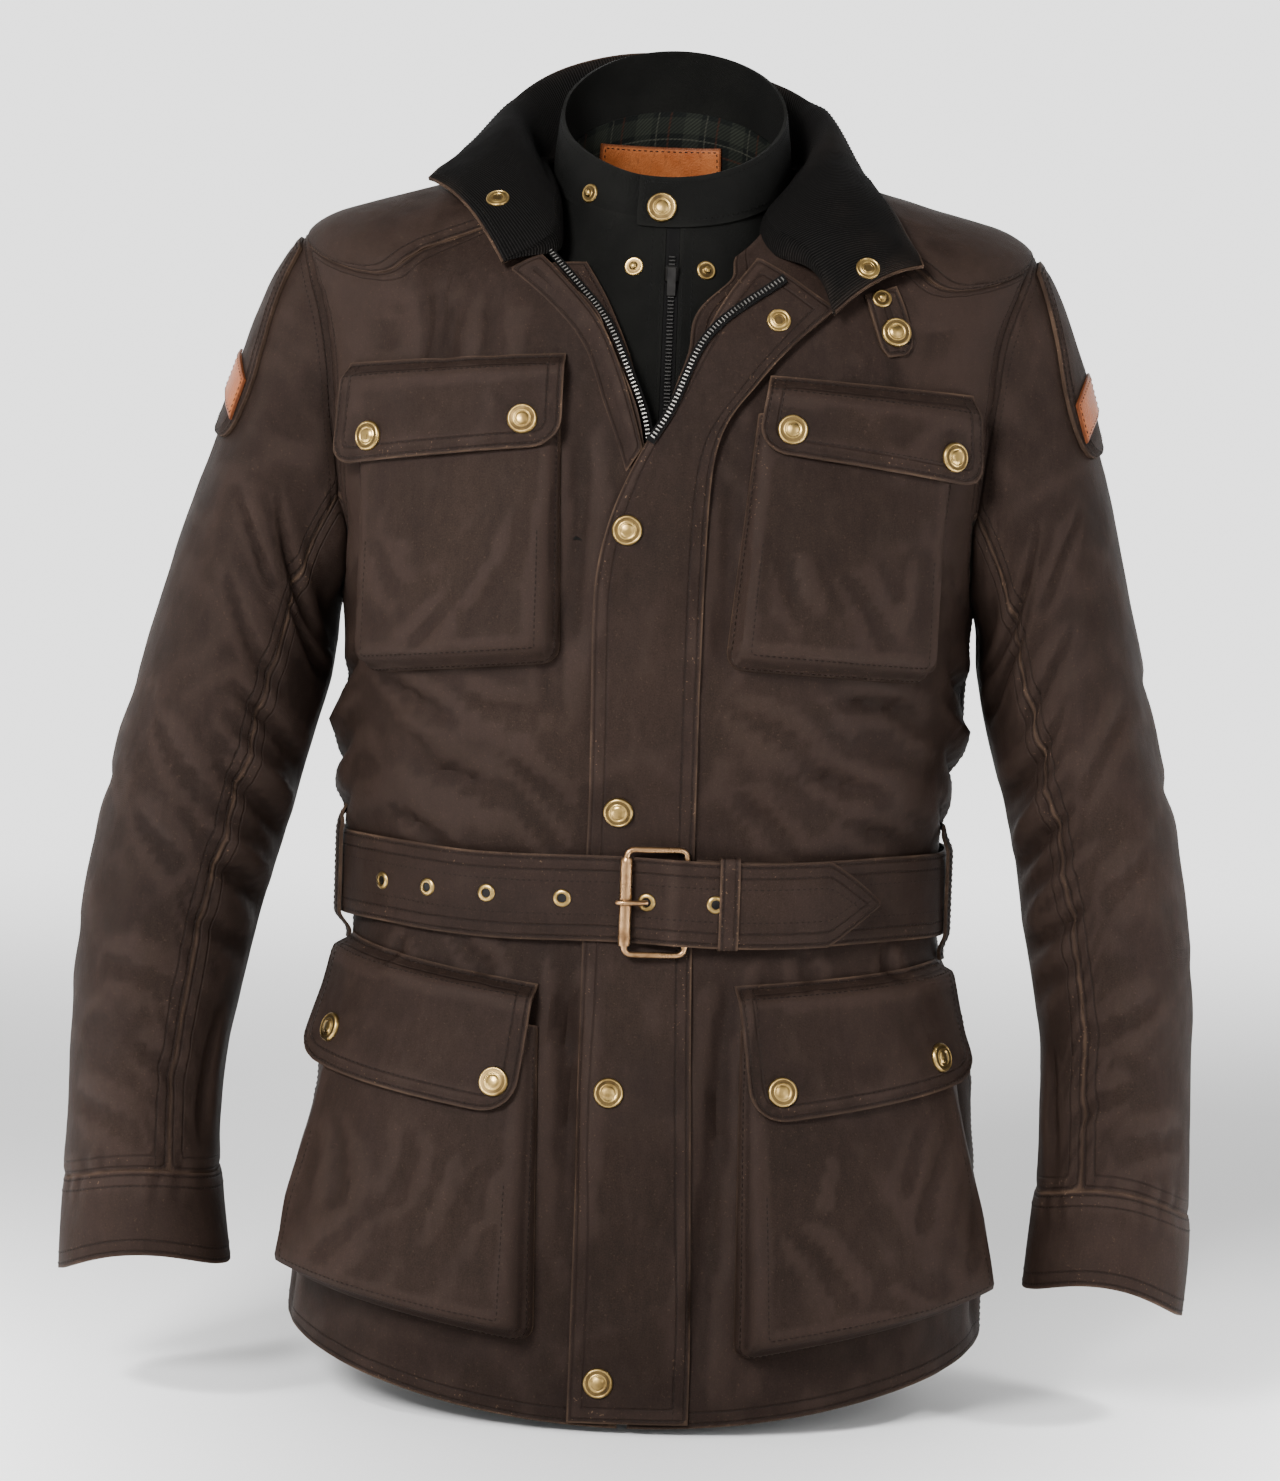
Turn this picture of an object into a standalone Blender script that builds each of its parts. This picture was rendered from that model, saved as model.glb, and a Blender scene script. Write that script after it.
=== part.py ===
"""Motorcycle jacket of waxed cotton with a belted waist, filled out as it is worn.

The garment frame is in metres, +Z up, with the front facing -Y and the origin at the middle of
the neck opening. The body is a stack of rings, the sleeves are fans of rings that start at the
armholes, and everything sewn on lies on the points of the panel under it, moved out.
"""

import math
from collections import namedtuple

import bmesh
import bpy
import numpy as np
from mathutils import Matrix, Vector

# Driving dimensions
CLOTH = 0.0020
THIN_CLOTH = 0.0015
SEAM = 0.0003
LIFT = 0.0009
LAYER = 0.0008
BELT_WIDTH = 0.050
CAP_RADIUS = 0.0088
CAP_HEIGHT = 0.0042
BAG_WALL = 0.0035
ARM_STEPS = 24
FRONT_COLUMNS = 10
BACK_COLUMNS = 16
YOKE_COLUMNS = 6
BODY_ROWS = 15

# Rings of the body, hem to neck: heights at front, side and back, half width, depths, squareness
Ring = namedtuple("Ring", "name front_z side_z back_z half_width front back power")
RINGS = (
    Ring("hem", -0.737, -0.699, -0.716, 0.211, 0.148, 0.130, 2.3),
    Ring("bag", -0.640, -0.630, -0.636, 0.206, 0.143, 0.127, 2.3),
    Ring("hip", -0.560, -0.553, -0.558, 0.197, 0.136, 0.124, 2.3),
    Ring("skirt", -0.505, -0.502, -0.505, 0.186, 0.128, 0.119, 2.3),
    Ring("tuck", -0.464, -0.464, -0.465, 0.177, 0.120, 0.112, 2.3),
    Ring("belt", -0.433, -0.431, -0.431, 0.1735, 0.117, 0.109, 2.3),
    Ring("waist", -0.403, -0.401, -0.400, 0.176, 0.120, 0.112, 2.3),
    Ring("blouse", -0.370, -0.369, -0.368, 0.182, 0.128, 0.118, 2.3),
    Ring("ribs", -0.325, -0.325, -0.325, 0.1865, 0.135, 0.122, 2.35),
    Ring("armpit", -0.266, -0.266, -0.266, 0.190, 0.138, 0.125, 2.5),
    Ring("chest", -0.205, -0.200, -0.202, 0.202, 0.134, 0.127, 2.6),
    Ring("high", -0.155, -0.138, -0.142, 0.212, 0.126, 0.125, 2.6),
    Ring("blade", -0.115, -0.088, -0.092, 0.218, 0.115, 0.119, 2.5),
    Ring("point", -0.091, -0.048, -0.052, 0.217, 0.104, 0.108, 2.4),
    Ring("slope", -0.080, -0.030, -0.022, 0.182, 0.098, 0.095, 2.3),
    Ring("ridge", -0.075, -0.017, -0.002, 0.136, 0.095, 0.081, 2.2),
    Ring("neck", -0.072, -0.002, 0.012, 0.083, 0.093, 0.066, 2.1),
)
HEM, ARMPIT, POINT, NECK = 0, 9, 13, 16

# Armhole: an oval in ring angle and ring number about the side
ARMHOLE_FRONT = math.radians(30)
ARMHOLE_BACK = math.radians(27)
ARMHOLE_POWER = 2.5

# Rings of each sleeve: its outer and inner points, middle, half depth front to back, and how far
# the front and back arch up over the sides
Cuff = namedtuple("Cuff", "name outer_x outer_z inner_x inner_z middle_y half_depth arch")
ARMS = {
    -1: (
        Cuff("armhole", 0.2175, -0.047, 0.1900, -0.266, 0.000, 0.060, 0.0),
        Cuff("head", 0.2350, -0.077, 0.1920, -0.276, -0.002, 0.068, 0.0),
        Cuff("cap", 0.2510, -0.120, 0.1930, -0.287, -0.004, 0.074, 0.0),
        Cuff("patch", 0.2665, -0.165, 0.1940, -0.300, -0.007, 0.078, 0.0),
        Cuff("biceps", 0.2820, -0.213, 0.1965, -0.318, -0.010, 0.079, 0.0),
        Cuff("upper", 0.2990, -0.270, 0.2035, -0.348, -0.014, 0.078, 0.0),
        Cuff("over", 0.3145, -0.330, 0.2120, -0.382, -0.019, 0.074, 0.001),
        Cuff("elbow", 0.3285, -0.390, 0.2220, -0.421, -0.025, 0.070, 0.002),
        Cuff("below", 0.3385, -0.449, 0.2340, -0.464, -0.031, 0.065, 0.003),
        Cuff("fore", 0.3425, -0.508, 0.2430, -0.511, -0.038, 0.060, 0.004),
        Cuff("lower", 0.3430, -0.562, 0.2500, -0.559, -0.045, 0.056, 0.006),
        Cuff("seam", 0.3425, -0.618, 0.2500, -0.612, -0.051, 0.053, 0.009),
        Cuff("cuff", 0.3435, -0.673, 0.2425, -0.666, -0.056, 0.054, 0.0145),
    ),
    1: (
        Cuff("armhole", 0.2175, -0.047, 0.1900, -0.266, 0.000, 0.060, 0.0),
        Cuff("head", 0.2335, -0.078, 0.1918, -0.277, -0.002, 0.067, 0.0),
        Cuff("cap", 0.2475, -0.118, 0.1925, -0.289, -0.004, 0.072, 0.0),
        Cuff("patch", 0.2605, -0.160, 0.1940, -0.303, -0.007, 0.075, 0.0),
        Cuff("biceps", 0.2720, -0.205, 0.1985, -0.323, -0.010, 0.076, 0.0),
        Cuff("upper", 0.2855, -0.260, 0.2050, -0.352, -0.014, 0.075, 0.001),
        Cuff("over", 0.2985, -0.318, 0.2155, -0.387, -0.019, 0.072, 0.002),
        Cuff("elbow", 0.3125, -0.377, 0.2230, -0.425, -0.025, 0.068, 0.003),
        Cuff("below", 0.3240, -0.438, 0.2295, -0.465, -0.031, 0.064, 0.005),
        Cuff("fore", 0.3285, -0.500, 0.2375, -0.510, -0.038, 0.059, 0.007),
        Cuff("lower", 0.3285, -0.556, 0.2390, -0.557, -0.045, 0.055, 0.010),
        Cuff("seam", 0.3300, -0.6155, 0.2385, -0.6045, -0.051, 0.052, 0.014),
        Cuff("cuff", 0.3275, -0.6745, 0.2335, -0.6615, -0.056, 0.053, 0.0165),
    ),
}
SLEEVE_ROWS = (0, 0.4, 1.0, 1.8, 2.7, 3.6, 4.5, 5.3, 6.1, 6.9, 7.8, 8.8, 9.9, 11)
CUFF_ROWS = (11, 11.5, 12)
UNDER_SLEEVE_HALF = 4
RIM_ORDER = (0.37, 0.21, 1.0)
ZIP_HALF_TURN = math.radians(0.8)
CUFF_PROUD = 0.0008

# Edges of the open fronts, in the front view (x, z), from the foot of the V to the neck
LEFT_ZIP_EDGE = (
    (-0.007, -0.169), (-0.011, -0.151), (-0.021, -0.127), (-0.033, -0.102),
    (-0.049, -0.082), (-0.072, -0.058),
)
RIGHT_ROLL_EDGE = (
    (-0.001, -0.169), (0.006, -0.150), (0.013, -0.130), (0.022, -0.108),
    (0.031, -0.083), (0.055, -0.052),
)
RIGHT_ZIP_EDGE = (
    (-0.005, -0.168), (0.006, -0.150), (0.015, -0.128), (0.027, -0.106),
    (0.048, -0.088), (0.069, -0.074),
)
YOKE_FRONT = ((0.205, -0.091), (0.171, -0.074), (0.144, -0.060), (0.105, -0.044), (0.072, -0.030))
YOKE_BACK = ((113, 13.2), (118, 14.4), (125, NECK))

# Folds of the body: middle (arc from the front middle, height), lean, half length, width, depth
Fold = namedtuple("Fold", "arc height lean length width depth")
FOLDS = (
    Fold(-0.150, -0.345, -28, 0.060, 0.016, -0.0040),
    Fold(-0.095, -0.372, -14, 0.055, 0.014, -0.0035),
    Fold(-0.175, -0.380, 10, 0.045, 0.014, 0.0030),
    Fold(0.120, -0.350, 22, 0.065, 0.016, -0.0040),
    Fold(0.090, -0.380, 8, 0.050, 0.014, -0.0030),
    Fold(0.175, -0.372, -14, 0.040, 0.014, 0.0030),
    Fold(0.430, -0.360, 14, 0.080, 0.018, -0.0045),
    Fold(-0.430, -0.375, -16, 0.075, 0.018, -0.0045),
    Fold(0.390, -0.620, 84, 0.060, 0.022, -0.0050),
    Fold(-0.400, -0.625, 95, 0.060, 0.022, -0.0050),
    Fold(-0.262, -0.392, 90, 0.062, 0.070, 0.0105),
)

# Pockets: corners of the bag, its depths at mouth and foot, corners of the flap, the radius of
# its lower corners, and its snaps (arc, height, seat). Corners run clockwise from top left
Pocket = namedtuple("Pocket", "name bag mouth_depth foot_depth flap radius snaps")
POCKETS = (
    Pocket(
        "chest_pocket_left", ((-0.181, -0.152), (-0.056, -0.142), (-0.051, -0.296), (-0.177, -0.308)),
        0.004, 0.015, ((-0.189, -0.128), (-0.054, -0.119), (-0.054, -0.173), (-0.195, -0.187)),
        0.016, ((-0.167, -0.170, 0.0006), (-0.076, -0.159, 0.0006)),
    ),
    Pocket(
        "chest_pocket_right", ((0.058, -0.150), (0.178, -0.158), (0.168, -0.303), (0.044, -0.296)),
        0.004, 0.015, ((0.064, -0.128), (0.189, -0.135), (0.195, -0.188), (0.057, -0.172)),
        0.016, ((0.077, -0.160, 0.0006), (0.172, -0.171, 0.0006)),
    ),
    Pocket(
        "low_pocket_left", ((-0.196, -0.492), (-0.057, -0.508), (-0.053, -0.690), (-0.222, -0.668)),
        0.007, 0.024, ((-0.204, -0.467), (-0.058, -0.484), (-0.067, -0.560), (-0.221, -0.541)),
        0.020, ((-0.190, -0.523, 0.0006), (-0.078, -0.541, 0.0013)),
    ),
    Pocket(
        "low_pocket_right", ((0.060, -0.506), (0.197, -0.496), (0.228, -0.668), (0.063, -0.696)),
        0.007, 0.024, ((0.056, -0.481), (0.203, -0.470), (0.219, -0.539), (0.067, -0.560)),
        0.020, ((0.083, -0.541, 0.0013), (0.183, -0.526, 0.0006)),
    ),
)
FLAP_RISE = 0.012

# Rows of (left arc, height, right arc, height), from the foot up
PLACKET_ROWS = (
    (-0.032, -0.7345, 0.038, -0.7335), (-0.032, -0.700, 0.038, -0.698), (-0.032, -0.660, 0.037, -0.658),
    (-0.032, -0.606, 0.035, -0.603), (-0.033, -0.550, 0.033, -0.547), (-0.033, -0.492, 0.031, -0.489),
    (-0.033, -0.460, 0.031, -0.460), (-0.033, -0.434, 0.030, -0.434), (-0.032, -0.400, 0.030, -0.400),
    (-0.032, -0.375, 0.030, -0.375), (-0.032, -0.345, 0.030, -0.345), (-0.032, -0.317, 0.030, -0.315),
    (-0.030, -0.288, 0.030, -0.286), (-0.030, -0.259, 0.031, -0.257), (-0.029, -0.222, 0.031, -0.222),
    (-0.012, -0.200, 0.031, -0.195), (0.010, -0.180, 0.031, -0.168),
)
LAPEL_RIGHT_ROWS = (
    (-0.027, -0.212, -0.024, -0.216), (-0.014, -0.188, -0.006, -0.192), (-0.001, -0.168, 0.014, -0.173),
    (0.009, -0.148, 0.031, -0.158), (0.0155, -0.128, 0.048, -0.142), (0.0230, -0.108, 0.064, -0.124),
    (0.0325, -0.086, 0.079, -0.110), (0.0440, -0.069, 0.087, -0.103), (0.0560, -0.057, 0.095, -0.097),
)
LAPEL_LEFT_ROWS = (
    (-0.013, -0.176, -0.008, -0.172), (-0.020, -0.158, -0.014, -0.152), (-0.028, -0.138, -0.021, -0.131),
    (-0.037, -0.118, -0.031, -0.108), (-0.050, -0.101, -0.043, -0.090), (-0.070, -0.081, -0.061, -0.072),
    (-0.088, -0.072, -0.074, -0.062),
)
# Rows of (left x, height, right x, height) as seen from the front
FACING_LEFT_ROWS = (
    (-0.011, -0.174, -0.004, -0.170), (-0.017, -0.150, -0.009, -0.150), (-0.027, -0.126, -0.015, -0.124),
    (-0.039, -0.102, -0.024, -0.100), (-0.055, -0.084, -0.034, -0.079), (-0.074, -0.064, -0.046, -0.060),
)
FACING_DEPTH = 0.0035
TAPE_HALF = 0.004
TAPE_STEPS = 9
PLACKET_SNAP_ARC = -0.0145
PLACKET_SNAP_HEIGHTS = (-0.219, -0.381, -0.544, -0.711)
STRAP_SNAP = (0.1365, -0.101)
STRAP_ROWS = (
    (0.118, -0.080, 0.137, -0.074), (0.122, -0.092, 0.142, -0.086), (0.126, -0.104, 0.146, -0.099),
    (0.129, -0.111, 0.147, -0.108), (0.133, -0.115, 0.143, -0.1135),
)
# Shoulder patch: rows of (half width in degrees, sleeve row)
PATCH_ROWS = (
    (29, 0.18), (36, 0.8), (42, 1.4), (45, 1.9), (44, 2.35), (41, 2.7), (33, 2.95), (20, 3.05),
)
TAB_ANGLES, TAB_ROWS = (8, 41), (2.02, 2.58)
PATCH_LIFT = 0.0015

# The collar from its left end round the back to its right end: where its neck seam lies on the
# body (turn in degrees, ring, lift), its free edge, and how far it arches between them
Leaf = namedtuple("Leaf", "turn ring lift edge_x edge_y edge_z bulge")
COLLAR = (
    Leaf(-28.1, 13.76, 0.0055, -0.1440, -0.0290, -0.0170, 0.0090),
    Leaf(-32.2, 15.08, 0.0040, -0.1385, -0.0160, -0.0100, 0.0110),
    Leaf(-42.0, 15.75, 0.0020, -0.1320, -0.0040, -0.0040, 0.0130),
    Leaf(-62.0, 16.00, 0.0010, -0.1240, 0.0120, 0.0040, 0.0150),
    Leaf(-90.0, 16.00, 0.0008, -0.1120, 0.0340, 0.0190, 0.0150),
    Leaf(-115.0, 16.00, 0.0008, -0.0980, 0.0550, 0.0380, 0.0100),
    Leaf(-145.0, 16.00, 0.0008, -0.0680, 0.0770, 0.0610, 0.0040),
    Leaf(180.0, 16.00, 0.0008, -0.0050, 0.0880, 0.0715, 0.0020),
    Leaf(145.0, 16.00, 0.0008, 0.0500, 0.0800, 0.0570, 0.0040),
    Leaf(115.0, 16.00, 0.0008, 0.0820, 0.0580, 0.0400, 0.0100),
    Leaf(90.0, 16.00, 0.0008, 0.1000, 0.0280, 0.0180, 0.0150),
    Leaf(62.0, 16.00, 0.0010, 0.1120, -0.0040, -0.0040, 0.0150),
    Leaf(44.0, 15.95, 0.0040, 0.1270, -0.0420, -0.0240, 0.0130),
    Leaf(36.0, 15.40, 0.0085, 0.1390, -0.0660, -0.0430, 0.0100),
    Leaf(30.0, 14.30, 0.0095, 0.1460, -0.0800, -0.0540, 0.0080),
    Leaf(25.3, 12.45, 0.0095, 0.1500, -0.0890, -0.0620, 0.0060),
)
COLLAR_ROWS = 33
COLLAR_COLUMNS = 6

# The liner: its zip, its front, and its standing collar as ovals at the foot and the top
LINER_ZIP_X = 0.005
LINER_ZIP_HALF = 0.0045
BIB_FOOT = -0.225
BIB_HALF = 0.078
BIB_DEPTH = 0.0029
BIB_ROWS = 7
Oval = namedtuple("Oval", "half_width front back front_z side_z back_z")
STAND_FOOT = Oval(0.0715, 0.0840, 0.0575, -0.0520, 0.0000, 0.0310)
STAND_TOP = Oval(0.0675, 0.0765, 0.0550, -0.0135, 0.0260, 0.0710)
STAND_FROM, STAND_TO, STAND_LAP = math.radians(-14), math.radians(370), math.radians(40)
LABEL_FROM, LABEL_TO, LABEL_TOP, LABEL_FOOT = -0.78125, 0.46875, 0.24, 0.56

# Belt: lengths along it from the front middle, and how far it stands off the waist
BELT_RING = 5
BELT_START, BELT_TIP, BELT_TAPER = 0.031, 0.138, 0.034
BELT_LIFT, BELT_FRONT_LIFT, BELT_OVER = 0.0048, 0.0066, 0.0110
ROLLER_ARC, BAR_ARC, KEEPER_FROM, KEEPER_TO = -0.0085, 0.0255, 0.044, 0.055
FRAME_HALF_HEIGHT, WIRE, ROLLER_RADIUS, ROLLER_HALF = 0.0305, 0.0018, 0.0036, 0.0255
BELT_TIP_TOP, BELT_TIP_FOOT, BELT_LAP, BELT_STEPS = 0.95, 0.62, 0.20, 44
# (length, lift) from the front middle, and the same once the belt is round the waist
BELT_SETS_OUT = ((0.0, BELT_FRONT_LIFT), (0.06, BELT_FRONT_LIFT), (0.14, BELT_LIFT))
BELT_COMES_ROUND = (
    (-0.14, BELT_LIFT), (-0.045, BELT_FRONT_LIFT), (-0.009, BELT_FRONT_LIFT + 0.001),
    (0.018, BELT_OVER + 0.0015), (BELT_TIP, BELT_OVER),
)
LOOP_ARC, LOOP_HALF = 0.213, 0.005
LOOP_ROWS = (
    (0.0430, 0.0012), (0.0360, 0.0030), (0.0285, 0.0090), (0.0, 0.0105), (-0.0285, 0.0090),
    (-0.0360, 0.0030), (-0.0430, 0.0012),
)
KEEPER_LOW, KEEPER_HIGH, KEEPER_TALL, KEEPER_WALL = 0.0052, BELT_OVER + CLOTH + 0.0016, 0.0265, 0.0012
BAR_LIFT, FRAME_CORNER = 0.0098, 0.005
ROLL_LIFT = BELT_FRONT_LIFT + CLOTH + ROLLER_RADIUS + 0.0018
# The buckle's outline and its prong: length along the belt, distance up it, lift
FRAME_OUTLINE = (
    (ROLLER_ARC, FRAME_CORNER - FRAME_HALF_HEIGHT, ROLL_LIFT),
    (ROLLER_ARC, FRAME_HALF_HEIGHT - FRAME_CORNER, ROLL_LIFT),
    (ROLLER_ARC + 0.0015, FRAME_HALF_HEIGHT - 0.0015, ROLL_LIFT),
    (ROLLER_ARC + FRAME_CORNER, FRAME_HALF_HEIGHT, ROLL_LIFT),
    (BAR_ARC - FRAME_CORNER, FRAME_HALF_HEIGHT, BAR_LIFT + 0.001),
    (BAR_ARC - 0.0015, FRAME_HALF_HEIGHT - 0.0015, BAR_LIFT),
    (BAR_ARC, FRAME_HALF_HEIGHT - FRAME_CORNER, BAR_LIFT),
    (BAR_ARC, FRAME_CORNER - FRAME_HALF_HEIGHT, BAR_LIFT),
    (BAR_ARC - 0.0015, 0.0015 - FRAME_HALF_HEIGHT, BAR_LIFT),
    (BAR_ARC - FRAME_CORNER, -FRAME_HALF_HEIGHT, BAR_LIFT + 0.001),
    (ROLLER_ARC + FRAME_CORNER, -FRAME_HALF_HEIGHT, ROLL_LIFT),
    (ROLLER_ARC + 0.0015, 0.0015 - FRAME_HALF_HEIGHT, ROLL_LIFT),
)
PRONG_WIRE, BORE_PLAY = 0.0014, 0.0004
PRONG_LINE = (
    (ROLLER_ARC - 0.0035, 0.0, ROLL_LIFT + ROLLER_RADIUS + 0.0018),
    (ROLLER_ARC + 0.0010, 0.0, ROLL_LIFT + ROLLER_RADIUS + 0.0020),
    (ROLLER_ARC + 0.0060, 0.0, ROLL_LIFT + ROLLER_RADIUS + 0.0010),
    (ROLLER_ARC + 0.0110, 0.0, ROLL_LIFT + 0.0012),
)

# Snap caps: rows of (radius, height)
CAP_PROFILE = (
    (0.0, CAP_HEIGHT), (0.0040, CAP_HEIGHT), (0.0062, CAP_HEIGHT - 0.0008),
    (CAP_RADIUS, CAP_HEIGHT - 0.0020), (CAP_RADIUS, 0.0), (0.0, 0.0),
)

# Slider of the liner zip
SLIDER_SIZE = (0.0080, 0.0030, 0.0100)
PULL_SIZE = (0.0055, 0.0012, 0.0170)
SLIDER_SHARE = 0.90

# Finishes: colour, roughness, metallic
Finish = namedtuple("Finish", "name colour roughness metallic")
WAXED = Finish("waxed_cotton", (0.045, 0.030, 0.023), 0.62, 0.0)
LINER = Finish("liner_cloth", (0.012, 0.012, 0.012), 0.75, 0.0)
CORDUROY = Finish("corduroy", (0.008, 0.008, 0.009), 0.9, 0.0)
CHECK = Finish("check_lining", (0.012, 0.013, 0.012), 0.8, 0.0)
LEATHER = Finish("leather", (0.33, 0.11, 0.035), 0.5, 0.0)
BRASS = Finish("brass", (0.40, 0.28, 0.12), 0.35, 1.0)
COPPER = Finish("antique_copper", (0.32, 0.17, 0.10), 0.4, 1.0)
TAPE = Finish("zip_tape", (0.012, 0.011, 0.011), 0.8, 0.0)
BLACK_METAL = Finish("black_metal", (0.02, 0.02, 0.02), 0.4, 1.0)


# Curves and surfaces


def bends(table):
    """Second differences of the natural cubic spline through the rows of a table."""
    count = len(table)
    matrix = np.eye(count)
    change = np.zeros_like(table)
    for row in range(1, count - 1):
        matrix[row, row - 1:row + 2] = (1, 4, 1)
        change[row] = 6 * (table[row + 1] - 2 * table[row] + table[row - 1])
    return np.linalg.solve(matrix, change)


def spline(table, bend, place):
    """The table's columns at fractional row numbers."""
    place = np.asarray(place, float)
    row = np.clip(np.floor(place).astype(int), 0, len(table) - 2)
    after = (place - row)[..., None]
    before = 1 - after
    curve = (before**3 - before) * bend[row] + (after**3 - after) * bend[row + 1]
    return table[row] * before + table[row + 1] * after + curve / 6


def along(points, steps):
    """A smooth curve through points, read at equal steps of its length."""
    table = np.asarray(points, float)
    bend = bends(table)
    fine = np.linspace(0, len(table) - 1, 200)
    curve = spline(table, bend, fine)
    run = np.concatenate([[0], np.cumsum(np.linalg.norm(np.diff(curve, axis=0), axis=1))])
    steps = np.linspace(0, 1, steps) if np.isscalar(steps) else np.asarray(steps)
    return spline(table, bend, np.interp(steps * run[-1], run, fine))


RING_TABLE = np.array([ring[1:] for ring in RINGS])
RING_BENDS = bends(RING_TABLE)
ARM_TABLES = {side: np.array([cuff[1:] for cuff in rows]) for side, rows in ARMS.items()}
ARM_BENDS = {side: bends(table) for side, table in ARM_TABLES.items()}


def smooth_body(turn, ring):
    """The body's surface without folds. The turn is 0 at the front and +90 degrees at +X."""
    turn, ring = np.broadcast_arrays(np.asarray(turn, float), np.asarray(ring, float))
    columns = np.moveaxis(spline(RING_TABLE, RING_BENDS, ring), -1, 0)
    front_z, side_z, back_z, half_width, front, back, power = columns
    across, ahead = np.sin(turn), np.cos(turn)
    reach = (np.abs(across)**power + np.abs(ahead)**power)**(-1 / power)
    depth = np.where(ahead >= 0, front, back)
    middle_z = np.where(ahead >= 0, front_z, back_z)
    height = side_z * across**2 + middle_z * ahead**2
    return np.stack([half_width * reach * across, -depth * reach * ahead, height], -1)


def facing_of(surface, first, second, step=1e-3):
    """Unit normals of a surface of two parameters."""
    a = surface(first + step, second) - surface(first - step, second)
    b = surface(first, second + step) - surface(first, second - step)
    normal = np.cross(a, b)
    return normal / np.linalg.norm(normal, axis=-1, keepdims=True)


def arc_of(turn, ring, steps=25):
    """Signed length along a ring from the front middle."""
    share = np.linspace(0, 1, steps)
    points = smooth_body(np.asarray(turn)[..., None] * share, np.asarray(ring)[..., None] * np.ones(steps))
    return np.linalg.norm(np.diff(points, axis=-2), axis=-1).sum(-1) * np.sign(turn)


def fold_depth(turn, ring):
    """How far the folds move the cloth in or out."""
    height = smooth_body(turn, ring)[..., 2]
    arc = arc_of(turn, ring)
    total = np.zeros(np.shape(arc))
    for fold in FOLDS:
        lean = math.radians(fold.lean)
        over, up = arc - fold.arc, height - fold.height
        lengthwise = over * math.cos(lean) + up * math.sin(lean)
        crosswise = -over * math.sin(lean) + up * math.cos(lean)
        total += fold.depth * np.exp(-(crosswise / fold.width)**2 - (lengthwise / fold.length)**4)
    return total


def body(turn, ring, lift=0.0):
    """The body's outer surface with its folds, moved out by lift, and its normals."""
    turn, ring = np.broadcast_arrays(np.asarray(turn, float), np.asarray(ring, float))
    normal = facing_of(smooth_body, turn, ring)
    away = (fold_depth(turn, ring) + lift)[..., None]
    return smooth_body(turn, ring) + normal * away, normal


def solve_place(measure, wanted, turn, ring):
    """Newton's method for the (turn, ring) at which two measures have the wanted values."""
    step = 1e-4
    for _ in range(14):
        here = measure(turn, ring)
        by_turn = (measure(turn + step, ring) - here) / step
        by_ring = (measure(turn, ring + step) - here) / step
        miss = here - wanted
        area = by_turn[..., 0] * by_ring[..., 1] - by_turn[..., 1] * by_ring[..., 0]
        move_turn = (miss[..., 0] * by_ring[..., 1] - miss[..., 1] * by_ring[..., 0]) / area
        move_ring = (by_turn[..., 0] * miss[..., 1] - by_turn[..., 1] * miss[..., 0]) / area
        turn = turn - np.clip(move_turn, -0.3, 0.3)
        ring = np.clip(ring - np.clip(move_ring, -1, 1), -0.5, NECK + 0.5)
    return turn, ring


def at_arc(arc, height):
    """(turn, ring) of a point given by its arc from the front middle and its height."""
    arc, height = np.broadcast_arrays(np.asarray(arc, float), np.asarray(height, float))

    def measure(turn, ring):
        return np.stack([arc_of(turn, ring), smooth_body(turn, ring)[..., 2]], -1)

    guess = np.interp(height, RING_TABLE[:, 0], np.arange(len(RINGS)))
    return solve_place(measure, np.stack([arc, height], -1), arc / 0.15, guess)


def at_front(x, height):
    """(turn, ring) of a point of the front given as it is seen from the front."""
    x, height = np.broadcast_arrays(np.asarray(x, float), np.asarray(height, float))

    def measure(turn, ring):
        return smooth_body(turn, ring)[..., [0, 2]]

    guess = np.interp(height, RING_TABLE[:, 0], np.arange(len(RINGS)))
    return solve_place(measure, np.stack([x, height], -1), x / 0.17, guess)


def oval(angle):
    """A square-shouldered unit oval."""
    across, up = np.sin(angle), np.cos(angle)
    reach = (np.abs(across)**ARMHOLE_POWER + np.abs(up)**ARMHOLE_POWER)**(-1 / ARMHOLE_POWER)
    return across * reach, up * reach


def armhole(angle):
    """(turn, ring) on the +X armhole. Angle 0 is the shoulder point and +90 degrees its front."""
    across, up = oval(np.asarray(angle, float))
    half = np.where(across > 0, ARMHOLE_FRONT, ARMHOLE_BACK)
    return math.pi / 2 - half * across, (ARMPIT + POINT) / 2 + (POINT - ARMPIT) / 2 * up


def sleeve(side, angle, row):
    """The sleeve's outer surface. Angle 0 is its outer side and +90 degrees its front."""
    angle, row = np.broadcast_arrays(np.asarray(angle, float), np.asarray(row, float))
    table, bend = ARM_TABLES[side], ARM_BENDS[side]

    def plain(place):
        columns = np.moveaxis(spline(table, bend, place), -1, 0)
        outer_x, outer_z, inner_x, inner_z, middle_y, half_depth, arch = columns
        out = np.cos(angle)
        x = (outer_x + inner_x) / 2 + (outer_x - inner_x) / 2 * out
        z = (outer_z + inner_z) / 2 + (outer_z - inner_z) / 2 * out + arch * np.sin(angle)**2
        return np.stack([x, middle_y - half_depth * np.sin(angle), z], -1)

    turn, ring = armhole(angle)
    blend = np.clip(row / 2.5, 0, 1)
    blend = (1 - blend * blend * (3 - 2 * blend))[..., None]
    points = plain(row) + (smooth_body(turn, ring) - plain(np.zeros_like(row))) * blend
    return points * (side, 1, 1)


def sleeve_normal(side, angle, row):
    """Unit normals of the sleeve, pointing out of it."""
    step = 2e-3
    row = np.clip(row, step, len(ARMS[side]) - 1 - step)
    return side * facing_of(lambda a, b: sleeve(side, a, b), angle, row, step)


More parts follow.
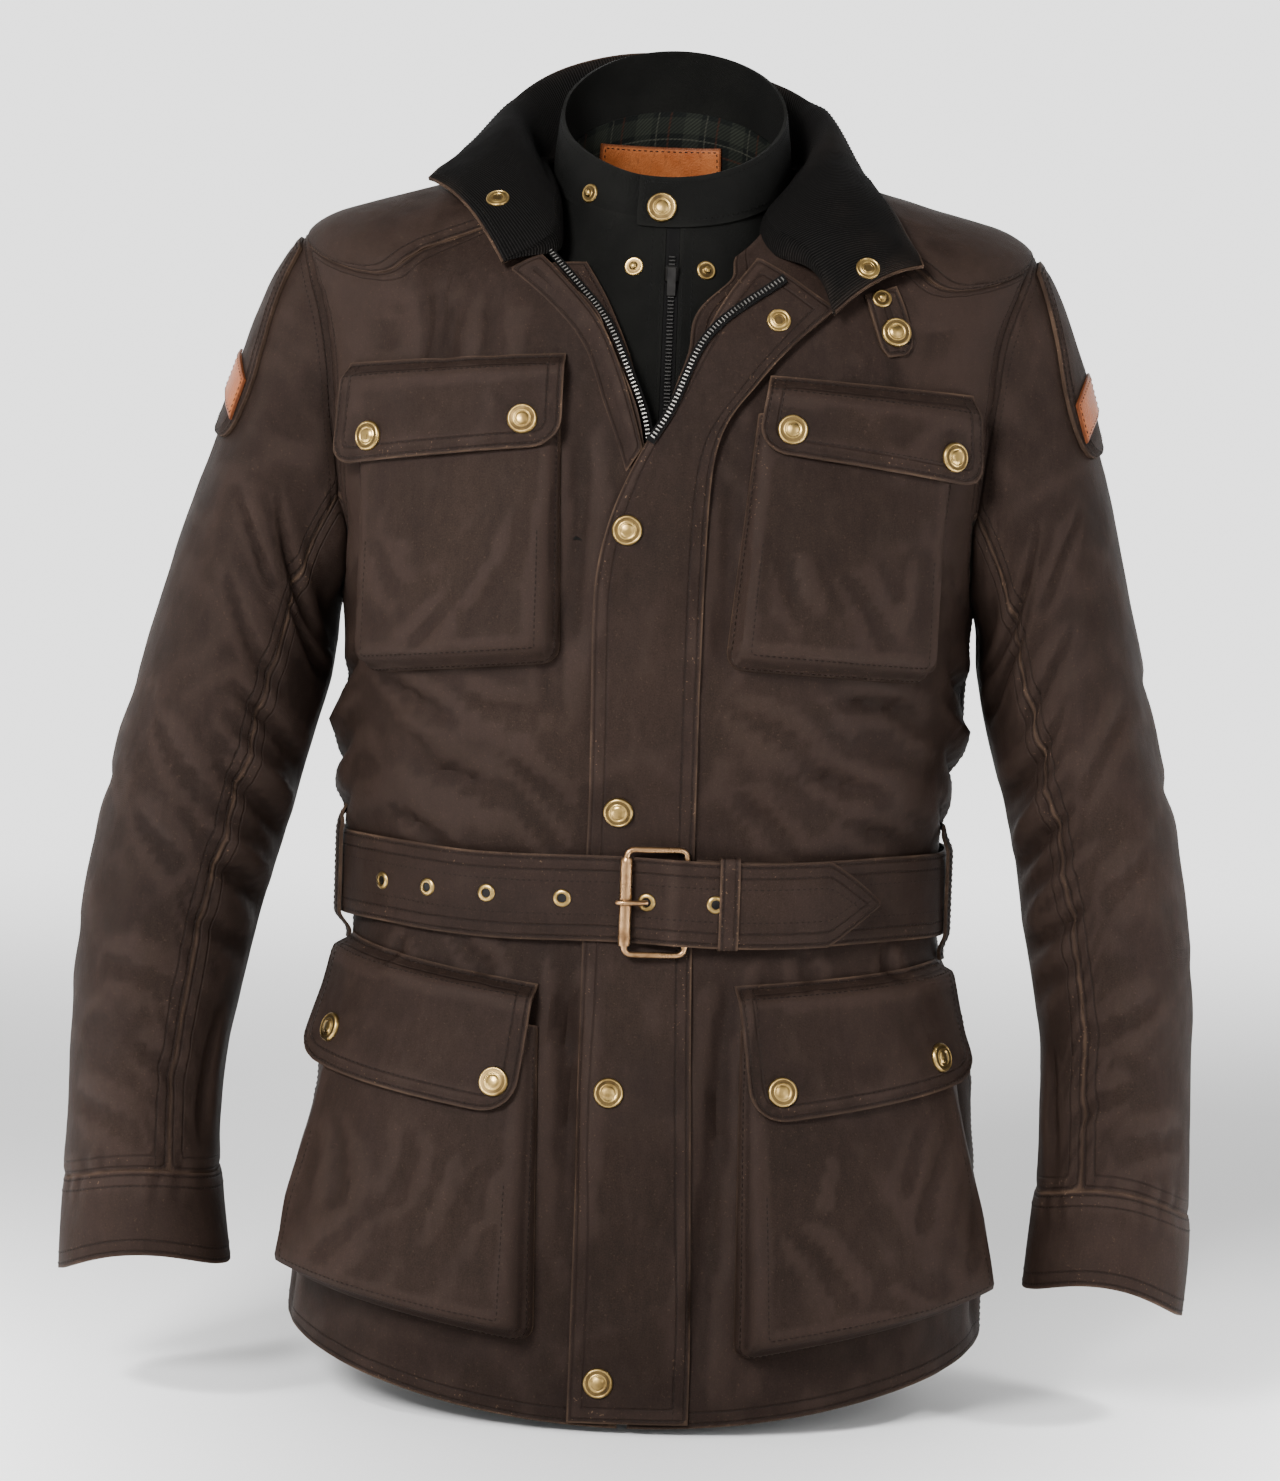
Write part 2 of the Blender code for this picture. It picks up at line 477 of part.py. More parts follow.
def armhole_inward(angle):
    """The way the cloth's thickness runs at the +X armhole seam, shared by body and sleeve."""
    turn, ring = armhole(angle)
    point = smooth_body(turn, ring)
    both = facing_of(smooth_body, turn, ring) + sleeve_normal(1, angle, np.full(np.shape(angle), 0.3))
    centre = np.array([0.205, 0.0, -0.157])
    to_centre = centre - point
    to_centre /= np.linalg.norm(to_centre, axis=-1, keepdims=True)
    inward = 0.5 * to_centre - both
    return inward / np.linalg.norm(inward, axis=-1, keepdims=True)


# Walls


def clear_scene():
    """Starts from an empty scene."""
    for thing in list(bpy.data.objects):
        bpy.data.objects.remove(thing, do_unlink=True)


def material_of(finish):
    """The Principled material of a finish, made once."""
    material = bpy.data.materials.get(finish.name)
    if material is None:
        material = bpy.data.materials.new(finish.name)
        material.use_nodes = True
        shader = material.node_tree.nodes["Principled BSDF"]
        shader.inputs["Base Color"].default_value = (*finish.colour, 1)
        shader.inputs["Roughness"].default_value = finish.roughness
        shader.inputs["Metallic"].default_value = finish.metallic
    return material


def add_object(name, data, finish):
    """Puts mesh or curve data in the jacket's collection with a material of its own."""
    thing = bpy.data.objects.new(name, data)
    copy = material_of(finish).copy()
    copy.name = f"{name}_{finish.name}"
    data.materials.append(copy)
    JACKET.objects.link(thing)
    return thing


def trimmed(outer, inner, sides, gap=SEAM / 2):
    """Both grids, with the named sides ("left right first last") stepped back by half a seam."""
    outer, inner = np.array(outer, float), np.array(inner, float)
    edges = {
        "first": ((0, slice(None)), (1, slice(None))),
        "last": ((-1, slice(None)), (-2, slice(None))),
        "left": ((slice(None), 0), (slice(None), 1)),
        "right": ((slice(None), -1), (slice(None), -2)),
    }
    for side in sides.split():
        edge, beside = edges[side]
        away = outer[beside] - outer[edge]
        away *= gap / np.linalg.norm(away, axis=-1, keepdims=True)
        outer[edge] += away
        inner[edge] += away
    return outer, inner


def wall(name, outer, inner, finish, tube=False):
    """A closed wall between an outer and an inner grid of points of the same size."""
    rows, columns = outer.shape[:2]
    count = rows * columns
    number = np.arange(count).reshape(rows, columns)
    after = np.roll(number, -1, axis=1) if tube else number[:, 1:]
    before = number if tube else number[:, :-1]
    a, b = before[:-1], after[:-1]
    c, d = after[1:], before[1:]
    skin = np.concatenate([np.stack([a, b, c], -1).reshape(-1, 3), np.stack([a, c, d], -1).reshape(-1, 3)])
    faces = [skin, skin[:, ::-1] + count]
    points = np.concatenate([outer.reshape(-1, 3), inner.reshape(-1, 3)])
    order = points @ RIM_ORDER

    def rim(line):
        for start, end in zip(line, np.roll(line, -1)):
            if order[end] > order[start]:
                pair = [[end, start, start + count], [end, start + count, end + count]]
            else:
                pair = [[end, start, end + count], [start, start + count, end + count]]
            faces.append(np.array(pair))

    if tube:
        rim(number[0])
        rim(number[-1][::-1])
    else:
        rim(np.array([*number[0, :-1], *number[:-1, -1], *number[-1, :0:-1], *number[:0:-1, 0]]))
    faces = np.concatenate(faces)
    corners = points[faces]
    if np.einsum("ij,ij->i", corners[:, 0], np.cross(corners[:, 1], corners[:, 2])).sum() < 0:
        faces = faces[:, ::-1]
    mesh = bpy.data.meshes.new(name)
    mesh.from_pydata(points.tolist(), [], faces.tolist())
    mesh.shade_smooth()
    mesh.set_sharp_from_angle(angle=math.radians(50))
    return add_object(name, mesh, finish)


def patch_between(left, right, first, last):
    """A grid of plane points between four edges that share their corners."""
    rows, columns = len(left), len(first)
    down = np.linspace(0, 1, rows)[:, None, None]
    over = np.linspace(0, 1, columns)[None, :, None]
    left, right = left[:, None, :], right[:, None, :]
    first, last = first[None], last[None]
    corners = (
        (1 - down) * ((1 - over) * first[:, :1] + over * first[:, -1:])
        + down * ((1 - over) * last[:, :1] + over * last[:, -1:])
    )
    return (1 - over) * left + over * right + (1 - down) * first + down * last - corners


def rounded_panel(corners, over, down, radius):
    """A grid of a four-cornered flap. Corners run clockwise from top left, radius rounds the last two.

    over and down are distances from the left and top edges. It also gives each point's distance
    from the nearest of the left, right and bottom edges.
    """
    top_left, top_right, bottom_right, bottom_left = (np.array(corner) for corner in corners)
    over, down = np.meshgrid(over, down)
    width, height = over.max(), down.max()
    if radius:
        for sign, side in ((1, over), (-1, width - over)):
            to_side, to_foot = radius - side, radius - (height - down)
            near = (to_side > 0) & (to_foot > 0)
            most = np.maximum(to_side, to_foot)
            scale = np.where(near, most / np.maximum(np.hypot(to_side, to_foot), 1e-9), 1)
            over = np.where(near, over + sign * to_side * (1 - scale), over)
            down = np.where(near, down - to_foot * (1 - scale), down)
    share, fall = (over / width)[..., None], (down / height)[..., None]
    top = top_left * (1 - share) + top_right * share
    foot = bottom_left * (1 - share) + bottom_right * share
    edge = np.minimum(np.minimum(over, width - over), height - down)
    return top * (1 - fall) + foot * fall, edge, down


# Body


def body_wall(name, turn, ring, finish, sides, rims=None):
    """A body panel from its grid of (turn, ring). rims gives the armhole points' inward ways."""
    outer, normal = body(turn, ring)
    inward = -normal
    if rims is not None:
        known = ~np.isnan(rims[..., 0])
        inward[known] = rims[known]
    inner = outer + inward * CLOTH
    return wall(name, *trimmed(outer, inner, sides), finish)


def edge_places(line):
    """(turn, ring) along an edge of the fronts, from the foot of the V to the neck."""
    points = np.array(line)
    turn, ring = at_front(points[:, 0], points[:, 1])
    return np.stack([turn, ring], -1)


def armhole_steps(first, last):
    """Armhole angles at whole steps."""
    return np.arange(first, last + 1) * 2 * math.pi / ARM_STEPS


def lower_rings():
    """Ring numbers of a panel's rows from the hem to the armpit."""
    heights = np.linspace(RINGS[HEM].side_z, RINGS[ARMPIT].side_z, BODY_ROWS)
    return np.interp(heights, RING_TABLE[:, 1], np.arange(len(RINGS)))


def yoke_front_places(side):
    """(turn, ring) of the yoke's front seam, armhole to neck."""
    turn, ring = at_front(np.array([p[0] for p in YOKE_FRONT]), np.array([p[1] for p in YOKE_FRONT]))
    places = np.stack([turn, ring], -1)
    places[0] = np.stack(armhole(armhole_steps(2, 2)[0]))
    places[-1, 1] = NECK
    return along(places, YOKE_COLUMNS + 1) * (side, 1)


def yoke_back_places(side):
    """(turn, ring) of the yoke's back seam, armhole to neck."""
    start = np.stack(armhole(-armhole_steps(2, 2)[0]))
    points = [start] + [(math.radians(turn), ring) for turn, ring in YOKE_BACK]
    return along(points, YOKE_COLUMNS + 1) * (side, 1)


def mirrored_rims(side, angles, shape, where):
    """Inward ways at the armhole for some points of a grid, the rest unset."""
    rims = np.full((*shape, 3), np.nan)
    rims[where] = armhole_inward(angles) * (side, 1, 1)
    return rims


def add_front(name, side, v_edge):
    """One front, from the middle to the side seam, with the edge of its open V."""
    lower = lower_rings()
    columns = FRONT_COLUMNS + 1
    upper_angles = armhole_steps(2, ARM_STEPS // 2)[::-1]
    arm_turn, arm_ring = armhole(upper_angles)
    right = np.stack([arm_turn * side, arm_ring], -1)
    yoke = yoke_front_places(side)[::-1]
    neck_start = edge_places(v_edge)[-1]
    middle = ZIP_HALF_TURN * side
    edge = np.concatenate([[[middle, ARMPIT], [middle, 10.2]], edge_places(v_edge)])
    steps = len(upper_angles)
    left = along(edge, steps)
    left[-1] = neck_start
    extra = columns - len(yoke)
    neck = np.linspace(neck_start, yoke[0], extra + 1)[:-1]
    last = np.concatenate([neck, yoke])
    turns = np.linspace(middle, math.pi / 2 * side, columns)
    first = np.stack([turns, np.full(columns, ARMPIT)], -1)
    upper = patch_between(left, right, first, last)
    turn = np.concatenate([np.tile(turns, (len(lower) - 1, 1)), upper[..., 0]])
    ring = np.concatenate([np.tile(lower[:-1, None], (1, columns)), upper[..., 1]])
    shape = turn.shape
    rims = mirrored_rims(side, upper_angles, shape, (slice(len(lower) - 1, None), -1))
    return body_wall(name, turn, ring, WAXED, "left right last", rims)


def add_back():
    """The back, side seam to side seam."""
    lower = lower_rings()
    columns = BACK_COLUMNS + 1
    angles = -armhole_steps(2, ARM_STEPS // 2)[::-1]
    arm_turn, arm_ring = armhole(angles)
    left = np.stack([arm_turn, arm_ring], -1)
    right = np.stack([2 * math.pi - arm_turn, arm_ring], -1)
    seam = yoke_back_places(1)
    far = np.stack([2 * math.pi - seam[:, 0], seam[:, 1]], -1)[::-1]
    neck = np.linspace(seam[-1], far[0], columns - 2 * len(seam) + 2)[1:-1]
    last = np.concatenate([seam, neck, far])
    turns = np.linspace(math.pi / 2, 3 * math.pi / 2, columns)
    first = np.stack([turns, np.full(columns, ARMPIT)], -1)
    upper = patch_between(left, right, first, last)
    turn = np.concatenate([np.tile(turns, (len(lower) - 1, 1)), upper[..., 0]])
    ring = np.concatenate([np.tile(lower[:-1, None], (1, columns)), upper[..., 1]])
    rims = np.full((*turn.shape, 3), np.nan)
    rims[len(lower) - 1:, 0] = armhole_inward(angles)
    rims[len(lower) - 1:, -1] = armhole_inward(angles) * (-1, 1, 1)
    turn = np.where(turn > math.pi, turn - 2 * math.pi, turn)
    return body_wall("back", turn, ring, WAXED, "left right last", rims)


def add_yoke(name, side):
    """The shoulder piece between the front and back yoke seams."""
    angles = armhole_steps(-2, 2)[::-1]
    arm_turn, arm_ring = armhole(angles)
    left = np.stack([arm_turn * side, arm_ring], -1)
    first, last = yoke_front_places(side), yoke_back_places(side)
    right = np.linspace(first[-1], last[-1], len(angles))
    places = patch_between(left, right, first, last)
    rims = mirrored_rims(side, angles, places.shape[:2], (slice(None), 0))
    return body_wall(name, places[..., 0], places[..., 1], WAXED, "left right first last", rims)


# Sleeves


def sleeve_wall(name, side, steps, rows, lift, sides, at_armhole, tube=False):
    """A stretch of a sleeve between two steps round it."""
    angle = steps[None, :] * 2 * math.pi / ARM_STEPS
    row = np.asarray(rows, float)[:, None]
    angle, row = np.broadcast_arrays(angle, row)
    normal = sleeve_normal(side, angle, row)
    outer = sleeve(side, angle, row) + normal * lift
    inward = -normal
    if at_armhole:
        inward = inward.copy()
        inward[0] = armhole_inward(angle[0]) * (side, 1, 1)
    inner = outer + inward * CLOTH
    return wall(name, *trimmed(outer, inner, sides), WAXED, tube)


def add_sleeve(label, side):
    """The upper and under sleeve and the cuff of one arm."""
    last = ARM_STEPS // 2 - UNDER_SLEEVE_HALF
    upper = np.arange(-last, last + 1)
    under = np.arange(last, ARM_STEPS - last + 1)
    every = "left right first last"
    sleeve_wall(f"upper_sleeve_{label}", side, upper, SLEEVE_ROWS, 0, every, True)
    sleeve_wall(f"under_sleeve_{label}", side, under, SLEEVE_ROWS, 0, every, True)
    around = np.arange(ARM_STEPS)
    sleeve_wall(f"cuff_{label}", side, around, CUFF_ROWS, CUFF_PROUD, "first", False, True)


def sleeve_piece(name, side, places, lift, thick, finish):
    """A piece that lies on a sleeve, from a grid of (angle in degrees, row)."""
    angle, row = np.radians(places[..., 0]), places[..., 1]
    normal = sleeve_normal(side, angle, row)
    inner = sleeve(side, angle, row) + normal * lift
    return wall(name, inner + normal * thick, inner, finish)


# What lies on the body


def lying_wall(name, places, low, high, finish, inner_places=None):
    """A piece on the body from grids of (arc, height), its inner and outer lifts."""
    outer = body(*at_arc(places[..., 0], places[..., 1]), high)[0]
    under = places if inner_places is None else inner_places
    inner = body(*at_arc(under[..., 0], under[..., 1]), low)[0]
    return wall(name, outer, inner, finish)


def strip_places(rows, columns):
    """A grid between the left and right ends of rows of (left arc, height, right arc, height)."""
    table = np.array(rows)
    share = np.linspace(0, 1, columns)[None, :, None]
    return table[:, None, :2] * (1 - share) + table[:, None, 2:] * share


def bag_depth(pocket, fall):
    """How far the pocket bag's cloth stands off the panel at a share of its height."""
    swell = fall * fall * (3 - 2 * fall)
    return LIFT + pocket.mouth_depth + (pocket.foot_depth - pocket.mouth_depth) * swell


def corner_distance(corners, first, second):
    """Length between two corners of a pocket."""
    return float(np.linalg.norm(np.subtract(corners[first], corners[second])))


def grid_lines(length, ends, inside):
    """Distances from 0 to length with close lines near the chosen ends."""
    start, stop = ends
    middle = np.linspace(start[-1], length - stop[-1], inside + 1)[1:-1]
    return np.array([*start, *middle, *(length - s for s in reversed(stop))])


def add_bag(pocket):
    """A pocket bag with side and bottom gussets, open at its top under the flap."""
    width = corner_distance(pocket.bag, 0, 1)
    height = corner_distance(pocket.bag, 0, 3)
    rim = (0.0, BAG_WALL, 0.012)
    over = grid_lines(width, (rim, rim), 5)
    down = grid_lines(height, ((0.0,), rim), 5)
    places, edge, fall = rounded_panel(pocket.bag, over, down, 0.010)
    at_foot = edge < 1e-6
    depth = bag_depth(pocket, fall / height)
    outer = body(*at_arc(places[..., 0], places[..., 1]), np.where(at_foot, LIFT, depth + CLOTH))[0]
    top_left, top_right, _, bottom_left = (np.array(corner) for corner in pocket.bag)
    side_way, foot_way = (top_right - top_left) / width, (bottom_left - top_left) / height
    from_middle = (places - top_left) @ side_way - width / 2
    inward = -np.sign(from_middle) * np.clip(np.abs(from_middle) * 4 / width, 0, 1)
    upward = np.clip((fall / height - 0.5) * 2, 0, 1)
    shrink = CLOTH * 0.95
    places = places + side_way * (inward * shrink)[..., None] - foot_way * (upward * shrink)[..., None]
    inner = body(*at_arc(places[..., 0], places[..., 1]), np.where(at_foot, LIFT, depth))[0]
    return wall(f"{pocket.name}_bag", outer, inner, WAXED)


def flap_lift(pocket, height):
    """Inner lift of the flap at a height of the body."""
    bag_top = (pocket.bag[0][1] + pocket.bag[1][1]) / 2
    bag_foot = (pocket.bag[2][1] + pocket.bag[3][1]) / 2
    fall = np.clip((bag_top - height) / (bag_top - bag_foot), 0, 1)
    return bag_depth(pocket, fall) + CLOTH + 2 * LAYER


def add_flap(pocket):
    """The flap that covers a pocket's mouth."""
    width = corner_distance(pocket.flap, 0, 1)
    height = corner_distance(pocket.flap, 0, 3)
    over = grid_lines(width, ((0.0, pocket.radius / 2, pocket.radius),) * 2, 5)
    down = grid_lines(height, ((0.0, FLAP_RISE), (0.0, pocket.radius / 2, pocket.radius)), 2)
    places, _, fall = rounded_panel(pocket.flap, over, down, pocket.radius)
    rise = np.clip(fall / FLAP_RISE, 0, 1)
    low = LIFT * (1 - rise) + flap_lift(pocket, places[..., 1]) * rise
    return lying_wall(f"{pocket.name}_flap", places, low, low + CLOTH, WAXED)


def front_wall(name, places, low, high, finish):
    """A piece on the fronts from a grid of (x, height) as seen from the front."""
    turn, ring = at_front(places[..., 0], places[..., 1])
    return wall(name, body(turn, ring, high)[0], body(turn, ring, low)[0], finish)


def tape_places(line, left, right):
    """A strip beside an edge of the V, between two distances to its right."""
    edge = along(line, TAPE_STEPS)
    run = np.gradient(edge, axis=0)
    away = np.stack([run[:, 1], -run[:, 0]], -1) / np.linalg.norm(run, axis=-1, keepdims=True)
    return np.stack([edge + away * left, edge + away * (left + right) / 2, edge + away * right], 1)


def add_fastening():
    """The storm flap over the zip, the strips of the fronts turned out beside the V, and the zip."""
    low, high = LIFT, LIFT + CLOTH
    lying_wall("storm_flap", strip_places(PLACKET_ROWS, 4), low, high, WAXED)
    over = high + LAYER
    lying_wall("lapel_right", strip_places(LAPEL_RIGHT_ROWS, 6), over, over + CLOTH, WAXED)
    lying_wall("lapel_left", strip_places(LAPEL_LEFT_ROWS, 3), low, high, WAXED)
    share = np.linspace(0, 1, 4)[None, :]
    under = -CLOTH - LAYER - CLOTH - FACING_DEPTH * share**1.5
    front_wall("facing_left", strip_places(FACING_LEFT_ROWS, 4), under, under + CLOTH, WAXED)
    tape = -CLOTH * np.linspace(0.2, 1.3, 3)[None, :]
    places = tape_places(LEFT_ZIP_EDGE, 0.0013, 2 * TAPE_HALF - 0.0020)
    front_wall("zip_tape_left", places, tape - THIN_CLOTH / 2, tape + THIN_CLOTH / 2, TAPE)
    tape = over + CLOTH + LAYER
    places = tape_places(RIGHT_ZIP_EDGE, -TAPE_HALF + 0.002, TAPE_HALF + 0.002)
    front_wall("zip_tape_right", places, tape, tape + THIN_CLOTH, TAPE)


# Collar


def collar_points(lift):
    """A grid over the collar, from its neck seam to its free edge, moved off its lower side."""
    table = np.array(COLLAR)
    seam = body(np.radians(table[:, 0]), table[:, 1], table[:, 2])[0]
    table = np.concatenate([seam, table[:, 3:]], axis=1)
    bend = bends(table)

    def surface(place, share):
        leaf = spline(table, bend, place)
        share = share[..., None]
        points = leaf[..., :3] * (1 - share) + leaf[..., 3:6] * share
        points[..., 2:] += leaf[..., 6:] * 4 * share * (1 - share)
        return points

    place, share = np.broadcast_arrays(
        np.linspace(0, len(COLLAR) - 1, COLLAR_ROWS)[:, None], np.linspace(0, 1, COLLAR_COLUMNS)[None]
    )
    return surface(place, share) + facing_of(surface, place, share) * lift


def add_collar():
    """The collar laid open: brown cloth under, corduroy on the face."""
    wall("collar_under", collar_points(CLOTH), collar_points(0), WAXED)
    start = CLOTH + SEAM
    wall("collar_face", collar_points(start + THIN_CLOTH), collar_points(start), CORDUROY)


# Liner that shows in the neck


def stand_point(angle, share, lift=0.0):
    """A point of the liner's standing collar: angle 0 is its front, share 0 its foot."""
    angle, share = np.broadcast_arrays(np.asarray(angle, float), np.asarray(share, float))
    sizes = [low + (high - low) * share for low, high in zip(STAND_FOOT, STAND_TOP)]
    half_width, front, back, front_z, side_z, back_z = sizes
    across, ahead = np.sin(angle), np.cos(angle)
    y = np.where(ahead >= 0, -(front + lift) * ahead, -(back + lift) * ahead)
    middle_z = np.where(ahead >= 0, front_z, back_z)
    z = side_z * across**2 + middle_z * ahead**2
    return np.stack([(half_width + lift) * across, y, z], -1)


def add_stand():
    """The standing collar of the liner, its ends lapped at the front."""
    angle = np.linspace(STAND_FROM, STAND_TO, 37)[None, :]
    share = np.linspace(0, 1, 3)[:, None]
    lap = np.clip((angle - STAND_TO + 2 * STAND_LAP) / STAND_LAP, 0, 1)
    tuck = -0.0035 * lap * lap * (3 - 2 * lap)
    outer, inner = stand_point(angle, share, tuck), stand_point(angle, share, tuck - CLOTH)
    wall("liner_collar", outer, inner, LINER)


def bib_point(x, share, lift=0.0):
    """A point of the liner's front: share 0 is its foot behind the fronts, 1 the collar's seam."""
    x, share = np.broadcast_arrays(np.asarray(x, float), np.asarray(share, float))
    foot = body(*at_front(x, np.full(x.shape, BIB_FOOT)), -BIB_DEPTH)[0]
    foot_normal = np.array([0.0, -1.0, 0.0])
    top = stand_point(np.arcsin(x / (STAND_FOOT.half_width + 0.010)), np.zeros(x.shape), -0.0005)
    top = top - np.array([0.0, 0.0, 0.0012])
    share = share[..., None]
    return foot * (1 - share) + top * share + foot_normal * lift


def add_bib():
    """The two liner fronts and the tape of the zip between them."""
    share = np.linspace(0, 1, BIB_ROWS)[:, None]
    spans = {
        "liner_front_left": (-BIB_HALF, LINER_ZIP_X - LINER_ZIP_HALF - SEAM, 6, LINER),
        "liner_front_right": (LINER_ZIP_X + LINER_ZIP_HALF + SEAM, BIB_HALF, 6, LINER),
        "liner_zip": (LINER_ZIP_X - LINER_ZIP_HALF, LINER_ZIP_X + LINER_ZIP_HALF, 2, TAPE),
    }
    for name, (left, right, columns, finish) in spans.items():
        x = np.linspace(left, right, columns)[None, :]
        wall(name, bib_point(x, share), bib_point(x, share, -THIN_CLOTH), finish)


def lining_point(angle, share):
    """A point of the back lining below the standing collar: share 0 at the collar's foot."""
    angle, share = np.broadcast_arrays(np.asarray(angle, float), np.asarray(share, float))
    top = stand_point(math.pi - angle, np.zeros(angle.shape), -0.0005) - np.array([0.0, 0.0, 0.0012])
    foot = np.stack([0.098 * np.sin(angle * 0.75), 0.088 * np.cos(angle * 0.75), angle * 0 - 0.050], -1)
    middle = np.stack([0.0715 * np.sin(angle), 0.0560 * np.cos(angle), 0.004 - 0.022 * angle**2], -1)
    share = share[..., None]
    return top * (1 - share)**2 + 2 * middle * share * (1 - share) + foot * share**2


def add_lining():
    """The checked lining inside the back of the neck, and the leather label on it."""
    angle, share = np.meshgrid(np.linspace(-1.25, 1.25, 17), np.linspace(0, 1, 6))
    away = -facing_of(lining_point, angle, share)
    outer = lining_point(angle, share)
    wall("back_lining", outer, outer + away * THIN_CLOTH, CHECK)
    angle = np.linspace(LABEL_FROM, LABEL_TO, 9)[None, :]
    share = np.linspace(LABEL_TOP, LABEL_FOOT, 3)[:, None]
    lift = THIN_CLOTH + LAYER
    angle, share = np.broadcast_arrays(angle, share)
    away = -facing_of(lining_point, angle, share)
    low = lining_point(angle, share) + away * lift
    wall("neck_label", low + away * THIN_CLOTH, low, LEATHER)


# Belt

def belt_place(arc, across):
    """(turn, ring) of a point of the belt, for arcs that may pass once round the waist."""
    turns = np.linspace(-math.pi, math.pi, 721)
    arcs = arc_of(turns, np.full(turns.shape, float(BELT_RING)))
    round_waist = arcs[-1] - arcs[0]
    wrapped = (np.asarray(arc) - arcs[0]) % round_waist + arcs[0]
    turn = np.interp(wrapped, arcs, turns)
    height = smooth_body(turn, BELT_RING)[..., 2] + across
    ring = np.full(np.shape(height), float(BELT_RING))
    for _ in range(6):
        slope = (smooth_body(turn, ring + 1e-3)[..., 2] - smooth_body(turn, ring)[..., 2]) / 1e-3
        ring = ring - (smooth_body(turn, ring)[..., 2] - height) / slope
    return turn, ring


def belt_point(arc, across, lift):
    """A point over the belt line: a distance up it, a lift out of the waist's ring."""
    turn, _ = belt_place(arc, 0.0)
    ring = np.full(np.shape(turn), float(BELT_RING))
    out = facing_of(smooth_body, turn, ring)
    out[..., 2] = 0
    out /= np.linalg.norm(out, axis=-1, keepdims=True)
    away = (np.asarray(lift) + fold_depth(turn, ring))[..., None]
    rise = np.asarray(across)[..., None] * (0.0, 0.0, 1.0)
    return smooth_body(turn, ring) + out * away + rise


def belt_grid(arc, across, lift):
    """Points over the belt line for a length along it, distances up it and lifts of any shape."""
    return belt_point(*np.broadcast_arrays(*(np.asarray(value, float) for value in (arc, across, lift))))


def add_belt():
    """The belt: from the buckle's bar round the back to the strap end that laps over itself."""
    ring = float(BELT_RING)
    round_waist = 2 * float(arc_of(np.array([math.pi]), np.array([ring]))[0])
    end = round_waist + BELT_TIP
    arc = np.concatenate([
        np.linspace(BELT_START, end - BELT_LAP, BELT_STEPS)[:-1], np.linspace(end - BELT_LAP, end - BELT_TAPER, 12),
        [end - 0.022, end - 0.011, end],
    ])
    rises = np.array([*BELT_SETS_OUT, *((round_waist + length, lift) for length, lift in BELT_COMES_ROUND)])
    lift = np.interp(arc, *rises.T)[None, :]
    half = BELT_WIDTH / 2
    taper = np.clip((arc - end + BELT_TAPER) / BELT_TAPER, 0, 1)
    top, foot = half * (1 - BELT_TIP_TOP * taper**2), half * (BELT_TIP_FOOT * taper**1.2 - 1)
    across = foot + (top - foot) * np.linspace(0, 1, 4)[:, None]
    wall("belt", belt_grid(arc, across, lift + CLOTH), belt_grid(arc, across, lift), WAXED)


def add_loop(name, side):
    """A belt loop at the side, standing proud of the belt."""
    across, lift = np.array(LOOP_ROWS).T[:, :, None]
    arc = side * LOOP_ARC + np.array([[-LOOP_HALF, LOOP_HALF]])
    arc, across, lift = np.broadcast_arrays(arc, across, lift)
    turn, ring = belt_place(arc, across)
    wall(name, body(turn, ring, lift + THIN_CLOTH)[0], body(turn, ring, lift)[0], WAXED)


def keeper_round(wide):
    """The keeper's section a wall out from its hollow: distances up the belt and lifts."""
    tall, low, high = KEEPER_TALL + wide * 0.4, KEEPER_LOW - wide, KEEPER_HIGH + wide
    across = (-tall, 0.0, tall, tall, 0.0, -tall)
    return np.array(across), np.array((low, low, low, high, high, high))


def add_keeper():
    """The loop of cloth that holds the strap end down on the belt."""
    arc = np.array([[KEEPER_FROM], [KEEPER_TO]])
    inner, outer = (belt_grid(arc, *keeper_round(wide)) for wide in (0.0, KEEPER_WALL))
    wall("belt_keeper", outer, inner, WAXED, tube=True)


def add_wire(name, points, radius, finish, cyclic=False):
    """A wire through points, as a round bevelled curve."""
    curve = bpy.data.curves.new(name, "CURVE")
    curve.dimensions = "3D"
    curve.bevel_depth = radius
    curve.bevel_resolution = 2
    curve.use_fill_caps = not cyclic
    line = curve.splines.new("POLY")
    line.points.add(len(points) - 1)
    for place, point in zip(line.points, points):
        place.co = (*point, 1)
    line.use_cyclic_u = cyclic
    return add_object(name, curve, finish)


def add_rod(name, radius, length, collection, location):
    """A solid cylinder that stands upright at a place."""
    mesh = bpy.data.meshes.new(name)
    shape = bmesh.new()
    bmesh.ops.create_cone(
        shape, cap_ends=True, segments=16, radius1=radius, radius2=radius, depth=length
    )
    shape.to_mesh(mesh)
    shape.free()
    rod = bpy.data.objects.new(name, mesh)
    rod.location = location
    collection.objects.link(rod)
    return rod


def add_buckle():
    """The buckle: a wire frame, a roller on its left side and a prong across the strap."""
    add_wire("buckle_frame", belt_grid(*np.array(FRAME_OUTLINE).T), WIRE, COPPER, True)
    middle = belt_grid(ROLLER_ARC, 0.0, ROLL_LIFT)
    roller = add_rod("buckle_roller", ROLLER_RADIUS, 2 * ROLLER_HALF, JACKET, middle)
    roller.data.materials.append(material_of(COPPER))
    bore = add_rod("roller_bore", WIRE + BORE_PLAY, 3 * ROLLER_HALF, CUTTERS, middle)
    bore.hide_render, bore.display_type = True, "WIRE"
    cut_out = roller.modifiers.new("bore", "BOOLEAN")
    cut_out.operation, cut_out.object = "DIFFERENCE", bore
    add_wire("buckle_prong", belt_grid(*np.array(PRONG_LINE).T), PRONG_WIRE, COPPER)


# Snaps and small pieces

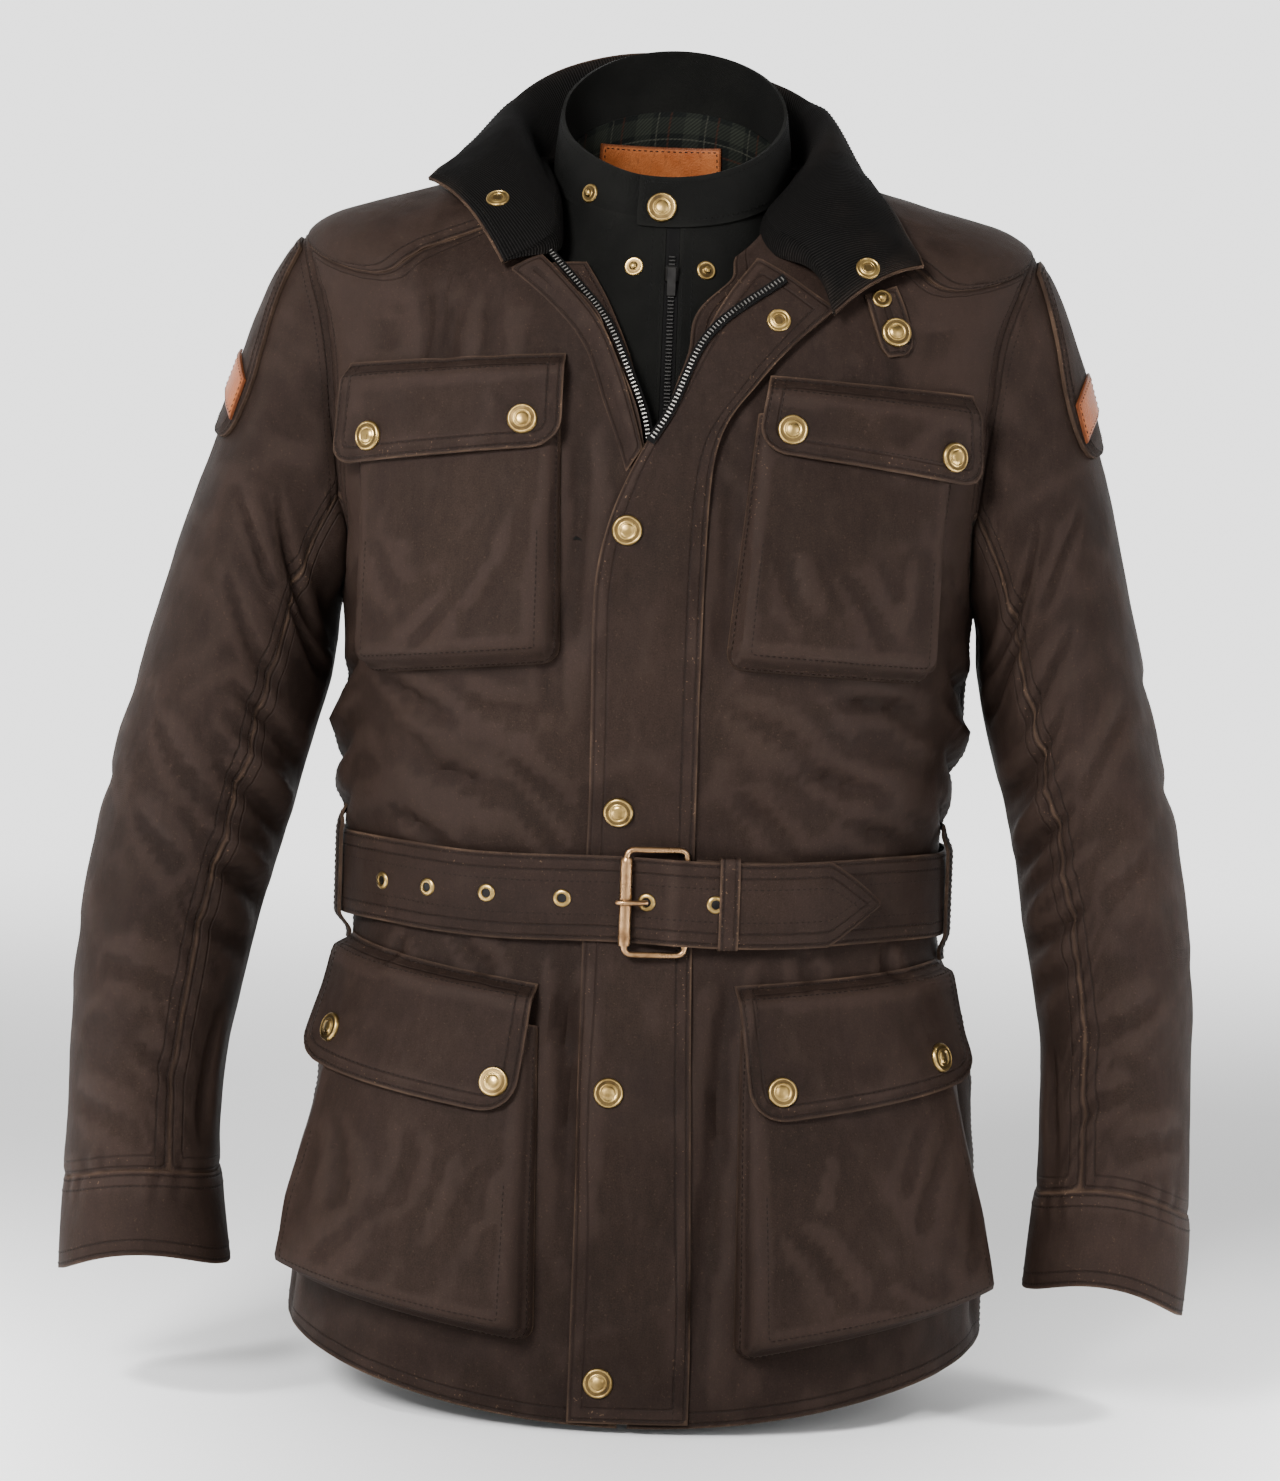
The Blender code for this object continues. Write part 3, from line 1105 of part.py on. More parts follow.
def cap_mesh():
    """The turned cap of a snap: a dome on a rim, as a profile to be screwed round."""
    mesh = bpy.data.meshes.new("snap_cap")
    edges = [(spot, spot + 1) for spot in range(len(CAP_PROFILE) - 1)]
    mesh.from_pydata([(radius, 0, height) for radius, height in CAP_PROFILE], edges, [])
    mesh.materials.append(material_of(BRASS))
    return mesh


def add_cap(name, mesh, point, normal):
    """One snap cap, facing out of the cloth."""
    cap = bpy.data.objects.new(name, mesh)
    JACKET.objects.link(cap)
    cap.location = point
    cap.rotation_euler = Vector(normal).to_track_quat("Z", "Y").to_euler()
    turned = cap.modifiers.new("turned", "SCREW")
    turned.steps = turned.render_steps = 12
    turned.use_merge_vertices, turned.merge_threshold = True, 0.00001
    return cap


def add_caps():
    """Every snap cap that shows."""
    mesh = cap_mesh()
    for number, height in enumerate(PLACKET_SNAP_HEIGHTS):
        point, normal = body(*at_arc(PLACKET_SNAP_ARC, height), LIFT + CLOTH + 0.0005)
        add_cap(f"snap_storm_{number + 1}", mesh, point, normal)
    for pocket in POCKETS:
        for number, (arc, height, seat) in enumerate(pocket.snaps):
            lift = flap_lift(pocket, height) + CLOTH + seat
            point, normal = body(*at_arc(arc, height), lift)
            add_cap(f"snap_{pocket.name}_{number + 1}", mesh, point, normal)
    point, normal = body(*at_arc(*STRAP_SNAP), LIFT + CLOTH + 0.0005)
    add_cap("snap_strap", mesh, point, normal)


def add_arm_trim(label, side):
    """The patch over the shoulder of a sleeve, and the leather tab on it."""
    share = np.linspace(-1, 1, 7)[None, :]
    half = np.array([row[0] for row in PATCH_ROWS])[:, None]
    rows = np.array([row[1] for row in PATCH_ROWS])[:, None]
    places = np.stack(np.broadcast_arrays(half * share, rows), -1)
    sleeve_piece(f"shoulder_patch_{label}", side, places, PATCH_LIFT, CLOTH, WAXED)
    angles = np.linspace(*TAB_ANGLES, 3)[None, :]
    rows = np.linspace(*TAB_ROWS, 3)[:, None]
    places = np.stack(np.broadcast_arrays(angles, rows), -1)
    sleeve_piece(f"sleeve_tab_{label}", side, places, PATCH_LIFT + CLOTH + LAYER, THIN_CLOTH, LEATHER)


def add_block(name, origin, offset, size, finish):
    """A small block with rounded edges, its middle at an offset from its origin."""
    mesh = bpy.data.meshes.new(name)
    shape = bmesh.new()
    bmesh.ops.create_cube(shape, size=1, matrix=Matrix.Translation(offset) @ Matrix.Diagonal((*size, 1)))
    shape.to_mesh(mesh)
    shape.free()
    block = add_object(name, mesh, finish)
    block.location = origin
    edge = block.modifiers.new("edge", "BEVEL")
    edge.width, edge.segments = min(size) * 0.3, 1
    return block


def add_slider():
    """The slider of the liner's zip, and its pull tab hanging from a pivot at its top."""
    seat = bib_point(np.float64(LINER_ZIP_X), np.float64(SLIDER_SHARE))
    half_deep = SLIDER_SIZE[1] / 2
    add_block("zip_slider", seat - (0, half_deep + 0.0012, 0), (0, 0, 0), SLIDER_SIZE, BLACK_METAL)
    pivot = seat - (0, 2 * half_deep + 0.0012 + SEAM + PULL_SIZE[1] / 2 + 0.0004, -0.0030)
    offset = (0, 0, -PULL_SIZE[2] / 2 + 0.0010)
    add_block("zip_pull", pivot, offset, PULL_SIZE, BLACK_METAL)


JACKET = bpy.data.collections.new("motorcycle_jacket")
CUTTERS = bpy.data.collections.new("cutters")


def main():
    """Builds the jacket."""
    clear_scene()
    bpy.context.scene.collection.children.link(JACKET)
    bpy.context.scene.collection.children.link(CUTTERS)
    add_front("front_left", -1, LEFT_ZIP_EDGE)
    add_front("front_right", 1, RIGHT_ROLL_EDGE)
    add_back()
    for label, side in (("left", -1), ("right", 1)):
        add_yoke(f"yoke_{label}", side)
        add_sleeve(label, side)
        add_arm_trim(label, side)
    for pocket in POCKETS:
        add_bag(pocket)
        add_flap(pocket)
    add_fastening()
    add_collar()
    lying_wall("collar_strap", strip_places(STRAP_ROWS, 3), LIFT, LIFT + CLOTH, WAXED)
    add_stand()
    add_bib()
    add_lining()
    add_belt()
    add_loop("belt_loop_left", -1)
    add_loop("belt_loop_right", 1)
    add_keeper()
    add_buckle()
    add_caps()
    add_slider()


main()
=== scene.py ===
"""Looks of a belted motorcycle jacket of brown waxed cotton, filled out as it is worn.

Everything is in metres in the garment's frame: +Z up, the front facing -Y, the origin at the
middle of the neck opening. Places on the body are an arc from the front middle and a height,
places on a sleeve are an angle round it and a row along it.
"""

import logging
import math
from collections.abc import Callable, Sequence
from dataclasses import dataclass, field
from enum import Enum
from typing import Any, ClassVar, NamedTuple

import bpy
import numpy as np
from mathutils import Matrix, Vector
from mathutils.bvhtree import BVHTree

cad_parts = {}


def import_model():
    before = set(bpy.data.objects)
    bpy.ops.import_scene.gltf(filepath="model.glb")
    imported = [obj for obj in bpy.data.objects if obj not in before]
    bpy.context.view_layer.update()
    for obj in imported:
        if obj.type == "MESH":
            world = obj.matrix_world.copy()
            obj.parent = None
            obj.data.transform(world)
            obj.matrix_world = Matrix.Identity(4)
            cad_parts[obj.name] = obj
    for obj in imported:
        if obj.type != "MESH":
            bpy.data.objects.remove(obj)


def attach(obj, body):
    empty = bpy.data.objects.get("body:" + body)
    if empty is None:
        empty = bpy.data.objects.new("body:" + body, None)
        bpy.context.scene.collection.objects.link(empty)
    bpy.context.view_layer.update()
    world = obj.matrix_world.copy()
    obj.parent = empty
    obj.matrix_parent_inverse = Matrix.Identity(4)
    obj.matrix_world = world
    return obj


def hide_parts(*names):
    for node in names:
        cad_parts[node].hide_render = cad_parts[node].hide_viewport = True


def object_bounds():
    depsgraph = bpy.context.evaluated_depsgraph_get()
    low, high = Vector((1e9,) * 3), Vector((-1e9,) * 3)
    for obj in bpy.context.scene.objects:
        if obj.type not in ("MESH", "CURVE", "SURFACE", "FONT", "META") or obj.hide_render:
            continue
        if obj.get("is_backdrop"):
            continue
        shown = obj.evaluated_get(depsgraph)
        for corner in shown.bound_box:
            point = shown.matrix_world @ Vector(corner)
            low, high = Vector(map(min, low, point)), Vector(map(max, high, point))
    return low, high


LOG = logging.getLogger("jacket")
Points = np.ndarray
Surface = Callable[[Points, Points], Points]

CLOTH = 0.002
THIN_CLOTH = 0.0015
LIFT = 0.0009
LAYER = 0.0008
ARM_STEPS = 24
NEAR_ROW, FAR_ROW = 0.0026, 0.009
UP = np.array([0.0, 0.0, 1.0])


class Held(Enum):
    """How a panel of the jacket hangs."""

    HUNG = "hung"
    STRETCHED = "stretched"
    FOLDED = "folded"


# Curves and surfaces


class Table:
    """Rows of numbers joined by natural cubic splines."""

    def __init__(self, rows: Sequence[Any]) -> None:
        """Works out the bends of the splines.

        Args:
            rows: The rows, each with the same columns.
        """
        self.rows = np.asarray(rows, float)
        count = len(self.rows)
        matrix, change = np.eye(count), np.zeros_like(self.rows)
        for row in range(1, count - 1):
            matrix[row, row - 1:row + 2] = (1, 4, 1)
            change[row] = 6 * (self.rows[row + 1] - 2 * self.rows[row] + self.rows[row - 1])
        self.bends = np.linalg.solve(matrix, change)

    def at(self, place: Any) -> Points:
        """Reads the columns at fractional row numbers.

        Args:
            place: Row numbers of any shape.

        Returns:
            The columns, on a new last axis.
        """
        place = np.asarray(place, float)
        row = np.clip(np.floor(place).astype(int), 0, len(self.rows) - 2)
        after = (place - row)[..., None]
        before = 1 - after
        bend = (before**3 - before) * self.bends[row] + (after**3 - after) * self.bends[row + 1]
        return self.rows[row] * before + self.rows[row + 1] * after + bend / 6

    def spaced(self, steps: int) -> Points:
        """Reads the curve at equal steps of its length.

        Args:
            steps: How many points to read.

        Returns:
            The points, one row each.
        """
        fine = np.linspace(0, len(self.rows) - 1, 240)
        run = lengths_along(self.at(fine))
        return self.at(np.interp(np.linspace(0, run[-1], steps), run, fine))


def lengths_along(grid: Points, axis: int = 0) -> Points:
    """Adds up the lengths along one axis of a line or a grid of points, from its start."""
    steps = np.linalg.norm(np.diff(grid, axis=axis), axis=-1)
    return np.cumsum(np.insert(steps, 0, 0, axis=axis), axis=axis)


def read_at(places: Any, run: Points, table: Points) -> Points:
    """Reads every column of a table at places along a run."""
    return np.stack([np.interp(places, run, column) for column in table.T], -1)


def unit(vectors: Points) -> Points:
    """Scales vectors to a length of one."""
    return vectors / np.maximum(np.linalg.norm(vectors, axis=-1, keepdims=True), 1e-12)


def smoothstep(value: Any, low: float = 0.0, high: float = 1.0) -> Points:
    """Rises softly from 0 at low to 1 at high."""
    share = np.clip((np.asarray(value, float) - low) / (high - low), 0, 1)
    return share * share * (3 - 2 * share)


def facing(surface: Surface, first: Points, second: Points, step: float = 1e-3) -> Points:
    """Finds the unit normals of a surface of two parameters.

    Args:
        surface: Gives a point for each pair of parameters.
        first: The first parameter.
        second: The second parameter.
        step: How far to move each parameter to find the slope.

    Returns:
        The normals.
    """
    over = surface(first + step, second) - surface(first - step, second)
    up = surface(first, second + step) - surface(first, second - step)
    return unit(np.cross(over, up))


class Crease(NamedTuple):
    """A soft trough or ridge between two places. A negative depth is a trough."""

    across: float
    up: float
    to_across: float
    to_up: float
    width: float
    depth: float
    bow: float = 0.0


def creases(rows: Sequence[tuple], part: float = 1.0) -> tuple[Crease, ...]:
    """Reads creases from rows of two places, width and depth in millimetres, and bow.

    Args:
        rows: The rows.
        part: Metres, or the sleeve's own steps, to one of a place's numbers.

    Returns:
        The creases.
    """
    return tuple(
        Crease(*(number * part for number in row[:4]), row[4] / 1000, row[5] / 1000, *row[6:]) for row in rows
    )


def pressed(folds: Sequence[Crease], across: Points, up: Points, scale: Points) -> Points:
    """Adds up what creases do to the cloth.

    Args:
        folds: The creases.
        across: First coordinate of each place.
        up: Second coordinate of each place.
        scale: Metres to one of each coordinate.

    Returns:
        How far each place moves out of the cloth.
    """
    total = np.zeros(np.shape(across))
    for crease in folds:
        run = np.array([crease.to_across - crease.across, crease.to_up - crease.up]) * scale
        half = np.linalg.norm(run) / 2
        along = run / (2 * half)
        over = (across - (crease.across + crease.to_across) / 2) * scale[0]
        rise = (up - (crease.up + crease.to_up) / 2) * scale[1]
        lengthwise = (over * along[0] + rise * along[1]) / half
        crosswise = (-over * along[1] + rise * along[0]) / crease.width
        crosswise = crosswise - crease.bow * half / crease.width * (1 - lengthwise**2)
        fade = np.clip(1.15 - lengthwise**2, 0, 1)**1.5
        narrow = 0.75 + 0.25 * lengthwise
        shape = np.exp(-(crosswise / narrow)**2) - 0.3 * np.exp(-((crosswise - 1.9) / 1.1)**2)
        total += crease.depth * fade * shape
    return total


@dataclass(frozen=True)
class Crumple:
    """Uneven hand-worn unrest of a cloth, as folded waves that wander."""

    size: float
    height: float
    seed: int
    waves: int = 5

    def at(self, points: Points) -> Points:
        """Gives the height of the unrest at some points.

        Args:
            points: Places in space.

        Returns:
            Heights about zero.
        """
        source = np.random.default_rng(self.seed)
        total = np.zeros(points.shape[:-1])
        for _ in range(self.waves):
            way, wander = (unit(source.normal(size=3)) for _ in range(2))
            phase, turn = source.uniform(0, 2 * math.pi, 2)
            pitch = 2 * math.pi / (self.size * source.uniform(0.7, 1.6))
            bend = 1.1 * np.sin(points @ wander * pitch * 0.6 + turn)
            total += 0.6 - np.abs(np.sin((points @ way * pitch + bend + phase) / 2))
        return self.height * total / math.sqrt(self.waves)


# Form of the garment


RINGS = Table((
    # front_z side_z back_z half_width front back power
    (-0.737, -0.699, -0.716, 0.211, 0.148, 0.13, 2.3),
    (-0.64, -0.63, -0.636, 0.206, 0.143, 0.127, 2.3),
    (-0.56, -0.553, -0.558, 0.197, 0.136, 0.124, 2.3),
    (-0.505, -0.502, -0.505, 0.186, 0.128, 0.119, 2.3),
    (-0.464, -0.464, -0.465, 0.177, 0.12, 0.112, 2.3),
    (-0.433, -0.431, -0.431, 0.1735, 0.117, 0.109, 2.3),
    (-0.403, -0.401, -0.4, 0.176, 0.12, 0.112, 2.3),
    (-0.37, -0.369, -0.368, 0.182, 0.128, 0.118, 2.3),
    (-0.325, -0.325, -0.325, 0.1865, 0.135, 0.122, 2.35),
    (-0.266, -0.266, -0.266, 0.19, 0.138, 0.125, 2.5),
    (-0.205, -0.2, -0.202, 0.202, 0.134, 0.127, 2.6),
    (-0.155, -0.138, -0.142, 0.212, 0.126, 0.125, 2.6),
    (-0.115, -0.088, -0.092, 0.218, 0.115, 0.119, 2.5),
    (-0.091, -0.048, -0.052, 0.217, 0.104, 0.108, 2.4),
    (-0.08, -0.03, -0.022, 0.182, 0.098, 0.095, 2.3),
    (-0.075, -0.017, -0.002, 0.136, 0.095, 0.081, 2.2),
    (-0.072, -0.002, 0.012, 0.083, 0.093, 0.066, 2.1),
))
HEM, BELT_RING, ARMPIT, POINT, NECK = 0, 5, 9, 13, 16
# Folds of the solids: arc, height, lean, half length, width, depth
FOLDS = (
    (-0.15, -0.345, -28, 0.06, 0.016, -0.004),
    (-0.095, -0.372, -14, 0.055, 0.014, -0.0035),
    (-0.175, -0.38, 10, 0.045, 0.014, 0.003),
    (0.12, -0.35, 22, 0.065, 0.016, -0.004),
    (0.09, -0.38, 8, 0.05, 0.014, -0.003),
    (0.175, -0.372, -14, 0.04, 0.014, 0.003),
    (0.43, -0.36, 14, 0.08, 0.018, -0.0045),
    (-0.43, -0.375, -16, 0.075, 0.018, -0.0045),
    (0.39, -0.62, 84, 0.06, 0.022, -0.005),
    (-0.4, -0.625, 95, 0.06, 0.022, -0.005),
    (-0.262, -0.392, 90, 0.062, 0.07, 0.0105),
)
BODY_CREASES = creases((
    # beside the storm flap on the chest
    (-43, -150, -48, -300, 7, -2.2, 0.03), (-58, -185, -52, -335, 6, -1.3, -0.04),
    (44, -190, 40, -310, 6, -1.8, 0.03),
    # under the yoke seams
    (-120, -86, -127, -136, 8, -1.9), (-100, -80, -96, -132, 8, -1.5), (-156, -90, -168, -125, 9, -1.6),
    (160, -86, 172, -128, 9, -1.7),
    # over the waist at the front
    (-176, -312, -112, -336, 6, -4.2, 0.06), (-168, -330, -122, -347, 5.5, 2.6, 0.05),
    (-112, -318, -62, -330, 6, -2.6, -0.1), (-150, -362, -88, -378, 6.5, -3.2, 0.1),
    (-160, -388, -112, -410, 5.5, -3), (-85, -352, -45, -388, 6, -2.4, 0.1), (-70, -384, -48, -408, 5, -2),
    (108, -314, 176, -327, 6, -4, 0.12), (148, -330, 190, -347, 5.5, 2.6),
    (48, -322, 98, -345, 6, -2.6, 0.08), (88, -352, 156, -372, 6.5, -3.4, -0.08),
    (52, -372, 88, -404, 5.5, -2.6, 0.1), (118, -386, 176, -404, 5.5, -2.6, 0.05),
    # at the sides over the belt
    (-196, -296, -268, -322, 8, -4.2, 0.08), (-192, -322, -262, -346, 7, 3, 0.05),
    (-200, -346, -275, -372, 8, -4.6, 0.1), (-196, -380, -240, -398, 6, -3),
    (196, -294, 270, -316, 8, -4.2, -0.06), (190, -320, 262, -340, 7, 3, -0.05),
    (200, -342, 278, -368, 8, -4.6, -0.1), (192, -374, 244, -398, 6, -3.2),
    # under the belt
    (-112, -460, -84, -482, 5.5, -3.2), (-44, -462, -36, -640, 8.5, -4.2, 0.02),
    (-52, -466, -50, -560, 6, 2.2), (52, -464, 36, -735, 9.5, -4, 0.02), (66, -464, 56, -560, 7, 2.4),
    (94, -462, 104, -482, 5, -2.6), (-150, -462, -158, -486, 5.5, -2.6), (150, -460, 162, -486, 5.5, -2.6),
    (-232, -470, -246, -600, 11, -3.6, 0.03), (-262, -466, -268, -560, 9, 3),
    (236, -470, 252, -610, 11, -3.6, -0.03), (266, -466, 270, -570, 9, 3),
    (-242, -640, -262, -700, 11, -3), (246, -630, 262, -700, 11, -3),
    # on the back, over and under the belt
    (318, -338, 402, -362, 9, -4.4, 0.08), (330, -372, 394, -396, 7, -3.4, -0.06),
    (428, -330, 515, -352, 9, -3.6, -0.1), (-320, -332, -410, -360, 9, -4.4, 0.08),
    (-338, -368, -392, -394, 7, -3.4, 0.06), (-436, -334, -520, -344, 9, -3.6, 0.1),
    (312, -466, 322, -560, 9, -3.8), (356, -466, 360, -600, 10, -4.2, 0.02),
    (410, -464, 420, -540, 8, -3.4), (448, -466, 470, -650, 12, -4, 0.02),
    (-318, -466, -326, -570, 9, -3.8), (-366, -466, -362, -590, 10, -4.2, 0.02),
    (-416, -464, -432, -545, 8, -3.4), (-448, -466, -486, -640, 12, -3.6, 0.02),
    # from the armholes over the back
    (310, -175, 405, -240, 12, -4, 0.08), (318, -225, 392, -285, 10, -3.6, -0.06),
    (-312, -170, -408, -236, 12, -4, 0.08), (-322, -228, -396, -282, 10, -3.6, 0.06),
    (455, -110, 440, -210, 12, -2.4, 0.05), (-462, -115, -448, -220, 12, -2.4, 0.05),
    # from the armholes over the chest
    (-205, -205, -235, -262, 9, -3.2, 0.08), (205, -200, 238, -258, 9, -3.2, 0.08),
), 0.001)
ARMHOLE_FRONT, ARMHOLE_BACK, ARMHOLE_POWER = math.radians(30), math.radians(27), 2.5
# outer_x outer_z inner_x inner_z middle_y half_depth arch
ARMS = {
    -1: Table((
        (0.2175, -0.047, 0.19, -0.266, 0.000, 0.06, 0.0),
        (0.235, -0.077, 0.192, -0.276, -0.002, 0.068, 0.0),
        (0.251, -0.12, 0.193, -0.287, -0.004, 0.074, 0.0),
        (0.2665, -0.165, 0.194, -0.3, -0.007, 0.078, 0.0),
        (0.282, -0.213, 0.1965, -0.318, -0.01, 0.079, 0.0),
        (0.299, -0.27, 0.2035, -0.348, -0.014, 0.078, 0.0),
        (0.3145, -0.33, 0.212, -0.382, -0.019, 0.074, 0.001),
        (0.3285, -0.39, 0.222, -0.421, -0.025, 0.07, 0.002),
        (0.3385, -0.449, 0.234, -0.464, -0.031, 0.065, 0.003),
        (0.3425, -0.508, 0.243, -0.511, -0.038, 0.06, 0.004),
        (0.343, -0.562, 0.25, -0.559, -0.045, 0.056, 0.006),
        (0.3425, -0.618, 0.25, -0.612, -0.051, 0.053, 0.009),
        (0.3435, -0.673, 0.2425, -0.666, -0.056, 0.054, 0.0145),
    )),
    1: Table((
        (0.2175, -0.047, 0.19, -0.266, 0.000, 0.06, 0.0),
        (0.2335, -0.078, 0.1918, -0.277, -0.002, 0.067, 0.0),
        (0.2475, -0.118, 0.1925, -0.289, -0.004, 0.072, 0.0),
        (0.2605, -0.16, 0.194, -0.303, -0.007, 0.075, 0.0),
        (0.272, -0.205, 0.1985, -0.323, -0.01, 0.076, 0.0),
        (0.2855, -0.26, 0.205, -0.352, -0.014, 0.075, 0.001),
        (0.2985, -0.318, 0.2155, -0.387, -0.019, 0.072, 0.002),
        (0.3125, -0.377, 0.223, -0.425, -0.025, 0.068, 0.003),
        (0.324, -0.438, 0.2295, -0.465, -0.031, 0.064, 0.005),
        (0.3285, -0.5, 0.2375, -0.51, -0.038, 0.059, 0.007),
        (0.3285, -0.556, 0.239, -0.557, -0.045, 0.055, 0.01),
        (0.33, -0.6155, 0.2385, -0.6045, -0.051, 0.052, 0.014),
        (0.3275, -0.6745, 0.2335, -0.6615, -0.056, 0.053, 0.0165),
    )),
}
# Creases of the sleeves, between places given by angle in degrees and row
ARM_CREASES = {
    -1: creases((
        (96, 5.05, 176, 5.75, 9.5, -5.5, 0.1), (92, 5.62, 172, 6.25, 8, 3.6, 0.08),
        (100, 6.1, 180, 6.9, 9.5, -6, 0.1), (96, 6.75, 166, 7.3, 8, 3.6, 0.05),
        (108, 7.25, 182, 7.85, 9, -5.2, 0.08), (104, 7.95, 168, 8.4, 8.5, -3.4, 0.05),
        (56, 6, 104, 6.55, 8, -3, -0.06), (60, 7, 100, 7.45, 8, -2.6), (88, 2.1, 150, 3.3, 12, -4.8, 0.06),
        (112, 3.1, 172, 4.05, 11, -4.6, 0.08), (60, 3.05, 108, 3.45, 10, -3, 0.1),
        (74, 4.05, 132, 4.75, 9.5, -3.2, -0.06), (150, 8.95, 150, 10.8, 8, -3.6),
        (56, 8.6, 118, 8.95, 9, -3, 0.08), (84, 9.55, 140, 10.15, 8.5, -3.4, 0.06),
        (34, 10.15, 100, 10.65, 8.5, -2.6, 0.06), (20, 5.8, -34, 6.45, 10, -3.6, 0.08),
        (26, 6.75, -30, 7.25, 9.5, -3.4, -0.06), (16, 8.3, -28, 8.75, 10, -2.6),
        (-58, 5, -124, 5.75, 10, -4.2, 0.08), (-84, 6.1, -160, 6.8, 10, -5, 0.08),
        (-76, 7.15, -150, 7.75, 10, -4.6, -0.06), (-60, 8.9, -128, 9.4, 10, -3.2),
        (-60, 3.2, -130, 4.2, 12, -4.4, 0.06),
    )),
    1: creases((
        (98, 5.15, 178, 5.7, 9.5, -5.2, -0.08), (94, 5.7, 168, 6.35, 8, 3.6, 0.08),
        (102, 6.3, 182, 6.85, 9.5, -5.8, 0.1), (92, 6.85, 164, 7.45, 8, 3.4, 0.05),
        (104, 7.5, 178, 7.95, 9, -5, -0.06), (110, 8.15, 170, 8.55, 8.5, -3, 0.05),
        (50, 5.7, 100, 6.25, 8, -3, 0.06), (58, 7.25, 98, 7.6, 8, -2.6),
        (90, 2.3, 152, 3.4, 12, -4.6, -0.06), (110, 3.4, 170, 4.2, 11, -4.4, 0.08),
        (54, 3.25, 100, 3.6, 10, -2.8, 0.1), (80, 4.35, 138, 4.95, 9.5, -3.4, 0.06),
        (152, 9.1, 146, 10.85, 8, -3.4), (60, 8.75, 124, 9.15, 9, -3, -0.08),
        (80, 9.75, 134, 10.25, 8.5, -3.2, 0.06), (30, 10.25, 96, 10.6, 8.5, -2.6, 0.06),
        (22, 5.6, -30, 6.2, 10, -3.6, -0.08), (28, 6.6, -34, 7.05, 9.5, -3.4, 0.06),
        (14, 8.45, -30, 8.8, 10, -2.6), (-56, 5.2, -122, 5.9, 10, -4.2, -0.08),
        (-80, 6.3, -156, 6.9, 10, -5, 0.08), (-74, 7.3, -148, 7.95, 10, -4.4, 0.06),
        (-62, 9, -126, 9.55, 10, -3.2), (-64, 3.4, -134, 4.3, 12, -4.2, -0.06),
    )),
}
ARM_SCALE = np.array([math.radians(0.066), -0.055])
BODY_SCALE = np.array([1.0, 1.0])
BODY_UNREST = (Crumple(0.075, 0.0011, 3), Crumple(0.03, 0.0004, 8))
ARM_UNREST = (Crumple(0.07, 0.0012, 14), Crumple(0.028, 0.0004, 21))


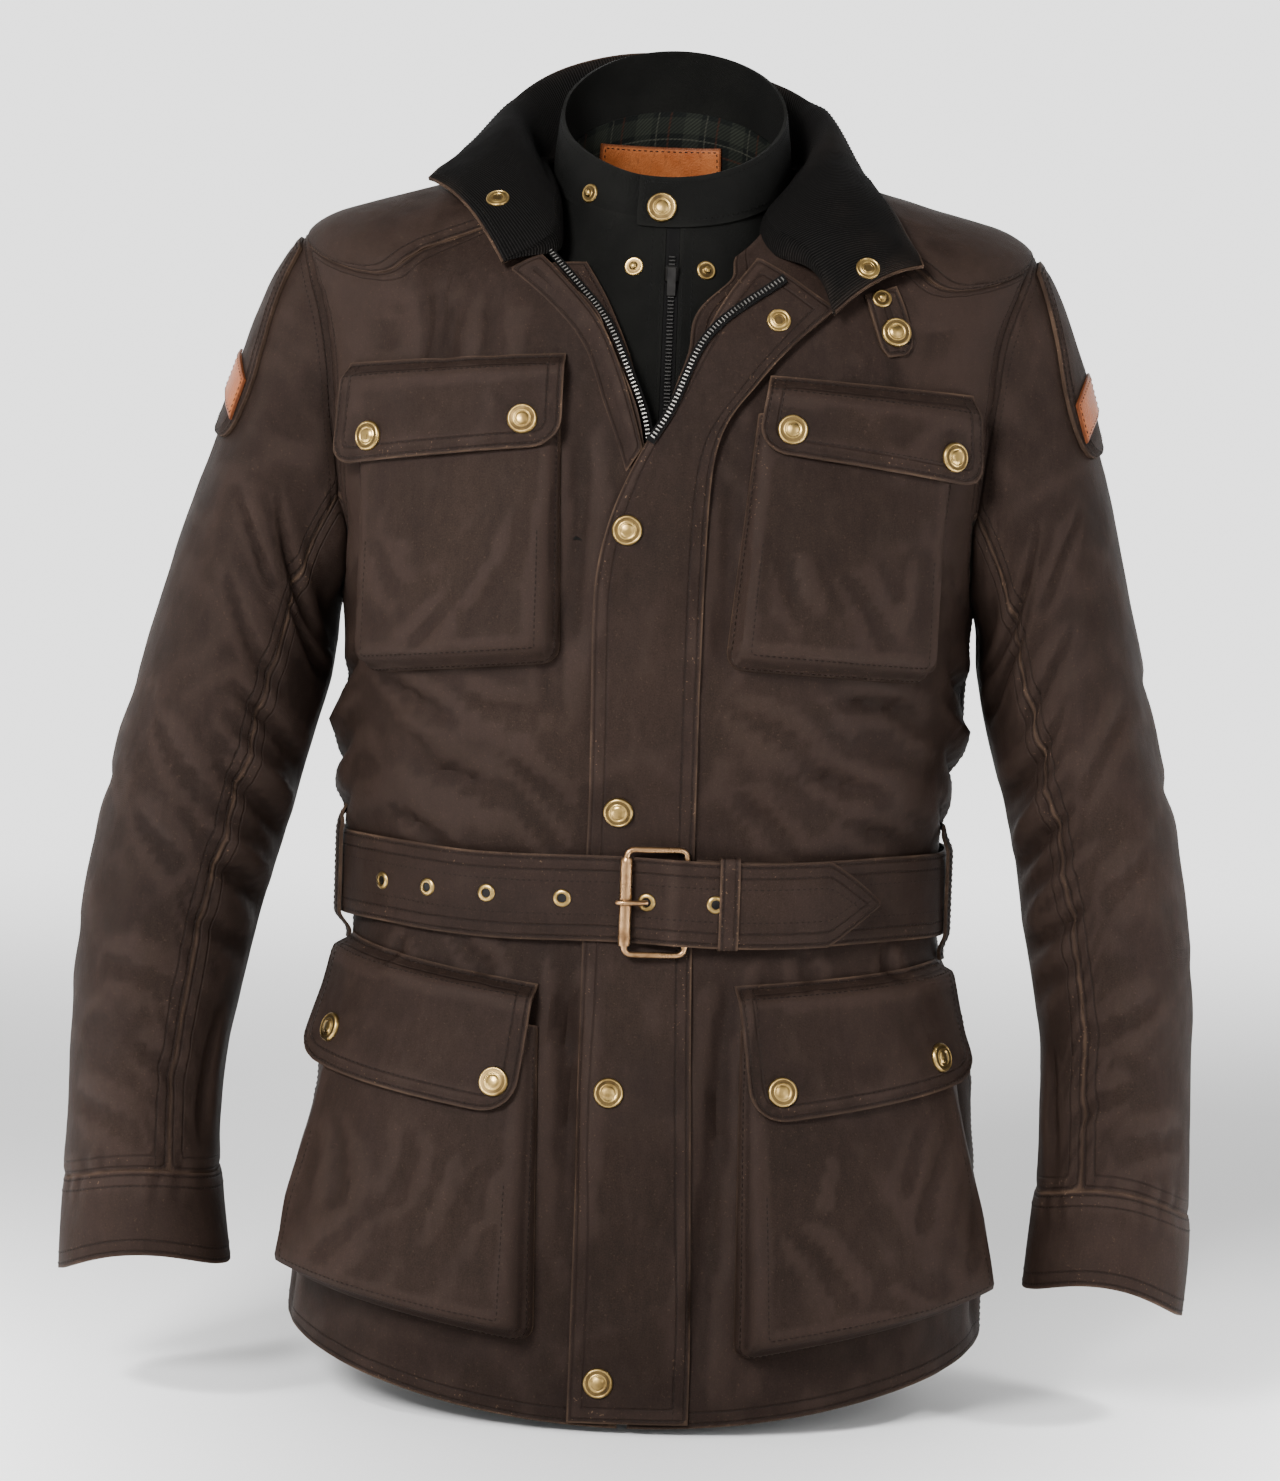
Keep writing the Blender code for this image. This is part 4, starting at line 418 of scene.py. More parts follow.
class BodyForm:
    """The jacket's body as a surface of a turn (0 at the front, +90 degrees at +X) and a ring."""

    def smooth(self, turn: Any, ring: Any) -> Points:
        """Gives the body's points without folds."""
        turn, ring = np.broadcast_arrays(np.asarray(turn, float), np.asarray(ring, float))
        columns = np.moveaxis(RINGS.at(ring), -1, 0)
        front_z, side_z, back_z, half_width, front, back, power = columns
        across, ahead = np.sin(turn), np.cos(turn)
        reach = (np.abs(across)**power + np.abs(ahead)**power)**(-1 / power)
        depth = np.where(ahead >= 0, front, back)
        middle_z = np.where(ahead >= 0, front_z, back_z)
        height = side_z * across**2 + middle_z * ahead**2
        return np.stack([half_width * reach * across, -depth * reach * ahead, height], -1)

    def arc(self, turn: Any, ring: Any) -> Points:
        """Measures along a ring from the front middle, with a sign."""
        share = np.linspace(0, 1, 17)
        turn, ring = np.broadcast_arrays(np.asarray(turn, float), np.asarray(ring, float))
        line = self.smooth(turn[..., None] * share, ring[..., None] * np.ones(share.shape))
        return np.linalg.norm(np.diff(line, axis=-2), axis=-1).sum(-1) * np.sign(turn)

    def folds(self, arc: Points, height: Points) -> Points:
        """Gives how far the solids' own folds move the cloth."""
        total = np.zeros(np.shape(arc))
        for middle, level, lean, length, width, depth in FOLDS:
            over, up = arc - middle, height - level
            along = over * math.cos(math.radians(lean)) + up * math.sin(math.radians(lean))
            cross = up * math.cos(math.radians(lean)) - over * math.sin(math.radians(lean))
            total += depth * np.exp(-(cross / width)**2 - (along / length)**4)
        return total

    def relief(self, turn: Points, ring: Points) -> Points:
        """Gives how far folds, creases and unrest move the cloth.

        Args:
            turn: Turns of the places.
            ring: Rings of the places.

        Returns:
            Distances out of the smooth body.
        """
        base = self.smooth(turn, ring)
        arc, height = self.arc(turn, ring), base[..., 2]
        total = self.folds(arc, height) + 1.5 * pressed(BODY_CREASES, arc, height, BODY_SCALE)
        calm = smoothstep(np.abs(height + 0.432), 0.015, 0.04)
        for unrest in BODY_UNREST:
            total += unrest.at(base) * calm
        return total

    def cloth(self, turn: Any, ring: Any, lift: Any = 0.0) -> tuple[Points, Points]:
        """Gives points of the creased cloth, moved out, and the smooth body's normals.

        Args:
            turn: Turns of the places.
            ring: Rings of the places.
            lift: How far to move out.

        Returns:
            The points and the normals.
        """
        turn, ring = np.broadcast_arrays(np.asarray(turn, float), np.asarray(ring, float))
        normal = facing(self.smooth, turn, ring)
        away = np.asarray(self.relief(turn, ring) + lift)[..., None]
        return self.smooth(turn, ring) + normal * away, normal

    def solve(self, measure: Surface, across: Any, height: Any, radius: float) -> tuple[Points, Points]:
        """Finds the places at which two measures have wanted values, by Newton's method.

        Args:
            measure: Gives the two measures of a turn and a ring.
            across: The wanted first measure.
            height: The wanted second measure, a height.
            radius: Turns the first measure into the first guess of the turn.

        Returns:
            The turns and the rings.
        """
        across, height = np.broadcast_arrays(np.asarray(across, float), np.asarray(height, float))
        turn, wanted = across / radius, np.stack([across, height], -1)
        ring = np.interp(height, RINGS.rows[:, 0], np.arange(len(RINGS.rows)))
        step = 1e-4
        for _ in range(8):
            here = measure(turn, ring)
            by_turn = (measure(turn + step, ring) - here) / step
            by_ring = (measure(turn, ring + step) - here) / step
            miss = here - wanted
            area = by_turn[..., 0] * by_ring[..., 1] - by_turn[..., 1] * by_ring[..., 0]
            move = (miss[..., 0] * by_ring[..., 1] - miss[..., 1] * by_ring[..., 0]) / area
            rise = (by_turn[..., 0] * miss[..., 1] - by_turn[..., 1] * miss[..., 0]) / area
            turn = turn - np.clip(move, -0.3, 0.3)
            ring = np.clip(ring - np.clip(rise, -1, 1), -0.5, NECK + 0.5)
        return turn, ring

    def at_arc(self, arc: Any, height: Any) -> tuple[Points, Points]:
        """Finds turn and ring from an arc from the front middle and a height."""
        return self.solve(lambda turn, ring: np.stack(
            [self.arc(turn, ring), self.smooth(turn, ring)[..., 2]], -1), arc, height, 0.15)

    def at_front(self, x: Any, height: Any) -> tuple[Points, Points]:
        """Finds turn and ring of a place as it is seen from the front."""
        return self.solve(lambda turn, ring: self.smooth(turn, ring)[..., [0, 2]], x, height, 0.17)

    def armhole(self, angle: Any) -> tuple[Points, Points]:
        """Gives turn and ring on the +X armhole. Angle 0 is the shoulder, +90 degrees its front."""
        across, up = np.sin(angle), np.cos(angle)
        reach = (np.abs(across)**ARMHOLE_POWER + np.abs(up)**ARMHOLE_POWER)**(-1 / ARMHOLE_POWER)
        half = np.where(across > 0, ARMHOLE_FRONT, ARMHOLE_BACK)
        ring = (ARMPIT + POINT) / 2 + (POINT - ARMPIT) / 2 * up * reach
        return math.pi / 2 - half * across * reach, ring


BODY = BodyForm()


@dataclass(frozen=True)
class ArmForm:
    """A sleeve as a surface of an angle (0 outside, +90 degrees in front) and a row."""

    side: int

    def smooth(self, angle: Any, row: Any) -> Points:
        """Gives the sleeve's points without creases."""
        angle, row = np.broadcast_arrays(np.asarray(angle, float), np.asarray(row, float))

        def plain(place: Points) -> Points:
            """Gives points of the sleeve's own rings."""
            columns = np.moveaxis(ARMS[self.side].at(place), -1, 0)
            outer_x, outer_z, inner_x, inner_z, middle_y, half_depth, arch = columns
            out = np.cos(angle)
            x = (outer_x + inner_x) / 2 + (outer_x - inner_x) / 2 * out
            z = (outer_z + inner_z) / 2 + (outer_z - inner_z) / 2 * out
            z = z + arch * np.sin(angle)**2
            return np.stack([x, middle_y - half_depth * np.sin(angle), z], -1)

        blend = (1 - smoothstep(row, 0, 2.5))[..., None]
        turn, ring = BODY.armhole(angle)
        start = BODY.cloth(turn * self.side, ring)[0] * (self.side, 1, 1) - plain(np.zeros_like(row))
        return (plain(row) + start * blend) * (self.side, 1, 1)

    def normal(self, angle: Points, row: Points) -> Points:
        """Gives unit normals that point out of the sleeve."""
        step = 2e-3
        row = np.clip(row, step, len(ARMS[self.side].rows) - 1 - step)
        return self.side * facing(self.smooth, angle, row, step)

    def relief(self, angle: Points, row: Points) -> Points:
        """Gives how far creases and unrest move the cloth."""
        around = (np.degrees(angle) + 180) % 360 - 180
        total = np.zeros(np.shape(around))
        for turned in (0, 360):
            total += pressed(ARM_CREASES[self.side], around + turned, row, ARM_SCALE)
        base = self.smooth(angle, row)
        calm = smoothstep(row, 0.0, 0.7) * (1 - 0.8 * smoothstep(row, 10.9, 11.1))
        for unrest in ARM_UNREST:
            total += unrest.at(base)
        return total * calm

    def cloth(self, angle: Any, row: Any, lift: Any = 0.0) -> tuple[Points, Points]:
        """Gives points of the creased sleeve, moved out, and its normals.

        Args:
            angle: Angles of the places.
            row: Rows of the places.
            lift: How far to move out.

        Returns:
            The points and the normals.
        """
        angle, row = np.broadcast_arrays(np.asarray(angle, float), np.asarray(row, float))
        normal = self.normal(angle, row)
        away = np.asarray(self.relief(angle, row) + lift)[..., None]
        return self.smooth(angle, row) + normal * away, normal


def patch_between(left: Points, right: Points, first: Points, last: Points) -> Points:
    """Fills a grid of places between four edges that share their corners.

    Args:
        left: Left edge, from the first row to the last.
        right: Right edge.
        first: First row, from left to right.
        last: Last row.

    Returns:
        The grid.
    """
    down = np.linspace(0, 1, len(left))[:, None, None]
    over = np.linspace(0, 1, len(first))[None, :, None]
    left, right, first, last = left[:, None], right[:, None], first[None], last[None]
    corners = (1 - down) * ((1 - over) * first[:, :1] + over * first[:, -1:])
    corners = corners + down * ((1 - over) * last[:, :1] + over * last[:, -1:])
    return (1 - over) * left + over * right + (1 - down) * first + down * last - corners


# Shaders


@dataclass(frozen=True)
class Socket:
    """A value of a shader, with the arithmetic of numbers."""

    tree: "Shader"
    out: bpy.types.NodeSocket

    def __add__(self, other: Any) -> "Socket":
        """Adds."""
        return self.tree.math("ADD", self, other)

    def __radd__(self, other: Any) -> "Socket":
        """Adds to a number."""
        return self.tree.math("ADD", other, self)

    def __sub__(self, other: Any) -> "Socket":
        """Takes away."""
        return self.tree.math("SUBTRACT", self, other)

    def __rsub__(self, other: Any) -> "Socket":
        """Is taken from a number."""
        return self.tree.math("SUBTRACT", other, self)

    def __mul__(self, other: Any) -> "Socket":
        """Multiplies."""
        return self.tree.math("MULTIPLY", self, other)

    def __rmul__(self, other: Any) -> "Socket":
        """Multiplies a number."""
        return self.tree.math("MULTIPLY", other, self)

    def __truediv__(self, other: Any) -> "Socket":
        """Divides."""
        return self.tree.math("DIVIDE", self, other)

    def __rtruediv__(self, other: Any) -> "Socket":
        """Divides a number."""
        return self.tree.math("DIVIDE", other, self)

    def rises(self, low: float, high: float) -> "Socket":
        """Rises softly from 0 at low to 1 at high."""
        node = self.tree.node(
            "ShaderNodeMapRange", {"interpolation_type": "SMOOTHSTEP"},
            {"Value": self, "From Min": low, "From Max": high},
        )
        return Socket(self.tree, node.outputs["Result"])

    def far(self) -> "Socket":
        """Loses its sign."""
        return self.tree.math("ABSOLUTE", self)


class Shader:
    """The nodes of one material."""

    def __init__(self, name: str, **constants: Any) -> None:
        """Makes the material.

        Args:
            name: Its name.
            constants: Values of the shader's own sockets, their names in snake case.
        """
        self.material = bpy.data.materials.new(name)
        self.material.use_nodes = True
        self.tree = self.material.node_tree
        self.surface = self.tree.nodes["Principled BSDF"]
        for key, value in constants.items():
            self.surface.inputs[key.replace("_", " ").title().replace("Ior", "IOR")].default_value = value
        self.place = Socket(self, self.node("ShaderNodeTexCoord").outputs["Object"])

    def node(self, kind: str, settings: dict | None = None, values: dict | None = None) -> bpy.types.Node:
        """Adds a node.

        Args:
            kind: Its type.
            settings: Its own settings, set first.
            values: Numbers, colours or sockets for its inputs, by name or number.

        Returns:
            The node.
        """
        node = self.tree.nodes.new(kind)
        for key, value in (settings or {}).items():
            setattr(node, key, value)
        for key, value in (values or {}).items():
            if isinstance(value, Socket):
                self.tree.links.new(value.out, node.inputs[key])
            else:
                node.inputs[key].default_value = value
        return node

    def math(self, operation: str, *values: Any) -> Socket:
        """Adds a Math node on one or two values."""
        node = self.node("ShaderNodeMath", {"operation": operation}, dict(enumerate(values)))
        return Socket(self, node.outputs[0])

    def noise(self, scale: float, detail: float = 3.0, rough: float = 0.5,
              stretch: tuple[float, float, float] | None = None) -> Socket:
        """Adds a noise.

        Args:
            scale: How many times it turns over in a metre.
            detail: Its finer layers.
            rough: How strong the finer layers are.
            stretch: Scales of the place's three ways.

        Returns:
            Its value, about a half.
        """
        place = self.place
        if stretch:
            node = self.node("ShaderNodeMapping", None, {"Vector": place, "Scale": stretch})
            place = Socket(self, node.outputs[0])
        values = {"Vector": place, "Scale": scale, "Detail": detail, "Roughness": rough}
        return Socket(self, self.node("ShaderNodeTexNoise", None, values).outputs[0])

    def cells(self, scale: float) -> Socket:
        """Adds the distances of a pattern of cells."""
        node = self.node("ShaderNodeTexVoronoi", None, {"Vector": self.place, "Scale": scale})
        return Socket(self, node.outputs["Distance"])

    def written(self, name: str) -> Socket:
        """Reads a number that the mesh holds at each point."""
        return Socket(self, self.node("ShaderNodeAttribute", {"attribute_name": name}).outputs["Fac"])

    def woven(self) -> tuple[Socket, Socket]:
        """Reads the cloth's own two lengths, in metres."""
        place = Socket(self, self.node("ShaderNodeUVMap", {"uv_map": "metres"}).outputs[0])
        node = self.node("ShaderNodeSeparateXYZ", None, {0: place})
        return Socket(self, node.outputs[0]), Socket(self, node.outputs[1])

    def mix(self, share: Any, first: Any, second: Any) -> Socket:
        """Mixes two colours, given as sockets or as three numbers."""
        first, second = (c if isinstance(c, Socket) else (*c, 1) for c in (first, second))
        node = self.node("ShaderNodeMix", {"data_type": "RGBA"}, {0: share, 6: first, 7: second})
        return Socket(self, node.outputs[2])

    def wear(self, colour: Any = None, roughness: Any = None, metallic: Any = None,
             height: Socket | None = None, depth: float = 0.001) -> bpy.types.Material:
        """Joins colour, roughness, metal and bump to the surface.

        Args:
            colour: Base colour.
            roughness: Roughness.
            metallic: Share of metal.
            height: Height for the bump, about 0 to 1.
            depth: Metres of bump to a height of 1.

        Returns:
            The material.
        """
        for key, value in (("Base Color", colour), ("Roughness", roughness), ("Metallic", metallic)):
            if isinstance(value, Socket):
                self.tree.links.new(value.out, self.surface.inputs[key])
        if height is not None:
            bump = self.node("ShaderNodeBump", None, {"Height": height, "Distance": depth})
            self.tree.links.new(bump.outputs[0], self.surface.inputs["Normal"])
        return self.material


@dataclass(frozen=True)
class WaxedCotton:
    """Dark waxed cotton with a fine dry grain, a little paler on its folds and at its edges, and darker along
    its pressed rows of stitches as painted shade.
    """

    name: str = "waxed_cotton"
    deep: tuple = (0.0078, 0.0047, 0.0036)
    body: tuple = (0.0205, 0.0126, 0.0096)
    pale: tuple = (0.039, 0.025, 0.0195)
    speck: tuple = (0.13, 0.08, 0.05)

    def make(self) -> bpy.types.Material:
        """Makes the material."""
        s = Shader(self.name, specular_ior_level=0.05)
        cloud = s.noise(5.0, 3.0, 0.55)
        blotch = s.noise(26.0, 4.0, 0.6)
        streak = s.noise(210.0, 3.0, 0.6, stretch=(1.0, 1.0, 0.3))
        grain = s.noise(1150.0, 2.0, 0.65)
        soft = s.noise(15.0, 2.5, 0.5)
        dust = s.noise(640.0, 1.0, 0.5).rises(0.685, 0.74)
        ridge = s.written("rub").rises(0.15, 1.0)
        edge = 1.0 - s.written("edge").rises(0.0003, 0.0016)
        near = 1.0 - s.written("edge").rises(0.004, 0.016)
        groove_and_shade = self.rows_of_stitches(s)
        shade = cloud * 0.65 + blotch * 0.3 + streak * 0.4 + grain * 0.9 + s.written("tone") - 1.125
        colour = s.mix(shade.rises(-0.42, 0.42), self.deep, self.body)
        colour = s.mix(shade.rises(0.1, 0.75) * 0.6 + ridge * 0.22, colour, self.pale)
        colour = s.mix(edge * (0.1 + blotch.rises(0.45, 0.7) * 0.25), colour, self.speck)
        colour = s.mix(dust * (0.1 + near * blotch.rises(0.45, 0.62) * 0.55), colour, self.speck)
        # painted shade: the pressed rows of stitches are darkened towards the deep colour
        colour = s.mix(groove_and_shade * 0.55, colour, self.deep)
        rough = 0.64 + (blotch - 0.5) * 0.22 + (grain - 0.5) * 0.2 - ridge * 0.05
        across, down = s.woven()
        turn = 2 * math.pi / 0.00085
        weave = s.math("SINE", across * turn) * s.math("SINE", down * turn)
        height = soft * 2.2 + blotch * 0.42 + streak * 0.035 + grain * 0.035 + weave * 0.012 - groove_and_shade * 0.11
        return s.wear(colour, rough, None, height, 0.0036)

    def rows_of_stitches(self, s: Shader) -> Socket:
        """Gives the two pressed rows beside an edge in which the stitches lie, for their bump and their
        painted shade.
        """
        edge = s.written("edge")
        rows = [1.0 - (edge - inset).far().rises(0.0, 0.0011) for inset in (NEAR_ROW, FAR_ROW)]
        return (rows[0] + rows[1]) * s.written("sewn")


@dataclass(frozen=True)
class PlainCloth:
    """A plain woven cloth, such as the black liner, zip tape or thread."""

    name: str
    dark: tuple
    light: tuple
    rough: float = 0.75
    pitch: float = 0.0009
    depth: float = 0.0004

    def make(self) -> bpy.types.Material:
        """Makes the material."""
        s = Shader(self.name, specular_ior_level=0.08)
        blotch = s.noise(30.0, 4.0, 0.6)
        grain = s.noise(700.0, 2.0, 0.6)
        across, down = s.woven()
        turn = 2 * math.pi / self.pitch
        weave = s.math("SINE", across * turn) * s.math("SINE", down * turn)
        edge = 1.0 - s.written("edge").rises(0.0004, 0.003)
        shade = blotch.rises(0.3, 0.75) * 0.4 + grain * 0.3 + edge * 0.25 + weave * 0.06
        colour = s.mix(shade, self.dark, self.light)
        rough = self.rough + (blotch - 0.5) * 0.2
        height = (blotch - 0.5).far() * 1.2 + grain * 0.1 + weave * 0.1
        return s.wear(colour, rough, None, height, self.depth * 4)


@dataclass(frozen=True)
class Corduroy:
    """Black corduroy with fine ribs that run from the neck seam to the edge. The valleys between the ribs are
    darker as painted shade, and the edges are brownish, partly from wear and partly as painted sheen.
    """

    name: str = "corduroy"
    shaded_valley: tuple = (0.0012, 0.0011, 0.0011)
    rib: tuple = (0.0082, 0.0074, 0.0068)
    # brownish tint: wear at the edges in part, painted sheen in part
    worn: tuple = (0.024, 0.017, 0.013)
    pitch: float = 0.00155

    def make(self) -> bpy.types.Material:
        """Makes the material."""
        s = Shader(self.name, specular_ior_level=0.04)
        across, _ = s.woven()
        sway = (s.noise(60.0, 2.0) - 0.5) * 0.0006
        wave = s.math("SINE", (across + sway) * (2 * math.pi / self.pitch)) * 0.5 + 0.5
        nap = s.noise(520.0, 3.0, 0.6, stretch=(1.0, 1.0, 0.35))
        blotch = s.noise(16.0, 4.0, 0.6)
        # painted shade: the valleys between the ribs are near black, the rib tops lighter
        colour = s.mix(wave * (0.4 + nap * 0.8), self.shaded_valley, self.rib)
        # brownish near the edges and in blotches, strongest on the rib tops: wear in part, painted sheen in
        # part
        wear_and_sheen = (1.0 - s.written("edge").rises(0.0, 0.012)) * blotch.rises(0.35, 0.65)
        wear_and_sheen = (wear_and_sheen * 0.35 + blotch.rises(0.5, 0.8) * 0.25) * (0.4 + wave * 0.6)
        colour = s.mix(wear_and_sheen, colour, self.worn)
        return s.wear(colour, 0.88 - wave * 0.08, None, wave + nap * 0.6, 0.0005)


@dataclass(frozen=True)
class CheckedLining:
    """Dark lining cloth with a plain crossed check of grey and rust lines."""

    name: str = "check_lining"
    ground: tuple = (0.0026, 0.0032, 0.0027)
    band: tuple = (0.013, 0.0145, 0.0105)
    line: tuple = (0.026, 0.026, 0.02)
    rust: tuple = (0.02, 0.007, 0.004)
    repeat: float = 0.03

    def stripes(self, s: Shader, length: Socket, centre: float, width: float) -> Socket:
        """Gives 1 inside a stripe that repeats along a length."""
        turned = s.math("FRACT", length / self.repeat + (1.5 - centre / self.repeat))
        return 1.0 - ((turned - 0.5).far() * self.repeat).rises(width / 2 - 0.0002, width / 2 + 0.0002)

    def make(self) -> bpy.types.Material:
        """Makes the material."""
        s = Shader(self.name, specular_ior_level=0.08)
        across, down = s.woven()
        twill = (s.math("SINE", (across + down) * (2 * math.pi / 0.0026)) * 0.5 + 0.5).rises(0.35, 0.75)
        bands = [self.stripes(s, way, 0.008, 0.01) for way in (across, down)]
        lines = [self.stripes(s, way, 0.0165, 0.0009) for way in (across, down)]
        rusts = [self.stripes(s, way, 0.024, 0.0012) for way in (across, down)]
        colour = s.mix((bands[0] + bands[1]) * (0.2 + twill * 0.36), self.ground, self.band)
        colour = s.mix(lines[0] * (0.35 + twill * 0.45), colour, self.line)
        colour = s.mix(lines[1] * (0.8 - twill * 0.45), colour, self.line)
        colour = s.mix(rusts[0] * (0.35 + twill * 0.45), colour, self.rust)
        colour = s.mix(rusts[1] * (0.8 - twill * 0.45), colour, self.rust)
        grain = s.noise(600.0, 2.0)
        return s.wear(colour, 0.78 + (grain - 0.5) * 0.2, None, twill * 0.3 + grain * 0.4, 0.0003)


@dataclass(frozen=True)
class Hide:
    """Tan leather with a pebbled grain, darker at its cut edges."""

    name: str = "leather"
    dark: tuple = (0.05, 0.013, 0.004)
    tan: tuple = (0.185, 0.046, 0.011)
    pale: tuple = (0.26, 0.08, 0.023)

    def make(self) -> bpy.types.Material:
        """Makes the material."""
        s = Shader(self.name, specular_ior_level=0.16)
        pebble = s.cells(950.0)
        blotch = s.noise(60.0, 5.0, 0.62)
        edge = 1.0 - s.written("edge").rises(0.0003, 0.0018)
        colour = s.mix(blotch.rises(0.3, 0.72), self.tan, self.pale)
        colour = s.mix(edge * 0.75 + (1.0 - pebble.rises(0.1, 0.6)) * 0.15, colour, self.dark)
        scuffs = s.noise(240.0, 3.0, 0.6, stretch=(1.0, 1.0, 0.2)).rises(0.6, 0.72)
        colour = s.mix(scuffs * 0.35, colour, self.dark)
        return s.wear(colour, 0.46 + (blotch - 0.5) * 0.3, None, pebble * 0.4 + blotch * 0.6, 0.0005)


@dataclass(frozen=True)
class OldMetal:
    """A worn metal with a darker skin in blotches."""

    name: str
    bright: tuple
    dull: tuple
    rough: float = 0.34
    skin: float = 0.5

    def make(self) -> bpy.types.Material:
        """Makes the material."""
        s = Shader(self.name, metallic=1.0)
        blotch = s.noise(70.0, 3.0, 0.6)
        fine = s.noise(1500.0, 2.0, 0.6)
        scratch = s.noise(900.0, 2.0, 0.5, stretch=(1.0, 1.0, 0.08)).rises(0.6, 0.72)
        colour = s.mix(blotch.rises(0.62 - self.skin * 0.35, 0.8 - self.skin * 0.15), self.bright, self.dull)
        colour = s.mix(scratch * 0.35, colour, self.bright)
        rough = self.rough + blotch.rises(0.35, 0.75) * 0.22 - scratch * 0.06
        metal = 1.0 - blotch.rises(0.6, 0.85) * 0.25
        return s.wear(colour, rough, metal, blotch * 0.5 + fine * 0.5, 0.00004)


WAXED = WaxedCotton()
LINER = PlainCloth("liner_cloth", (0.0018, 0.0018, 0.0015), (0.0068, 0.0066, 0.0056), 0.62)
TAPE = PlainCloth("zip_tape", (0.0014, 0.0013, 0.0013), (0.005, 0.0047, 0.0045), 0.82, 0.0012)
THREAD = PlainCloth("thread", (0.0034, 0.002, 0.0014), (0.012, 0.0074, 0.0054), 0.62)
DARK_THREAD = PlainCloth("dark_thread", (0.0012, 0.0012, 0.0011), (0.0042, 0.004, 0.0036), 0.7)
CORDUROY = Corduroy()
CHECK = CheckedLining()
LEATHER = Hide()
BRASS = OldMetal("brass", (0.38, 0.255, 0.09), (0.135, 0.084, 0.028), 0.27, 0.5)
BRASS_SKIN = OldMetal("brass_skin", (0.12, 0.078, 0.03), (0.045, 0.028, 0.011), 0.42, 0.6)
COPPER = OldMetal("antique_copper", (0.4, 0.235, 0.115), (0.12, 0.062, 0.028), 0.27, 0.55)
STEEL = OldMetal("zip_teeth", (0.42, 0.4, 0.37), (0.1, 0.095, 0.09), 0.25, 0.6)
BLACK_METAL = OldMetal("black_metal", (0.022, 0.021, 0.02), (0.009, 0.0085, 0.0085), 0.36)


# The workshop


class Wardrobe:
    """Makes each finish once."""

    def __init__(self) -> None:
        """Starts with no finish made."""
        self.made: dict[str, bpy.types.Material] = {}

    def of(self, finish: Any) -> bpy.types.Material:
        """Gives the material of a finish."""
        if finish.name not in self.made:
            self.made[finish.name] = finish.make()
        return self.made[finish.name]


def grid_faces(rows: int, columns: int, around: bool = False) -> Points:
    """Numbers the four-sided faces of a grid of points.

    Args:
        rows: Rows of the grid.
        columns: Its columns.
        around: Whether the last column joins the first.

    Returns:
        Four point numbers a face.
    """
    number = np.arange(rows * columns).reshape(rows, columns)
    after = np.roll(number, -1, axis=1) if around else number[:, 1:]
    before = number if around else number[:, :-1]
    return np.stack([before[:-1], after[:-1], after[1:], before[1:]], -1).reshape(-1, 4)


def rim_line(rows: int, columns: int) -> Points:
    """Numbers the points round the edge of a grid, in order."""
    number = np.arange(rows * columns).reshape(rows, columns)
    return np.array([*number[0, :-1], *number[:-1, -1], *number[-1, :0:-1], *number[:0:-1, 0]])


def raised(grid: Points, normal: Points, reach: int, around: bool) -> Points:
    """Measures how far each point of a grid stands over those about it.

    Args:
        grid: The points.
        normal: Their normals.
        reach: How many points away to look.
        around: Whether the columns close on themselves.

    Returns:
        The distances.
    """
    mode = {"mode": "wrap"} if around else {"mode": "reflect", "reflect_type": "odd"}
    wide = np.pad(grid, ((0, 0), (reach, reach), (0, 0)), **mode)
    tall = np.pad(grid, ((reach, reach), (0, 0), (0, 0)), mode="reflect", reflect_type="odd")
    near = wide[:, 2 * reach:] + wide[:, :-2 * reach] + tall[2 * reach:] + tall[:-2 * reach]
    return ((grid - near / 4) * normal).sum(-1)


def edge_distance(grid: Points, around: bool) -> Points:
    """Measures each point's distance to the grid's nearest edge, along the grid's lines."""
    down = lengths_along(grid)
    distance = np.minimum(down, down[-1] - down)
    if not around:
        over = lengths_along(grid, 1)
        distance = np.minimum(distance, np.minimum(over, over[:, -1:] - over))
    return distance


def pressed_edge(outer: Points, normal: Points, *dips: tuple[float, float, float]) -> Points:
    """Presses a panel in along its edges.

    Args:
        outer: The panel's outer grid.
        normal: Its normals.
        dips: Depth, distance from the edge and half width of each dip.

    Returns:
        The pressed grid.
    """
    edge = edge_distance(outer, False)
    deep = sum(depth * np.exp(-((edge - inset) / width)**2) for depth, inset, width in dips)
    return outer - normal * deep[..., None]


def lengths_over(grid: Points) -> Points:
    """Gives each point of a grid its lengths along the rows and down the columns."""
    over = lengths_along(grid, 1)
    return np.stack([over - over.mean(), lengths_along(grid)], -1)


def mesh_thing(name: str, points: Points, faces: list, *materials: bpy.types.Material) -> bpy.types.Object:
    """Makes a smooth object from points and faces, not yet in the scene.

    Args:
        name: Its name.
        points: Its points.
        faces: Its faces, as rows of point numbers.
        materials: Its materials, the first of them used where a face names none.

    Returns:
        The object.
    """
    data = bpy.data.meshes.new(name)
    data.from_pydata(points.tolist(), [], faces)
    data.polygons.foreach_set("use_smooth", np.full(len(data.polygons), True))
    for material in materials:
        data.materials.append(material)
    return bpy.data.objects.new(name, data)


